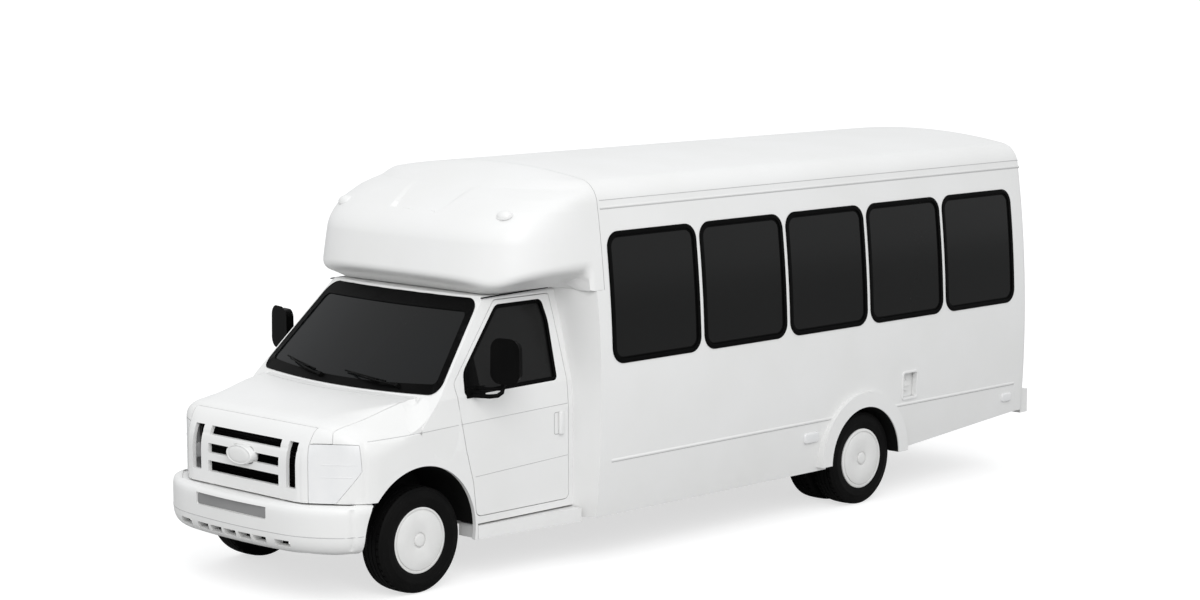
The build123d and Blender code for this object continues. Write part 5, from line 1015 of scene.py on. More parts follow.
@dataclass
class Carried:
    """The CAD nodes whose shape is right, in their finishes."""

    seam: float = 0.0002
    nose_box: tuple[Point3, Point3] = ((-1.0, -3.72, 0.70), (1.0, -2.66, 1.38))
    bumper_box: tuple[Point3, Point3] = ((-0.985, -3.85, 0.355), (0.985, -3.30, 0.70))
    boss_y: float = -3.7225
    boss_z: float = 0.96
    boss_half: Point2 = (0.14, 0.075)
    lamp_inner_x: float = 0.597
    white: tuple[tuple[str, Body], ...] = (
        ("fairings", Body.VEHICLE), ("side_walls", Body.VEHICLE), ("roof", Body.VEHICLE),
        ("skirts", Body.VEHICLE), ("rear_wall", Body.VEHICLE), ("wheel_flares", Body.VEHICLE),
        ("fuel_filler", Body.VEHICLE), ("rear_door", Body.REAR_DOOR),
        ("entry_leaf_front", Body.ENTRY_FRONT), ("entry_leaf_rear", Body.ENTRY_REAR),
        ("cab_door_left", Body.CAB_DOOR_LEFT), ("cab_door_right", Body.CAB_DOOR_RIGHT),
        ("rear_bumper", Body.VEHICLE), ("running_boards", Body.VEHICLE))
    glazed: tuple[tuple[str, Body], ...] = (
        ("side_windows", Body.VEHICLE), ("rear_door_glass", Body.REAR_DOOR),
        ("door_glass_left", Body.CAB_DOOR_LEFT), ("door_glass_right", Body.CAB_DOOR_RIGHT),
        ("entry_glass_front", Body.ENTRY_FRONT), ("entry_glass_rear", Body.ENTRY_REAR))
    black: tuple[str, ...] = ("front_liners", "wheelhouses", "chassis_frame", "front_axle",
                              "rear_axle", "driveshaft", "fuel_tank")

    def build(self) -> None:
        """Carries each node over."""
        for node, body in (("hood", Body.HOOD), ("fenders", Body.VEHICLE), ("cowl", Body.VEHICLE)):
            carry(node, PAINT, body, grow=self.seam, shape=self._round_nose)
        carry("grille", PAINT, grow=self.seam, shape=self._round_grille)
        carry("headlamps", LENS, grow=self.seam, shape=self._round_lamps)
        carry("front_bumper", PAINT, shape=self._round_bumper)
        carry("cab_shell", PAINT, grow=self.seam, shape=self._round_nose)
        for node, body in self.white:
            carry(node, PAINT, body, grow=self.seam)
        carry("tail_lamps", RED_LENS)
        for node, body in self.glazed:
            carry(node, GLASS, body)
        carry("windshield", SCREEN)
        for side in SIDES:
            carry(f"knuckle_{side}", IRON, Body(f"knuckle_{side}"), slot=Slot.CHASSIS)
        carry("track_rod", UNDERSIDE, Body.TRACK_ROD)
        for node in self.black:
            carry(node, UNDERSIDE)
        for node, finish in (("engine", IRON), ("exhaust", STEEL), ("body_floor", FLOOR),
                             ("entry_steps", FLOOR), ("dashboard", DASH)):
            carry(node, finish)

    def _round_nose(self, copy: Shaper) -> None:
        """Rounds a panel of the nose."""
        form = NoseForm()
        form.refine(copy, *self.nose_box)
        form.settle(copy)

    def _round_grille(self, copy: Shaper) -> None:
        """Takes the block of the boss off the grille and rounds it.

        Args:
            copy: The grille's copy.
        """
        half, rise = self.boss_half
        copy.remove(lambda c: c.y < self.boss_y and abs(c.x) < half
                    and abs(c.z - self.boss_z) < rise)
        self._round_nose(copy)

    def _round_lamps(self, copy: Shaper) -> None:
        """Takes the tabs behind the grille off the lamps and rounds them.

        Args:
            copy: The headlamps' copy.
        """
        copy.remove(lambda c: abs(c.x) < self.lamp_inner_x)
        copy.cap_holes()
        self._round_nose(copy)

    def _round_bumper(self, copy: Shaper) -> None:
        """Rounds the bumper."""
        form = BumperForm()
        form.refine(copy, *self.bumper_box)
        form.settle(copy)


# ---- Cap over the cab ----------------------------------------------------------------------------


@dataclass
class Cap:
    """The moulded cap over the cab, with its brow and clearance lamps.

    Distances back are from the front axle. The planes of its underside are (normal, point) pairs:
    those ahead of the windscreen are seen from the side, and those beside it from the front.
    """

    seam: float = 1.5555
    base_z: float = 1.985
    roof_z: float = 2.842
    crown: float = 5.7
    corner: float = 0.19
    brow: Point2 = (0.585, 2.10)
    lean: float = 0.23
    slope: Point2 = (0.76, 0.312)
    slope_power: float = 0.62
    square_z: tuple[float, ...] = (2.10, 2.56, 2.64, 2.70)
    square: tuple[float, ...] = (3.6, 4.1, 3.3, 2.1)
    pocket: Point3 = (0.265, 0.815, 1.18)
    pocket_depth: float = 0.06
    under_ahead: tuple[tuple[Point2, Point2], ...] = (((-0.640, -0.768), (0.70, 2.055)),
                                                      ((-0.300, -0.954), (0.70, 2.055)))
    under_beside: tuple[tuple[Point2, Point2], ...] = (((0.396, -0.918), (0.80, 1.985)),
                                                       ((0.508, -0.861), (1.08, 2.095)))
    under_end: float = 1.42
    under_rounding: float = 0.06
    lip_rounding: float = 0.055
    cells: int = 112
    heart: Point3 = (0.0, -1.58, 2.35)
    spread: Point3 = (1.25, 0.9, 0.5)
    lamp_at: Point3 = (0.851, 0.888, 2.546)
    lamp_size: Point3 = (0.062, 0.050, 0.036)
    lamp_foot: Point3 = (0.06944, 0.057, 0.014)
    lamp_tilt: float = 0.42

    def corner_centre(self) -> Point2:
        """The middle of the roof's rounded corner, as half width and height."""
        low, high = SIDE_MIDDLE_Z, self.roof_z
        for _ in range(60):
            z = (low + high) / 2
            x = side_x(z, self.corner)
            if math.hypot(x, z - self.roof_z + self.crown) < self.crown - self.corner:
                low = z
            else:
                high = z
        return side_x(low, self.corner), low

    def half_width(self, z: np.ndarray) -> np.ndarray:
        """Half width of the coach body's section at each height.

        Args:
            z: The heights.

        Returns:
            Half the width at each.
        """
        x0, z0 = self.corner_centre()
        side = side_x(z)
        arc = x0 + np.sqrt(np.maximum(self.corner**2 - (z - z0) ** 2, 0.0))
        roof = np.sqrt(np.maximum(self.crown**2 - (z - self.roof_z + self.crown) ** 2, 0.0))
        side_end = z0 + self.corner * (z0 - SIDE_MIDDLE_Z) / (SIDE_RADIUS - self.corner)
        roof_start = z0 + self.corner * (z0 - self.roof_z + self.crown) / (self.crown - self.corner)
        return np.where(z < side_end, side, np.where(z < roof_start, arc, roof))

    def outside(self, p: np.ndarray) -> np.ndarray:
        """How far points are outside the cap: negative inside.

        Args:
            p: Points, one a row.

        Returns:
            About the distance in metres.
        """
        x, back, z = np.abs(p[:, 0]), p[:, 1] - FRONT_AXLE_Y, p[:, 2]
        drop = np.maximum(self.roof_z - z, 1e-5) / self.slope[1]
        front = rounded_max(
            self.brow[0] + self.lean * (z - self.brow[1]),
            self.seam - self.slope[0] * drop**self.slope_power,
            0.10,
        )
        length = self.seam - front
        power = np.interp(z, self.square_z, self.square)
        across = x / np.maximum(self.half_width(np.minimum(z, self.roof_z - 1e-5)), 1e-4)
        along = np.maximum(self.seam - back, 0.0) / length
        plan = (across**power + along**power) ** (1 / power) - 1.0
        plan = np.where(z > self.roof_z, np.maximum(plan, z - self.roof_z), plan)
        half, low, high = self.pocket
        plan = plan + self.pocket_depth * (
            np.clip((half + 0.25 * (back - low) - x) / 0.022, 0, 1)
            * np.clip((back - low) / 0.018, 0, 1)
            * np.clip((high - back) / (high - low - 0.05), 0, 1)
        )
        ahead = rounded_min(*(beyond_plane(back, z, *plane) for plane in self.under_ahead), 0.05)
        beside = np.maximum(*(beyond_plane(x, z, *plane) for plane in self.under_beside))
        under = rounded_max(ahead, beside, self.under_rounding)
        under = rounded_min(under, self.under_end - back, self.under_rounding)
        return np.maximum(rounded_max(plan, under, self.lip_rounding), self.base_z - z)

    def surface(self, towards: np.ndarray, middle: np.ndarray) -> np.ndarray:
        """Where rays from the middle of the cap leave it.

        Args:
            towards: The rays' directions, one a row.
            middle: Where they start.

        Returns:
            The points, one a row.
        """
        near, far = np.zeros(len(towards)), np.full(len(towards), 2.5)
        for _ in range(34):
            half = (near + far) / 2
            out = self.outside(middle + towards * half[:, None]) > 0
            near, far = np.where(out, near, half), np.where(out, half, far)
        return middle + towards * near[:, None]

    def build(self) -> None:
        """Makes the cap and its lamps."""
        self._shell()
        for side, sign in SIDES.items():
            self._lamp(side, sign)

    def _shell(self) -> None:
        """The moulded shell."""
        shaper = Shaper()
        bmesh.ops.create_cube(shaper.bm, size=2.0)
        bmesh.ops.subdivide_edges(shaper.bm, edges=shaper.bm.edges, cuts=self.cells,
                                  use_grid_fill=True)
        middle = np.array(self.heart)
        verts = list(shaper.bm.verts)
        towards = np.array([v.co for v in verts]) * np.array(self.spread)
        towards /= np.linalg.norm(towards, axis=1)[:, None]
        for vert, place in zip(verts, self.surface(towards, middle)):
            vert.co = place
        shaper.trim((0, FRONT_AXLE_Y + self.seam, 0), (0, 1, 0))
        bmesh.ops.dissolve_degenerate(shaper.bm, dist=1e-5, edges=shaper.bm.edges)
        bmesh.ops.recalc_face_normals(shaper.bm, faces=shaper.bm.faces)
        shaper.piece("cap_shell", PAINT, replaces=("front_cap",), outwards=False)

    def _lamp(self, side: str, sign: int) -> None:
        """A clearance lamp: a low half-dome on an oval foot.

        Args:
            side: Left or right.
            sign: 1 on the left, -1 on the right.
        """
        x, back, z = self.lamp_at
        shaper = Shaper()
        dome = bmesh.ops.create_uvsphere(shaper.bm, u_segments=28, v_segments=14, radius=1.0)
        tilt = Matrix.Rotation(self.lamp_tilt, 4, "X")
        place = Matrix.Translation((x, FRONT_AXLE_Y + back, z - 0.006)) @ tilt
        foot = bmesh.ops.create_cone(shaper.bm, cap_ends=True, segments=36, radius1=1.0,
                                     radius2=0.96, depth=1.0)
        for part, size in ((dome, self.lamp_size), (foot, self.lamp_foot)):
            matrix = place @ Matrix.Diagonal((*size, 1))
            bmesh.ops.transform(shaper.bm, matrix=matrix, verts=part["verts"])
        shaper.piece(f"clearance_lamp_{side}", PAINT, slot=Slot.LENS, sign=sign)


class Skin:
    """The outer skin of CAD nodes, on which trim is laid."""

    def __init__(self, *nodes: str) -> None:
        """Gathers the faces of the nodes, as they are carried over.

        Args:
            *nodes: The nodes' names.
        """
        verts, faces = [], []
        for node in nodes:
            shaped = bpy.data.objects.get(f"{node}_skin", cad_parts[node])
            mesh, start = shaped.data, len(verts)
            verts.extend(v.co.copy() for v in mesh.vertices)
            faces.extend([start + i for i in face.vertices] for face in mesh.polygons)
        self.tree = BVHTree.FromPolygons(verts, faces)

    def _hit(self, start: Point3, towards: Point3, near: Point3) -> Vector:
        """Where a ray meets the skin, or the skin's nearest point to another point if it misses.

        Args:
            start: Where the ray starts.
            towards: Its direction.
            near: The other point.

        Returns:
            The point.
        """
        hit = self.tree.ray_cast(Vector(start), Vector(towards))[0]
        return self.tree.find_nearest(Vector(near))[0] if hit is None else hit

    def beside(self, sign: int, y: float, z: float, out: float = 0.0) -> Point3:
        """The outermost point at a length and height on one side, moved out.

        Args:
            sign: 1 on the left, -1 on the right.
            y: The place along the vehicle.
            z: The height.
            out: How far the point is moved out.

        Returns:
            The point.
        """
        hit = self._hit((sign * 3.0, y, z), (-sign, 0, 0), (sign * 1.2, y, z))
        return hit.x + sign * out, y, z

    def ahead(self, x: float, z: float, out: float = 0.0) -> Point3:
        """The foremost point at a width and height, moved forwards."""
        return x, self._hit((x, -6.0, z), (0, 1, 0), (x, -3.6, z)).y - out, z

    def behind(self, x: float, z: float) -> float:
        """How far back the skin reaches at a width and height."""
        return self._hit((x, 6.0, z), (0, -1, 0), (x, TAIL_Y, z)).y


@dataclass
class PillarFoot:
    """The soft hollow where a fender's shoulder runs up into the windscreen pillar."""

    start: Point2 = (0.815, -3.060)
    end: Point2 = (0.990, -2.815)
    reach: float = 0.13
    ease_in: float = 0.040
    under: float = 0.0012
    depth: float = 0.040
    pillar: Point3 = (0.891, -2.884, 1.255)
    pillar_slope: Point2 = (-0.198, 1.0237)

    def build(self) -> None:
        """Makes the hollow of both sides."""
        nose = NoseForm()
        for side, sign in SIDES.items():
            shaper = Shaper()
            xs = stretch(self.start[0], self.end[0], 36)
            ys = stretch(self.start[1], self.end[1], 70)
            grid = [[shaper.bm.verts.new(self._point(nose, sign, x, y)) for x in xs] for y in ys]
            faces = [shaper.bm.faces.new((a[i], a[i + 1], b[i + 1], b[i]))
                     for a, b in zip(grid, grid[1:]) for i in range(len(xs) - 1)]
            shaper.extrude(faces, (0, 0, -self.depth))
            shaper.piece(f"pillar_foot_{side}", PAINT)

    def _point(self, nose: NoseForm, sign: int, x: float, y: float) -> Point3:
        """A point of the hollow: the higher of the two panels, raised where they are close.

        Args:
            nose: The form of the nose.
            sign: 1 on the left, -1 on the right.
            x: Half width of the point.
            y: Its place along the vehicle.

        Returns:
            The point.
        """
        back = y - FRONT_AXLE_Y
        low = float(np.interp(back, nose.shoulder_back, nose.shoulder_low))
        top = float(np.interp(back, nose.shoulder_back[:2], nose.shoulder_top[:2]))
        fender = low + (nose.half - x) * (nose.shoulder_high - low) / (nose.half - top)
        px, py, pz = self.pillar
        pillar = pz + self.pillar_slope[0] * (x - px) + self.pillar_slope[1] * (y - py)
        gap = max(self.reach - abs(fender - pillar), 0.0)
        fill = gap * gap / (4 * self.reach) * min((x - self.start[0]) / self.ease_in, 1.0)
        return sign * x, y, max(fender, pillar) + fill - self.under


# ---- Windscreen and wipers -----------------------------------------------------------------------


@dataclass
class Windscreen:
    """The black border round the windscreen, and the wipers. The glass is bowed to one radius."""

    foot: Point3 = (0.0, -2.845, 1.376)
    rake: Point2 = (0.6910, 0.7229)
    bow_radius: float = 7.189
    outer: tuple[Point2, Point2] = ((0.953, 1.362), (0.782, 1.966))
    inner: tuple[Point2, Point2] = ((0.884, 1.426), (0.751, 1.882))
    outer_dip: float = 0.016
    inner_dip: float = 0.030
    outer_radius: float = 0.085
    inner_radius: float = 0.035
    proud: float = 0.004
    thick: float = 0.012
    wipers: tuple[tuple[float, float, float, float], ...] = (
        (-0.705, 1.462, -0.300, 1.418), (0.015, 1.440, 0.455, 1.412))
    pivots: tuple[Point2, ...] = ((-0.215, 1.392), (0.575, 1.396))
    claw: tuple[float, ...] = (0.18, 0.36, 0.5, 0.64, 0.82)
    knob_lean: float = 0.80802514
    knob_radii: Point2 = (0.021, 0.015)
    knob_height: float = 0.03
    claw_lift: tuple[float, ...] = (0.020, 0.030, 0.034, 0.030, 0.020)
    arm_lift: tuple[float, ...] = (0.036, 0.034, 0.032, 0.026, 0.016)

    def at(self, x: float, z: float, out: float = 0.0) -> Point3:
        """The point of the glass in front of x and z, moved out along its rake.

        Args:
            x: Across the vehicle.
            z: The height.
            out: How far it is moved out.

        Returns:
            The point.
        """
        rise, fall = self.rake
        depth = self.bow_radius - math.sqrt(self.bow_radius**2 - x * x) - out
        along = (z - self.foot[2] + rise * depth) / fall
        return x, self.foot[1] + rise * along + fall * depth, z

    def _loop(self, shaper: Shaper, corners: tuple[Point2, Point2], dip: float,
              radius: float) -> list[BMEdge]:
        """A rounded outline in front view, as an edge loop.

        Args:
            shaper: The mesh it is made in.
            corners: Half widths and heights of the lower and upper corners.
            dip: How far the middle of the lower edge hangs.
            radius: Radius of the corners.

        Returns:
            Its edges.
        """
        (low, low_z), (high, high_z) = corners
        outline = [(-low, 0, low_z), (low, 0, low_z), (high, 0, high_z), (-high, 0, high_z)]
        face = shaper.plate(outline, radius)
        long = [e for e in face.edges if e.calc_length() > 4 * radius]
        bmesh.ops.subdivide_edges(shaper.bm, edges=long, cuts=23)
        girth = 2 * (low + high + high_z - low_z)
        face = min(shaper.bm.faces, key=lambda f: abs(f.calc_perimeter() - girth))
        edges = list(face.edges)
        for vert in face.verts:
            share = max(0.0, 1 - (vert.co.x / low) ** 2)
            vert.co.z -= dip * share * max(0.0, 1 - (vert.co.z - low_z) / (high_z - low_z)) ** 3
        bmesh.ops.delete(shaper.bm, geom=[face], context="FACES_ONLY")
        return edges

    def build(self) -> None:
        """Makes the border and the wipers."""
        self._border()
        for i, (blade, pivot) in enumerate(zip(self.wipers, self.pivots), 1):
            self._wiper(f"wiper_{i}", blade, pivot)

    def _border(self) -> None:
        """The border: wide along the cowl and the head, narrow at the pillars."""
        shaper = Shaper()
        edges = self._loop(shaper, self.outer, self.outer_dip, self.outer_radius)
        edges += self._loop(shaper, self.inner, self.inner_dip, self.inner_radius)
        faces = bmesh.ops.bridge_loops(shaper.bm, edges=edges)["faces"]
        bmesh.ops.recalc_face_normals(shaper.bm, faces=faces)
        shaper.extrude(faces, (0, self.thick, 0))
        shaper.warp(lambda p: self.at(p.x, p.z, self.proud if p.y < self.thick / 2
                                      else self.proud - self.thick))
        shaper.soften(0.0025, 2, 50)
        shaper.piece("windscreen_border", RUBBER_TRIM)

    def _wiper(self, name: str, blade: tuple[float, float, float, float], pivot: Point2) -> None:
        """A wiper: a blade on its claw, and an arm to its pivot on the cowl.

        Args:
            name: The piece's name.
            blade: Width and height of the blade's two ends.
            pivot: Width and height of the arm's foot.
        """
        shaper = Shaper()

        def along(start: Point2, end: Point2, shares: Sequence[float],
                  heights: Sequence[float]) -> list[Point3]:
            """Points over the glass between two places.

            Args:
                start: The first place, as width and height.
                end: The second place.
                shares: How far along the way each point is.
                heights: How far each point is from the glass.

            Returns:
                The points.
            """
            (x0, z0), (x1, z1) = start, end
            return [self.at(x0 + (x1 - x0) * share, z0 + (z1 - z0) * share, out)
                    for share, out in zip(shares, heights)]

        start, end = blade[:2], blade[2:]
        shaper.rod(along(start, end, stretch(0, 1, 8), [0.014] * 9), 0.006, 8)
        shaper.rod(along(start, end, self.claw, self.claw_lift), 0.0055, 8)
        middle = ((start[0] + end[0]) / 2, (start[1] + end[1]) / 2)
        shaper.rod(along(middle, pivot, stretch(0, 1, 4), self.arm_lift), 0.009, 10, 0.6)
        lean = Matrix.Rotation(self.knob_lean, 4, "X")
        knob = Matrix.Translation(self.at(*pivot, 0.012)) @ lean
        wide, narrow = self.knob_radii
        bmesh.ops.create_cone(shaper.bm, cap_ends=True, segments=24, radius1=wide, radius2=narrow,
                              depth=self.knob_height, matrix=knob)
        shaper.piece(name, PLASTIC)


# ---- Windows and mouldings of the coach body -----------------------------------------------------


@dataclass
class SideGlazing:
    """Black frames round the side windows, and round the glass of the entry leaves."""

    middles: tuple[float, ...] = (-0.8461, 0.1307, 1.1075, 2.0843, 3.0611)
    height: float = 1.917
    size: Point2 = (0.9318, 0.940)
    corner: float = 0.110
    lap: float = 0.005
    width: float = 0.034
    lip: float = 0.013
    depth: float = 0.016
    step: float = 0.006
    sunk: float = 0.010

    leaf_corner: float = 0.060
    inner_corner: float = 0.020

    def build(self) -> None:
        """Makes the frames of both sides, and of the entry leaves in the first bay on the right."""
        for i, y in enumerate(self.middles, 1):
            at = (y, self.height)
            self._frame(f"window_frame_left_{i}", 1, at, self.size, self.corner, Body.VEHICLE)
            if i > 1:
                self._frame(f"window_frame_right_{i}", -1, at, self.size, self.corner, Body.VEHICLE)
        for node, body in (("entry_glass_front", Body.ENTRY_FRONT),
                           ("entry_glass_rear", Body.ENTRY_REAR)):
            (_, y0, z0), (_, y1, z1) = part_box(node)
            at = ((y0 + y1) / 2, (z0 + z1) / 2)
            self._frame(f"{node}_frame", -1, at, (y1 - y0, z1 - z0), self.leaf_corner, body)

    def _frame(self, name: str, sign: int, middle: Point2, size: Point2, corner: float,
               body: Body) -> None:
        """A frame with an inner lip, bent to the side of the body.

        Args:
            name: The piece's name.
            sign: 1 on the left, -1 on the right.
            middle: The window's middle, along and up.
            size: Its length and height.
            corner: Radius of its corners.
            body: The body it rides on.
        """
        shaper, (y, z) = Shaper(), middle
        inner = self.lap - self.width
        for grow, width, deep in ((self.lap, self.width, self.depth),
                                  (inner, self.lip, self.depth - self.step)):
            half, rise = size[0] / 2 + grow, size[1] / 2 + grow
            shaper.ring(upright((y - half, z - rise), (y + half, z + rise)),
                        max(corner + grow, self.inner_corner), width, (deep, 0, 0))
        shaper.soften(0.003, 3)
        shaper.cuts(2, stretch(z - size[1] / 2, z + size[1] / 2, 8))
        shaper.warp(lambda p: (side_x(p.z) + p.x - self.sunk, p.y, p.z))
        shaper.piece(name, RUBBER_TRIM, body, sign=sign)


@dataclass
class Mouldings:
    """Beads along the coach body with grey strips of painted shade under them, a painted shade line
    above the eaves, side markers and the drip rails over the cab doors.
    """

    waist_z: float = 0.745
    waist_runs: tuple[Point2, ...] = ((-1.320, 1.170), (1.910, 3.560))
    eaves_z: float = 2.566
    eaves_run: Point2 = (-1.350, 3.700)
    bead: float = 0.010
    squash: float = 0.55
    entry_end: float = -0.44
    markers: tuple[tuple[Point2, Point2], ...] = (((0.825, 0.580), (0.995, 0.660)),
                                                  ((3.390, 0.600), (3.520, 0.670)))
    drip: tuple[Point3, Point3] = ((0.812, -2.230, 1.972), (0.806, -1.575, 1.990))

    def build(self) -> None:
        """Makes the beads and their painted shade strips, the markers and rails of both sides."""
        for side, sign in SIDES.items():
            for i, run in enumerate(self.waist_runs, 1):
                if sign < 0 and i == 1:
                    run = (self.entry_end, run[1])
                z = self.waist_z
                self._bead(f"waist_bead_{side}_{i}", sign, run, z, self.bead, PAINT)
                # Under each waist bead, a grey rod of painted shadow.
                self._bead(f"waist_shade_{side}_{i}", sign, run, z - 0.011, 0.0035, SHADOW)
            # At the eaves: the bead, a grey rod of painted shadow under it, and a thin grey line of
            # painted shade above it.
            for name, up, radius, finish in (("bead", 0.0, 0.007, PAINT),
                                             ("shade", -0.010, 0.004, SHADOW),
                                             ("line", 0.052, 0.0025, SHADOW)):
                z = self.eaves_z + up
                self._bead(f"eaves_{name}_{side}", sign, self.eaves_run, z, radius, finish)
            for i, (low, high) in enumerate(self.markers, 1):
                self._marker(f"side_marker_{side}_{i}", sign, low, high)
            self._drip(side, sign)

    def _bead(self, name: str, sign: int, run: Point2, z: float, radius: float,
              finish: Finish) -> None:
        """A half-round bead along the side, with rounded ends.

        Args:
            name: The piece's name.
            sign: 1 on the left, -1 on the right.
            run: Where it starts and ends along the body.
            z: Its height.
            radius: Half its height.
            finish: Its finish.
        """
        shaper, (start, end) = Shaper(), run
        x = side_x(z) + 0.0006
        tip = x - radius * 0.6
        path = [(tip, start, z), (x, start + radius, z), (x, end - radius, z), (tip, end, z)]
        shaper.rod(path, radius)
        shaper.warp(lambda p: (x + (p.x - x) * self.squash, p.y, p.z))
        shaper.piece(name, finish, sign=sign)

    def _marker(self, name: str, sign: int, low: Point2, high: Point2) -> None:
        """A side marker lamp with rounded corners, leaned to the skirt.

        Args:
            name: The piece's name.
            sign: 1 on the left, -1 on the right.
            low: Its front lower corner, along and up.
            high: Its rear upper corner.
        """
        shaper = Shaper()
        shaper.slab(upright(low, high), 0.024, (0.022, 0, 0))
        shaper.soften(0.009, 4, 50)
        shaper.warp(lambda p: (side_x(max(p.z, 0.7)) + p.x - 0.008 - 0.02 * (0.66 - p.z), p.y, p.z))
        shaper.piece(name, LENS, sign=sign)

    def _drip(self, side: str, sign: int) -> None:
        """The black rail over a cab door."""
        shaper = Shaper()
        shaper.rod([self.drip[0], self.drip[1]], 0.008, 10, 0.6)
        shaper.piece(f"drip_rail_{side}", RUBBER_TRIM, sign=sign)


# ---- Wheels --------------------------------------------------------------------------------------


@dataclass
class Wheels:
    """Tyres with a blocked tread, and plain covers over the rims.

    Profiles are (outwards, radius).
    """

    radius: float = 0.372
    rim: float = 0.228
    cover: float = 0.237
    grooves: tuple[float, ...] = (-0.056, -0.019, 0.019, 0.056)
    groove_half: float = 0.0045
    groove_depth: float = 0.009
    notch_x: float = 0.0727
    notch_every: int = 3
    steps: int = 132
    notch_half: float = 0.004
    notch_from: float = 0.360
    notch_rim: float = 0.0015
    notch_depth: float = 0.007
    sidewall: tuple[Point2, ...] = (
        (-0.092, 0.226), (-0.103, 0.240), (-0.1085, 0.262), (-0.1105, 0.290),
        (-0.1120, 0.296), (-0.1120, 0.301), (-0.1095, 0.306), (-0.1065, 0.328),
        (-0.1000, 0.347), (-0.0960, 0.350), (-0.0930, 0.358), (-0.0850, 0.3668))
    lining: tuple[Point2, ...] = ((0.080, 0.232), (-0.080, 0.232))
    wheel_steps: int = 120
    front_x: float = 0.833
    front_face: float = 0.929
    rear_x: Point2 = (0.821, 1.083)
    rear_face: float = 1.197
    barrel: float = 0.205
    rear_barrel: float = 0.476

    def build(self) -> None:
        """Makes the tyres and wheels of both axles."""
        for side, sign in SIDES.items():
            front, rear = Body(f"front_wheel_{side}"), Body(f"rear_wheels_{side}")
            self._tyres(f"front_tyre_{side}", sign, (self.front_x,), FRONT_AXLE_Y, front,
                        f"tyre_front_{side}")
            self._tyres(f"rear_tyres_{side}", sign, self.rear_x, REAR_AXLE_Y, rear,
                        f"tyres_rear_{side}")
            self._wheel(f"front_wheel_cover_{side}", sign, self.front_face, self.barrel,
                        FRONT_AXLE_Y, front, f"wheel_front_{side}")
            self._wheel(f"rear_wheel_cover_{side}", sign, self.rear_face, self.rear_barrel,
                        REAR_AXLE_Y, rear, f"wheels_rear_{side}")

    def _section(self) -> list[Point2]:
        """Half a turn round the tyre's section, from bead to bead, and back inside it."""
        tread: list[Point2] = []
        for middle in self.grooves:
            top = self.radius - 0.0018 * (abs(middle) / 0.056) ** 2
            edge, foot = self.groove_half, self.groove_half - 0.0012
            tread += [(middle - edge, top), (middle - foot, top - self.groove_depth),
                      (middle + foot, top - self.groove_depth), (middle + edge, top)]
        back = [(-along, radius) for along, radius in reversed(self.sidewall)]
        return [*self.sidewall, *tread, *back, *self.lining]

    def _tyres(self, name: str, sign: int, middles: Sequence[float], axle_y: float, body: Body,
               node: str) -> None:
        """The tyres of one hub.

        Args:
            name: The piece's name.
            sign: 1 on the left, -1 on the right.
            middles: Where the middle of each tyre is across the vehicle.
            axle_y: The axle's place along the vehicle.
            body: The body they turn with.
            node: The CAD node they stand for.
        """
        shaper = Shaper()
        for x in middles:
            shaper.spin(self._section(), (x, axle_y, AXLE_Z), self.steps)
        bmesh.ops.recalc_face_normals(shaper.bm, faces=shaper.bm.faces)
        blocks = []
        for face in shaper.bm.faces:
            middle = face.calc_center_median()
            across = min(abs(abs(middle.x - x) - self.notch_x) for x in middles)
            turn = math.atan2(middle.z - AXLE_Z, middle.y - axle_y) / math.tau * self.steps
            reach = math.hypot(middle.y - axle_y, middle.z - AXLE_Z)
            on_ring = across < self.notch_half and reach > self.notch_from
            if on_ring and int(turn + self.steps) % self.notch_every == 0:
                blocks.append(face)
        bmesh.ops.inset_individual(shaper.bm, faces=blocks, thickness=self.notch_rim,
                                   depth=-self.notch_depth)
        shaper.piece(name, TYRE, body, sign=sign, replaces=(node,), crease=28.0)

    def _wheel(self, name: str, sign: int, face_x: float, barrel: float, axle_y: float, body: Body,
               node: str) -> None:
        """A wheel: its flat cover with a rim line and a centre boss, and the barrel behind.

        Args:
            name: The piece's name.
            sign: 1 on the left, -1 on the right.
            face_x: Where its outer face is across the vehicle.
            barrel: How deep it is.
            axle_y: The axle's place along the vehicle.
            body: The body it turns with.
            node: The CAD node it stands for.
        """
        face = [(0.0080, 0.0), (0.0080, 0.036), (0.0070, 0.041), (0.0035, 0.0445),
                (-0.0060, 0.0455), (-0.0060, 0.0535), (0.0015, 0.0560), (0.0030, 0.060),
                (0.0030, 0.140), (0.0045, 0.203), (0.0030, 0.2065), (-0.0060, 0.2085),
                (-0.0060, 0.2155), (0.0025, 0.2180), (0.0030, 0.230), (-0.0020, 0.2365),
                (-0.0120, self.cover), (-0.0200, 0.231), (-0.0280, self.rim - 0.003)]
        rear = [(0.004 - barrel, self.rim - 0.003), (-barrel, self.rim + 0.002),
                (-barrel, self.rim - 0.008), (-0.060, self.rim - 0.010), (-0.045, 0.195),
                (-0.035, 0.0)]
        shaper = Shaper()
        middle = (face_x - 0.003, axle_y, AXLE_Z)
        shaper.spin(face + rear, middle, self.wheel_steps, closed=False)
        shaper.piece(name, COVER, body, sign=sign, replaces=(node,), crease=40.0)


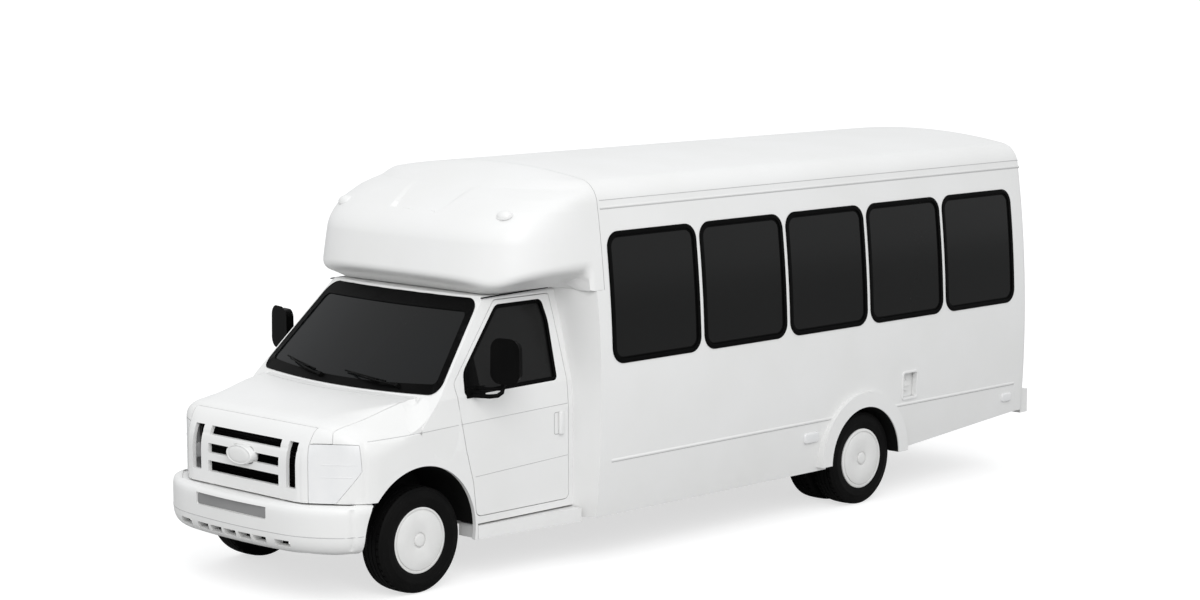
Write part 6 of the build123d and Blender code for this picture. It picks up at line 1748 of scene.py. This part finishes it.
@dataclass
class RearArches:
    """The black lining inside each rear flare, and what dresses the fuel filler's recess."""

    radius: float = 0.417
    wall: float = 0.005
    reach: Point2 = (1.060, 1.236)
    foot: float = 0.376
    floor_x: float = 1.158
    recess: tuple[Point2, Point2] = ((2.040, 0.790), (2.220, 1.000))
    cap_at: Point2 = (2.104, 0.893)
    cap_radius: float = 0.046
    rim_lap: float = 0.014
    floor_gap: float = 0.006

    def build(self) -> None:
        """Makes the linings and the filler."""
        for side, sign in SIDES.items():
            self._lining(side, sign)
        self._filler()

    def _lining(self, side: str, sign: int) -> None:
        """A half round lining from foot to foot.

        Args:
            side: Left or right.
            sign: 1 on the left, -1 on the right.
        """
        (inner, outer), low = self.reach, self.radius - self.wall
        section = [(inner, low), (outer, low), (outer, self.radius), (inner, self.radius)]
        shaper = Shaper()
        shaper.spin(section, (0, REAR_AXLE_Y, AXLE_Z), 96)
        shaper.trim((0, 0, self.foot), (0, 0, -1))
        shaper.cap_holes()
        shaper.piece(f"rear_arch_lining_{side}", UNDERSIDE, slot=Slot.TRIM, sign=sign)

    def _filler(self) -> None:
        """A raised rim round the recess, its floor and the round cap."""
        (y0, z0), (y1, z1) = self.recess
        rim, lap = Shaper(), self.rim_lap
        rim.ring(upright((y0 - lap, z0 - lap), (y1 + lap, z1 + lap)), 0.034, 0.020, (0.016, 0, 0))
        rim.soften(0.004, 3, 45)
        rim.warp(lambda p: (side_x(p.z) - 0.008 + p.x, p.y, p.z))
        rim.piece("fuel_recess_rim", PAINT)
        floor, gap = Shaper(), self.floor_gap
        outline = upright((y0 + gap, z0 + gap), (y1 - gap, z1 - gap), self.floor_x)
        floor.slab(outline, 0.02, (0.004, 0, 0))
        floor.piece("fuel_recess_floor", PAINT)
        cap, r, (y, z) = Shaper(), self.cap_radius, self.cap_at
        section = [(0.0, 0.0), (0.0, r * 1.1), (0.006, r * 1.1), (0.008, r), (0.026, r * 0.96),
                   (0.031, r * 0.88), (0.031, 0.0)]
        cap.spin(section, (self.floor_x + 0.003, y, z), 48, closed=False)
        cap.box((self.floor_x + 0.030, y - r * 0.72, z - 0.008),
                (self.floor_x + 0.042, y + r * 0.72, z + 0.008), 0.004)
        cap.piece("fuel_cap", COVER, slot=Slot.PAINT)


# ---- Nose ----------------------------------------------------------------------------------------


@dataclass
class Nose:
    """What dresses the grille, headlamps and bumper."""

    boss_z: float = 0.960
    boss_half: Point2 = (0.137, 0.068)
    face_y: float = -3.720
    recess_z: float = 0.617
    recess_half: Point2 = (0.374, 0.039)
    crease_z: float = 0.492
    valance_z: float = 0.680
    lamp_lines: tuple[Point3, ...] = ((0.735, 0.925, 0.968), (0.730, 0.900, 0.884))
    lamp_rise: float = 0.012
    backings: tuple[tuple[Point3, Point3], ...] = (
        ((-0.600, -3.600, 0.730), (0.600, -3.585, 1.150)),
        ((-0.450, -3.700, 0.380), (0.450, -3.690, 0.470)))
    wire_y: float = -3.605
    wire_half: float = 0.590
    wire_z: Point2 = (0.750, 1.130)
    wire_count: int = 19
    boss_section: tuple[Point2, ...] = (
        (-0.020, 0.0), (-0.020, 1.0), (0.030, 1.0), (0.038, 0.97), (0.0405, 0.93),
        (0.0395, 0.88), (0.0365, 0.86), (0.0365, 0.83), (0.0390, 0.80), (0.0425, 0.60),
        (0.0445, 0.30), (0.0450, 0.0))

    def build(self) -> None:
        """Makes every piece of the nose."""
        self._backing()
        self._boss()
        self._bumper_shade_line()
        self._plate_recess()
        self._valance()
        self._lamp_creases()

    def _backing(self) -> None:
        """The black mesh behind the grille's slots and the bumper's, with the cells of its core."""
        shaper = Shaper()
        for low, high in self.backings:
            shaper.box(low, high, 0.004)
        for z in stretch(*self.wire_z, self.wire_count):
            shaper.rod([(-self.wire_half, self.wire_y, z), (self.wire_half, self.wire_y, z)],
                       0.004, 6)
        shaper.piece("grille_backing", PLASTIC)

    def _lamp_creases(self) -> None:
        """The two creases across each headlamp's lens."""
        skin = Skin("headlamps")
        for side, sign in SIDES.items():
            for i, (start, end, z) in enumerate(self.lamp_lines, 1):
                shaper = Shaper()
                path = [skin.ahead(x, z + self.lamp_rise * (x - start), -0.0012)
                        for x in stretch(start, end, 8)]
                shaper.rod(path, 0.0032, 10)
                shaper.piece(f"headlamp_crease_{side}_{i}", LENS, sign=sign)

    def _boss(self) -> None:
        """The plain oval boss: a rim, a groove and a low crown."""
        shaper = Shaper()
        shaper.spin(self.boss_section, (0, 0, 0), 64, closed=False)
        half, rise = self.boss_half
        shaper.warp(lambda p: (p.y * half, self.face_y - p.x, self.boss_z + p.z * rise))
        shaper.piece("grille_boss_plate", PAINT, crease=50.0)

    def _bumper_shade_line(self) -> None:
        """A grey rod along the bumper: painted shade of its crease."""
        skin = Skin("front_bumper")
        shaper = Shaper()
        middle = [skin.ahead(x, self.crease_z, -0.0015) for x in stretch(-0.700, 0.700, 20)]
        side = [skin.beside(1, y, self.crease_z, -0.0015) for y in stretch(-3.750, -3.480, 8)]
        left = [p for p in side if p[0] > 0.735]
        right = [(-x, y, z) for x, y, z in reversed(left)]
        shaper.rod([*right, *middle, *left], 0.0035, 8)
        # Grey painted shade in place of the crease's shadow.
        shaper.piece("bumper_crease_shade", SHADOW)

    def _valance(self) -> None:
        """The panel that closes the gap between the bumper's top and the nose."""
        shaper, form, z = Shaper(), BumperForm(), self.valance_z
        middle_y, radius = FRONT_AXLE_Y + form.bow_back, form.bow_radius - 0.055
        front = [(x, middle_y - math.sqrt(radius**2 - x * x), z)
                 for x in stretch(-0.730, 0.730, 24)]
        rear = [(0.900, -3.600, z), (0.880, -3.470, z), (-0.880, -3.470, z), (-0.900, -3.600, z)]
        shaper.slab([*front, *rear], 0.0, (0, 0, 0.012))
        shaper.piece("bumper_valance", PAINT)

    def _plate_recess(self) -> None:
        """The floor of the shallow recess in the bumper's face, with its rounded ends, in grey that
        paints the recess's shade.
        """
        shaper, skin = Shaper(), Skin("front_bumper")
        half, rise = self.recess_half
        shaper.slab(facing((0.0, self.recess_z), half, rise), 0.02, (0, 0.004, 0))
        shaper.cuts(0, stretch(-half, half, 12))
        shaper.warp(lambda p: (p.x, skin.ahead(p.x, self.recess_z)[1] - 0.0035 + p.y, p.z))
        shaper.piece("bumper_recess_shaded_floor", RECESS_SHADE)


# ---- Cab doors and mirrors -----------------------------------------------------------------------


@dataclass
class CabDoors:
    """What dresses the cab doors: grey lines of painted shade for the creases, handles, seals,
    sails and mirrors.

    Outlines are (along, up).
    """

    glass: tuple[Point2, ...] = ((-2.545, 1.338), (-2.520, 1.500), (-2.104, 1.912), (-1.662, 1.912),
                                 (-1.634, 1.760), (-1.655, 1.352))
    glass_grow: Point2 = (1.014, 1.02)
    sail: tuple[Point2, ...] = ((-2.543, 1.326), (-2.514, 1.500), (-2.402, 1.620), (-2.392, 1.326))
    belt: Point2 = (0.985, 1.330)
    lean: float = 0.2815
    shoulder_line: tuple[Point2, ...] = ((-3.400, 1.120), (-2.613, 1.144), (-1.555, 1.170))
    sill_line: tuple[Point2, ...] = ((-2.500, 0.760), (-1.555, 0.795))
    handle_y: Point2 = (-1.662, -1.620)
    handle_z: Point2 = (0.954, 1.121)
    head: Point3 = (1.214, -2.361, 1.585)
    head_size: Point3 = (0.200, 0.072, 0.272)
    head_turn: float = 0.21
    head_taper: float = 0.94
    glass_lap: float = 0.018
    arm: tuple[Point3, ...] = (
        (1.168, -2.365, 1.460), (1.172, -2.366, 1.395), (1.171, -2.374, 1.362),
        (1.155, -2.402, 1.341), (1.110, -2.435, 1.334), (0.980, -2.492, 1.334))
    stay: tuple[Point3, ...] = (
        (1.170, -2.370, 1.385), (1.120, -2.398, 1.383), (0.982, -2.450, 1.378))

    def build(self) -> None:
        """Makes the doors' trim on both sides."""
        for side, sign in SIDES.items():
            body = Body(f"cab_door_{side}")
            self._creases(side, sign, body)
            self._handle(side, sign, body)
            self._glass_frame(side, sign, body)
            self._mirror(side, sign, body)

    def _line(self, name: str, sign: int, skin: Skin, start: Point2, end: Point2,
              body: Body) -> None:
        """A grey rod laid along a skin, the painted shade of a crease.

        Args:
            name: The piece's name.
            sign: 1 on the left, -1 on the right.
            skin: The skin it lies on.
            start: Its front end, along and up.
            end: Its rear end.
            body: The body it rides on.
        """
        (y0, z0), (y1, z1) = start, end
        shaper = Shaper()
        path = [skin.beside(sign, y0 + (y1 - y0) * s, z0 + (z1 - z0) * s, -0.0018)
                for s in stretch(0, 1, 14)]
        shaper.rod(path, 0.0032, 8)
        # Grey rod: painted shade standing in for the crease's shadow.
        shaper.piece(name, SHADOW, body)

    def _creases(self, side: str, sign: int, body: Body) -> None:
        """Painted shade lines for the shoulder and sill creases of a fender and its door.

        Args:
            side: Left or right.
            sign: 1 on the left, -1 on the right.
            body: The door.
        """
        wing, door = Skin("fenders", "cab_shell"), Skin(f"cab_door_{side}")
        (y0, z0), (y1, z1), (y2, z2) = self.shoulder_line
        self._line(f"fender_crease_shade_{side}", sign, wing, (y0, z0), (y1 - 0.012, z1), Body.VEHICLE)
        self._line(f"door_crease_shade_{side}", sign, door, (y1 + 0.012, z1), (y2 - 0.008, z2), body)
        (y0, z0), (y1, z1) = self.sill_line
        self._line(f"door_sill_crease_shade_{side}", sign, door, (y0 + 0.03, z0), (y1 - 0.010, z1), body)

    def _handle(self, side: str, sign: int, body: Body) -> None:
        """An upright handle and, ahead of it, a grey ring of painted shade round its dished cup.

        Args:
            side: Left or right.
            sign: 1 on the left, -1 on the right.
            body: The door.
        """
        (y0, y1), (z0, z1) = self.handle_y, self.handle_z
        cup = Shaper()
        outline = upright((y0 - 0.040, z0 + 0.002), (y1 + 0.006, z1 - 0.002))
        cup.ring(outline, 0.016, 0.006, (0.004, 0, 0))
        cup.warp(lambda p: (1.0 - 0.0028 + p.x, p.y, p.z))
        # The cup's outline is a grey ring of painted shade.
        cup.piece(f"handle_cup_shade_{side}", SHADOW, body, sign=sign)
        bar = Shaper()
        bar.box((0.998, y0, z0), (1.026, y1, z1), 0.012, 4)
        bar.piece(f"door_handle_{side}", PAINT, body, sign=sign)

    def _upper_x(self, z: float) -> float:
        """Half width of the cab above its belt."""
        return self.belt[0] - self.lean * (z - self.belt[1])

    def _glass_frame(self, side: str, sign: int, body: Body) -> None:
        """The seal round a door's glass and the sail at its front corner.

        Args:
            side: Left or right.
            sign: 1 on the left, -1 on the right.
            body: The door.
        """
        seal, corners = Shaper(), len(self.glass)
        y0, z0 = sum(y for y, _ in self.glass) / corners, sum(z for _, z in self.glass) / corners
        longer, higher = self.glass_grow
        grown = [(0, y0 + (y - y0) * longer, z0 + (z - z0) * higher) for y, z in self.glass]
        seal.ring(grown, 0.035, 0.026, (0.017, 0, 0))
        seal.soften(0.003, 2, 45)
        seal.cuts(2, stretch(1.36, 1.90, 6))
        seal.warp(lambda p: (self._upper_x(p.z) + p.x - 0.0145, p.y, p.z))
        seal.piece(f"door_glass_seal_{side}", RUBBER_TRIM, body, sign=sign)
        sail = Shaper()
        sail.slab([(0, y, z) for y, z in self.sail], 0.012, (0.012, 0, 0))
        sail.soften(0.004, 2, 45)
        sail.warp(lambda p: (self._upper_x(p.z) + p.x - 0.012, p.y, p.z))
        sail.piece(f"door_sail_{side}", PLASTIC, body, sign=sign)

    def _mirror(self, side: str, sign: int, body: Body) -> None:
        """A mirror: its head, the glass in its back and the loop that carries it.

        Args:
            side: Left or right.
            sign: 1 on the left, -1 on the right.
            body: The door.
        """
        x, y, z = self.head
        wide, deep, high = (size / 2 for size in self.head_size)
        head, at = Shaper(), (x, z)
        head.slab(facing(at, wide, high, y - deep, self.head_taper), 0.055, (0, 2 * deep, 0), 10)
        back = [f for f in head.bm.faces if f.calc_center_median().y > y + deep - 1e-4]
        bmesh.ops.inset_region(head.bm, faces=back, thickness=0.014, depth=0.0)
        bmesh.ops.inset_region(head.bm, faces=back, thickness=0.003, depth=-0.010)
        head.soften(0.024, 5, 60, lambda p: p.y < y)
        turn = Matrix.Rotation(self.head_turn, 3, "Z")
        bmesh.ops.rotate(head.bm, cent=(x, y, z), matrix=turn, verts=head.bm.verts)
        head.rod(self.arm, 0.0155, 12)
        head.rod(self.stay, 0.0115, 10)
        head.box((0.968, -2.536, 1.316), (0.996, -2.360, 1.390), 0.009, 3)
        head.piece(f"mirror_head_{side}", PLASTIC, body, sign=sign, replaces=(f"mirror_{side}",))
        glass, lap = Shaper(), self.glass_lap
        outline = facing(at, wide - lap, high - lap, y + deep - 0.0098, self.head_taper)
        glass.slab(outline, 0.040, (0, 0.003, 0))
        bmesh.ops.rotate(glass.bm, cent=(x, y, z), matrix=turn, verts=glass.bm.verts)
        glass.piece(f"mirror_glass_{side}", MIRROR, body, sign=sign)


# ---- Seats and steering wheel --------------------------------------------------------------------


@dataclass
class Seats:
    """Padded cab seats and benches on their frames.

    Sections are (behind the seat's front, above its top), and legs are offsets from its middle.
    """

    cab_x: float = 0.440
    cab_front: float = -2.160
    cab_top: float = 1.140
    cab_width: float = 0.470
    cab_floor: float = 0.720
    bench_front: float = -1.210
    bench_pitch: float = 0.785
    bench_top: float = 1.180
    bench_width: float = 0.860
    bench_inner: float = 0.260
    bench_floor: float = 0.760
    first_row: ClassVar[dict[str, int]] = {"left": 0, "right": 1}
    rows: int = 6
    cushion: tuple[Point2, ...] = ((0.010, -0.092), (0.010, -0.012), (0.392, -0.012),
                                   (0.402, -0.092))
    back: tuple[Point2, ...] = ((0.420, 0.010), (0.494, 0.690), (0.556, 0.690), (0.512, 0.010))
    voxel: float = 0.010
    pressure: float = 4.0
    swell: float = 0.012
    channel: float = 0.006
    channel_half: float = 0.011
    bolster: Point2 = (0.2, 0.8)
    frames: int = 20
    cab_legs: Point2 = (-0.145, 0.145)
    bench_legs: Point2 = (0.09, 0.37)

    def build(self) -> None:
        """Makes the pads once for each kind, places them, and builds the frames under them."""
        kinds = {
            "cab_cushion": self._pad("cab_cushion", self.cushion, self.cab_width, 1),
            "cab_back": self._pad("cab_back", self.back, self.cab_width, 1),
            "bench_cushion": self._pad("bench_cushion", self.cushion, self.bench_width, 2),
            "bench_back": self._pad("bench_back", self.back, self.bench_width, 2),
        }
        cab, benches = Shaper(), Shaper()
        for side, sign in SIDES.items():
            at = (sign * self.cab_x, self.cab_front, self.cab_top)
            self._place(kinds, "cab", side, at)
            self._frame(cab, at, self.cab_width, self.cab_floor, self.cab_legs)
            x = sign * (self.bench_inner + self.bench_width / 2)
            legs = sorted(-sign * leg for leg in self.bench_legs)
            for row in range(self.first_row[side], self.rows):
                at = (x, self.bench_front + row * self.bench_pitch, self.bench_top)
                self._place(kinds, "bench", f"{side}_{row + 1}", at)
                self._frame(benches, at, self.bench_width, self.bench_floor, legs)
        cab.piece("cab_seat_frames", DASH, replaces=("cab_seats",))
        benches.piece("bench_frames", DASH, replaces=("passenger_seats",))

    def _pad(self, name: str, section: Sequence[Point2], width: float,
             places: int) -> bpy.types.Mesh:
        """A stuffed pad at the origin: a remeshed block, blown up as cloth and sewn into channels.

        Args:
            name: The mesh's name.
            section: Its side view.
            width: Its width.
            places: How many people it seats.

        Returns:
            The mesh.
        """
        shaper, half = Shaper(), width / 2 - 0.012
        shaper.slab([(-half, y, z) for y, z in section], 0.022, (2 * half, 0, 0), 4)
        shaper.soften(0.018, 3, 60)
        bmesh.ops.recalc_face_normals(shaper.bm, faces=shaper.bm.faces)
        pad = shaper.put(name)
        remesh = pad.modifiers.new("remesh", "REMESH")
        remesh.mode, remesh.voxel_size = "VOXEL", self.voxel
        flat = self._baked(pad)
        pad.modifiers.clear()
        pad.data = flat
        rest = [v.co.copy() for v in flat.vertices]
        self._blow_up(pad, rest)
        self._sew(pad.data, width, places, section)
        bpy.data.objects.remove(pad)
        log.info("%s: stuffed, %d points", name, len(rest))
        return flat

    def _baked(self, pad: bpy.types.Object) -> bpy.types.Mesh:
        """The object's mesh with its modifiers applied."""
        graph = bpy.context.evaluated_depsgraph_get()
        return bpy.data.meshes.new_from_object(pad.evaluated_get(graph), depsgraph=graph)

    def _blow_up(self, pad: bpy.types.Object, rest: Sequence[Vector]) -> None:
        """Fills a pad with air as a cloth bag, and keeps each point near its rest place.

        Args:
            pad: The pad.
            rest: Where its points are before.
        """
        cloth = pad.modifiers.new("cloth", "CLOTH")
        cloth.settings.use_pressure = True
        cloth.settings.uniform_pressure_force = self.pressure
        cloth.settings.effector_weights.gravity = 0.0
        cloth.settings.quality = 5
        cloth.point_cache.frame_start, cloth.point_cache.frame_end = 1, self.frames
        for step in range(1, self.frames + 1):
            bpy.context.scene.frame_set(step)
        blown = self._baked(pad)
        pad.modifiers.clear()
        for vert, moved, start in zip(pad.data.vertices, blown.vertices, rest):
            shift = moved.co - start
            vert.co = start + shift * min(1.0, self.swell / max(shift.length, 1e-9))
        bpy.context.scene.frame_set(1)

    def _sew(self, mesh: bpy.types.Mesh, width: float, places: int,
             section: Sequence[Point2]) -> None:
        """Presses sewn channels into a pad, between bolster and seat and between the places.

        Args:
            mesh: The pad's mesh.
            width: Its width.
            places: How many people it seats.
            section: Its side view.
        """
        share = width / places
        lines = [-width / 2 + share * i for i in range(1, places)]
        for i in range(places):
            lines += [-width / 2 + share * (i + s) for s in self.bolster]
        middle = Vector((0, sum(y for y, _ in section) / 4, sum(z for _, z in section) / 4))
        for vert in mesh.vertices:
            near = min(abs(vert.co.x - line) for line in lines)
            depth = self.channel * math.exp(-((near / self.channel_half) ** 2))
            inwards = Vector((0, middle.y - vert.co.y, middle.z - vert.co.z))
            vert.co += inwards.normalized() * depth

    def _place(self, kinds: dict[str, bpy.types.Mesh], kind: str, label: str, at: Point3) -> None:
        """Puts a copy of a seat's cushion and back at a place.

        Args:
            kinds: The stuffed meshes by name.
            kind: Cab or bench.
            label: What tells this seat from the others.
            at: The middle of the front of its top.
        """
        for part in ("cushion", "back"):
            shaper = Shaper()
            shaper.bm.from_mesh(kinds[f"{kind}_{part}"])
            bmesh.ops.translate(shaper.bm, verts=shaper.bm.verts, vec=at)
            made = shaper.piece(f"{kind}_{part}_{label}", FABRIC, crease=80.0)

    def _frame(self, shaper: Shaper, at: Point3, width: float, floor: float, legs: Point2) -> None:
        """A seat's pan, back shell, legs and foot rails.

        Args:
            shaper: The mesh that holds the frames.
            at: The middle of the front of the seat's top.
            width: The seat's width.
            floor: Height of the floor under it.
            legs: Where the outer faces of its legs are, across the seat.
        """
        x, y, z = at
        half = width / 2 - 0.006
        shaper.box((x - half, y + 0.015, z - 0.110), (x + half, y + 0.495, z - 0.093), 0.006)
        shell = [(0.506, -0.095), (0.562, 0.680), (0.572, 0.680), (0.518, -0.095)]
        outline = [(x - half, y + back, z + up) for back, up in shell]
        shaper.slab(outline, 0.003, (2 * half, 0, 0), 2)
        shaper.rod([(x - half + 0.03, y + 0.505, z), (x + half - 0.03, y + 0.505, z)], 0.014, 10)
        for leg in legs:
            for start, end in ((0.080, 0.115), (0.365, 0.400)):
                shaper.box((x + leg - 0.018, y + start, floor),
                           (x + leg + 0.018, y + end, z - 0.108), 0.006)
            shaper.box((x + leg - 0.024, y + 0.060, floor),
                       (x + leg + 0.024, y + 0.420, floor + 0.018), 0.005)


@dataclass
class SteeringWheel:
    """The steering wheel on its column."""

    centre: Point3 = (0.440, -2.340, 1.175)
    tilt: Point3 = (0.0, 0.8, 0.6)
    rim: float = 0.195
    tube: float = 0.015
    spokes: Point3 = (0.0, 2.2, 4.083)
    column: float = 0.30
    hub: tuple[Point2, ...] = (
        (0.004, 0.0), (0.002, 0.045), (-0.008, 0.062), (-0.030, 0.066), (-0.050, 0.050),
        (-0.060, 0.030))

    def build(self) -> None:
        """Makes the rim, spokes, hub and column."""
        shaper = Shaper()
        section = [(self.tube * math.cos(a), self.rim + self.tube * math.sin(a))
                   for a in (math.tau * i / 12 for i in range(12))]
        shaper.spin(section, (0, 0, 0), 72)
        for turn in self.spokes:
            heading = Vector((0, math.cos(turn), math.sin(turn)))
            dish = Vector((-0.02, 0, 0))
            path = [heading * 0.03 + dish, heading * 0.11 + dish, heading * self.rim]
            shaper.rod([tuple(p) for p in path], 0.017, 10, 0.45)
        hub = [*self.hub, (-self.column, 0.028), (-self.column, 0.0)]
        shaper.spin(hub, (0, 0, 0), 40, closed=False)
        tilt = Vector(self.tilt).to_track_quat("X", "Z").to_matrix().to_4x4()
        place = Matrix.Translation(self.centre) @ tilt
        bmesh.ops.transform(shaper.bm, matrix=place, verts=shaper.bm.verts)
        shaper.piece("steering_wheel_rim", DASH, replaces=("steering_wheel",))


# ---- Rear end and entry --------------------------------------------------------------------------


@dataclass
class RearEnd:
    """What dresses the rear wall: the door's seal and handle, lamp bezels and marker lamps."""

    lamp_x: float = 0.960
    lamp_z: float = 1.020
    lamp_half: Point2 = (0.055, 0.165)
    lamp_round: float = 0.050
    marker_x: tuple[float, ...] = (-0.92, -0.16, 0.0, 0.16, 0.92)
    marker_z: float = 2.640
    handle_at: Point2 = (-0.345, 1.180)

    def build(self) -> None:
        """Makes every piece of the rear end."""
        self._door_seal()
        self._door_handle()
        self._bezels()
        self._markers()

    def _door_seal(self) -> None:
        """The black frame round the rear door's glass, with its inner lip."""
        low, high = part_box("rear_door_glass")
        face_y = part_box("rear_door")[1][1]
        x, z = (low[0] + high[0]) / 2, (low[2] + high[2]) / 2
        half, rise = (high[0] - low[0]) / 2, (high[2] - low[2]) / 2
        shaper = Shaper()
        for grow, corner, width, deep in ((0.005, 0.070, 0.034, 0.016),
                                          (-0.029, 0.045, 0.012, 0.010)):
            outline = facing((x, z), half + grow, rise + grow, high[1] - 0.004)
            shaper.ring(outline, corner, width, (0, deep, 0))
        shaper.soften(0.003, 3)
        shaper.warp(lambda p: (p.x, min(p.y, face_y + 0.006), p.z))
        shaper.piece("rear_door_glass_seal", RUBBER_TRIM, Body.REAR_DOOR)

    def _door_handle(self) -> None:
        """A lever handle on its dished plate."""
        x, z = self.handle_at
        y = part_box("rear_door")[1][1]
        shaper = Shaper()
        shaper.slab(facing((x, z), 0.040, 0.085, y - 0.001), 0.02, (0, 0.006, 0))
        shaper.soften(0.003, 3, 50)
        shaper.box((x - 0.022, y + 0.002, z - 0.016), (x + 0.022, y + 0.030, z + 0.016), 0.007, 3)
        shaper.box((x - 0.016, y + 0.018, z - 0.062), (x + 0.016, y + 0.032, z + 0.020), 0.006, 3)
        shaper.piece("rear_door_handle", PLASTIC, Body.REAR_DOOR)

    def _bezels(self) -> None:
        """Raised white rims round the tail lamps, and the dividers of their lenses."""
        for side, sign in SIDES.items():
            half, rise = self.lamp_half
            bezel = Shaper()
            at = (self.lamp_x, self.lamp_z)
            outline = facing(at, half + 0.016, rise + 0.016, TAIL_Y - 0.004)
            bezel.ring(outline, self.lamp_round + 0.014, 0.017, (0, 0.018, 0))
            bezel.soften(0.006, 3, 50)
            bezel.piece(f"tail_lamp_bezel_{side}", PAINT, sign=sign)
            split = Shaper()
            for z in (self.lamp_z - 0.055, self.lamp_z + 0.055):
                split.box((self.lamp_x - half + 0.004, TAIL_Y + 0.012, z - 0.003),
                          (self.lamp_x + half - 0.004, TAIL_Y + 0.0235, z + 0.003), 0.001, 1)
            split.piece(f"tail_lamp_divider_{side}", PLASTIC, sign=sign)

    def _markers(self) -> None:
        """A row of small lamps along the top of the rear wall."""
        skin = Skin("rear_wall", "roof")
        for i, x in enumerate(self.marker_x, 1):
            z = self.marker_z - (0.06 if abs(x) > 0.5 else 0.0)
            y = skin.behind(x, z)
            shaper = Shaper()
            shaper.slab(facing((x, z), 0.045, 0.017, y - 0.006), 0.016, (0, 0.022, 0))
            shaper.soften(0.008, 4, 50)
            shaper.piece(f"rear_marker_{i}", RED_LENS)


@dataclass
class EntryTrim:
    """The seal where the entry leaves meet, and a rain rail over the opening."""

    seal_y: float = -0.900
    low: float = 0.400
    high: float = 2.310
    rail: tuple[Point2, ...] = ((-1.320, 2.372), (-0.480, 2.372))

    def build(self) -> None:
        """Makes the seal and the rail."""
        for label, body, shift in (("front", Body.ENTRY_FRONT, -0.004),
                                   ("rear", Body.ENTRY_REAR, 0.004)):
            y = self.seal_y + shift
            shaper = Shaper()
            stations = stretch(self.low, self.high, 10)
            for z0, z1 in zip(stations, stations[1:]):
                shaper.rod([(-side_x(z0) - 0.001, y, z0), (-side_x(z1) - 0.001, y, z1)], 0.0035, 8)
            shaper.piece(f"entry_seal_{label}", RUBBER_TRIM, body)
        rail = Shaper()
        (y0, z0), (y1, z1) = self.rail
        rail.rod([(-side_x(z0) - 0.002, y0, z0), (-side_x(z1) - 0.002, y1, z1)], 0.008, 10, 0.7)
        rail.piece("entry_rain_rail", PAINT)


def main() -> None:
    """Builds the studio and every sub-assembly in order."""
    Studio().build()
    Carried().build()
    Cap().build()
    PillarFoot().build()
    Windscreen().build()
    SideGlazing().build()
    Mouldings().build()
    Wheels().build()
    RearArches().build()
    Nose().build()
    CabDoors().build()
    Seats().build()
    SteeringWheel().build()
    RearEnd().build()
    EntryTrim().build()


if __name__ == "__main__":
    main()
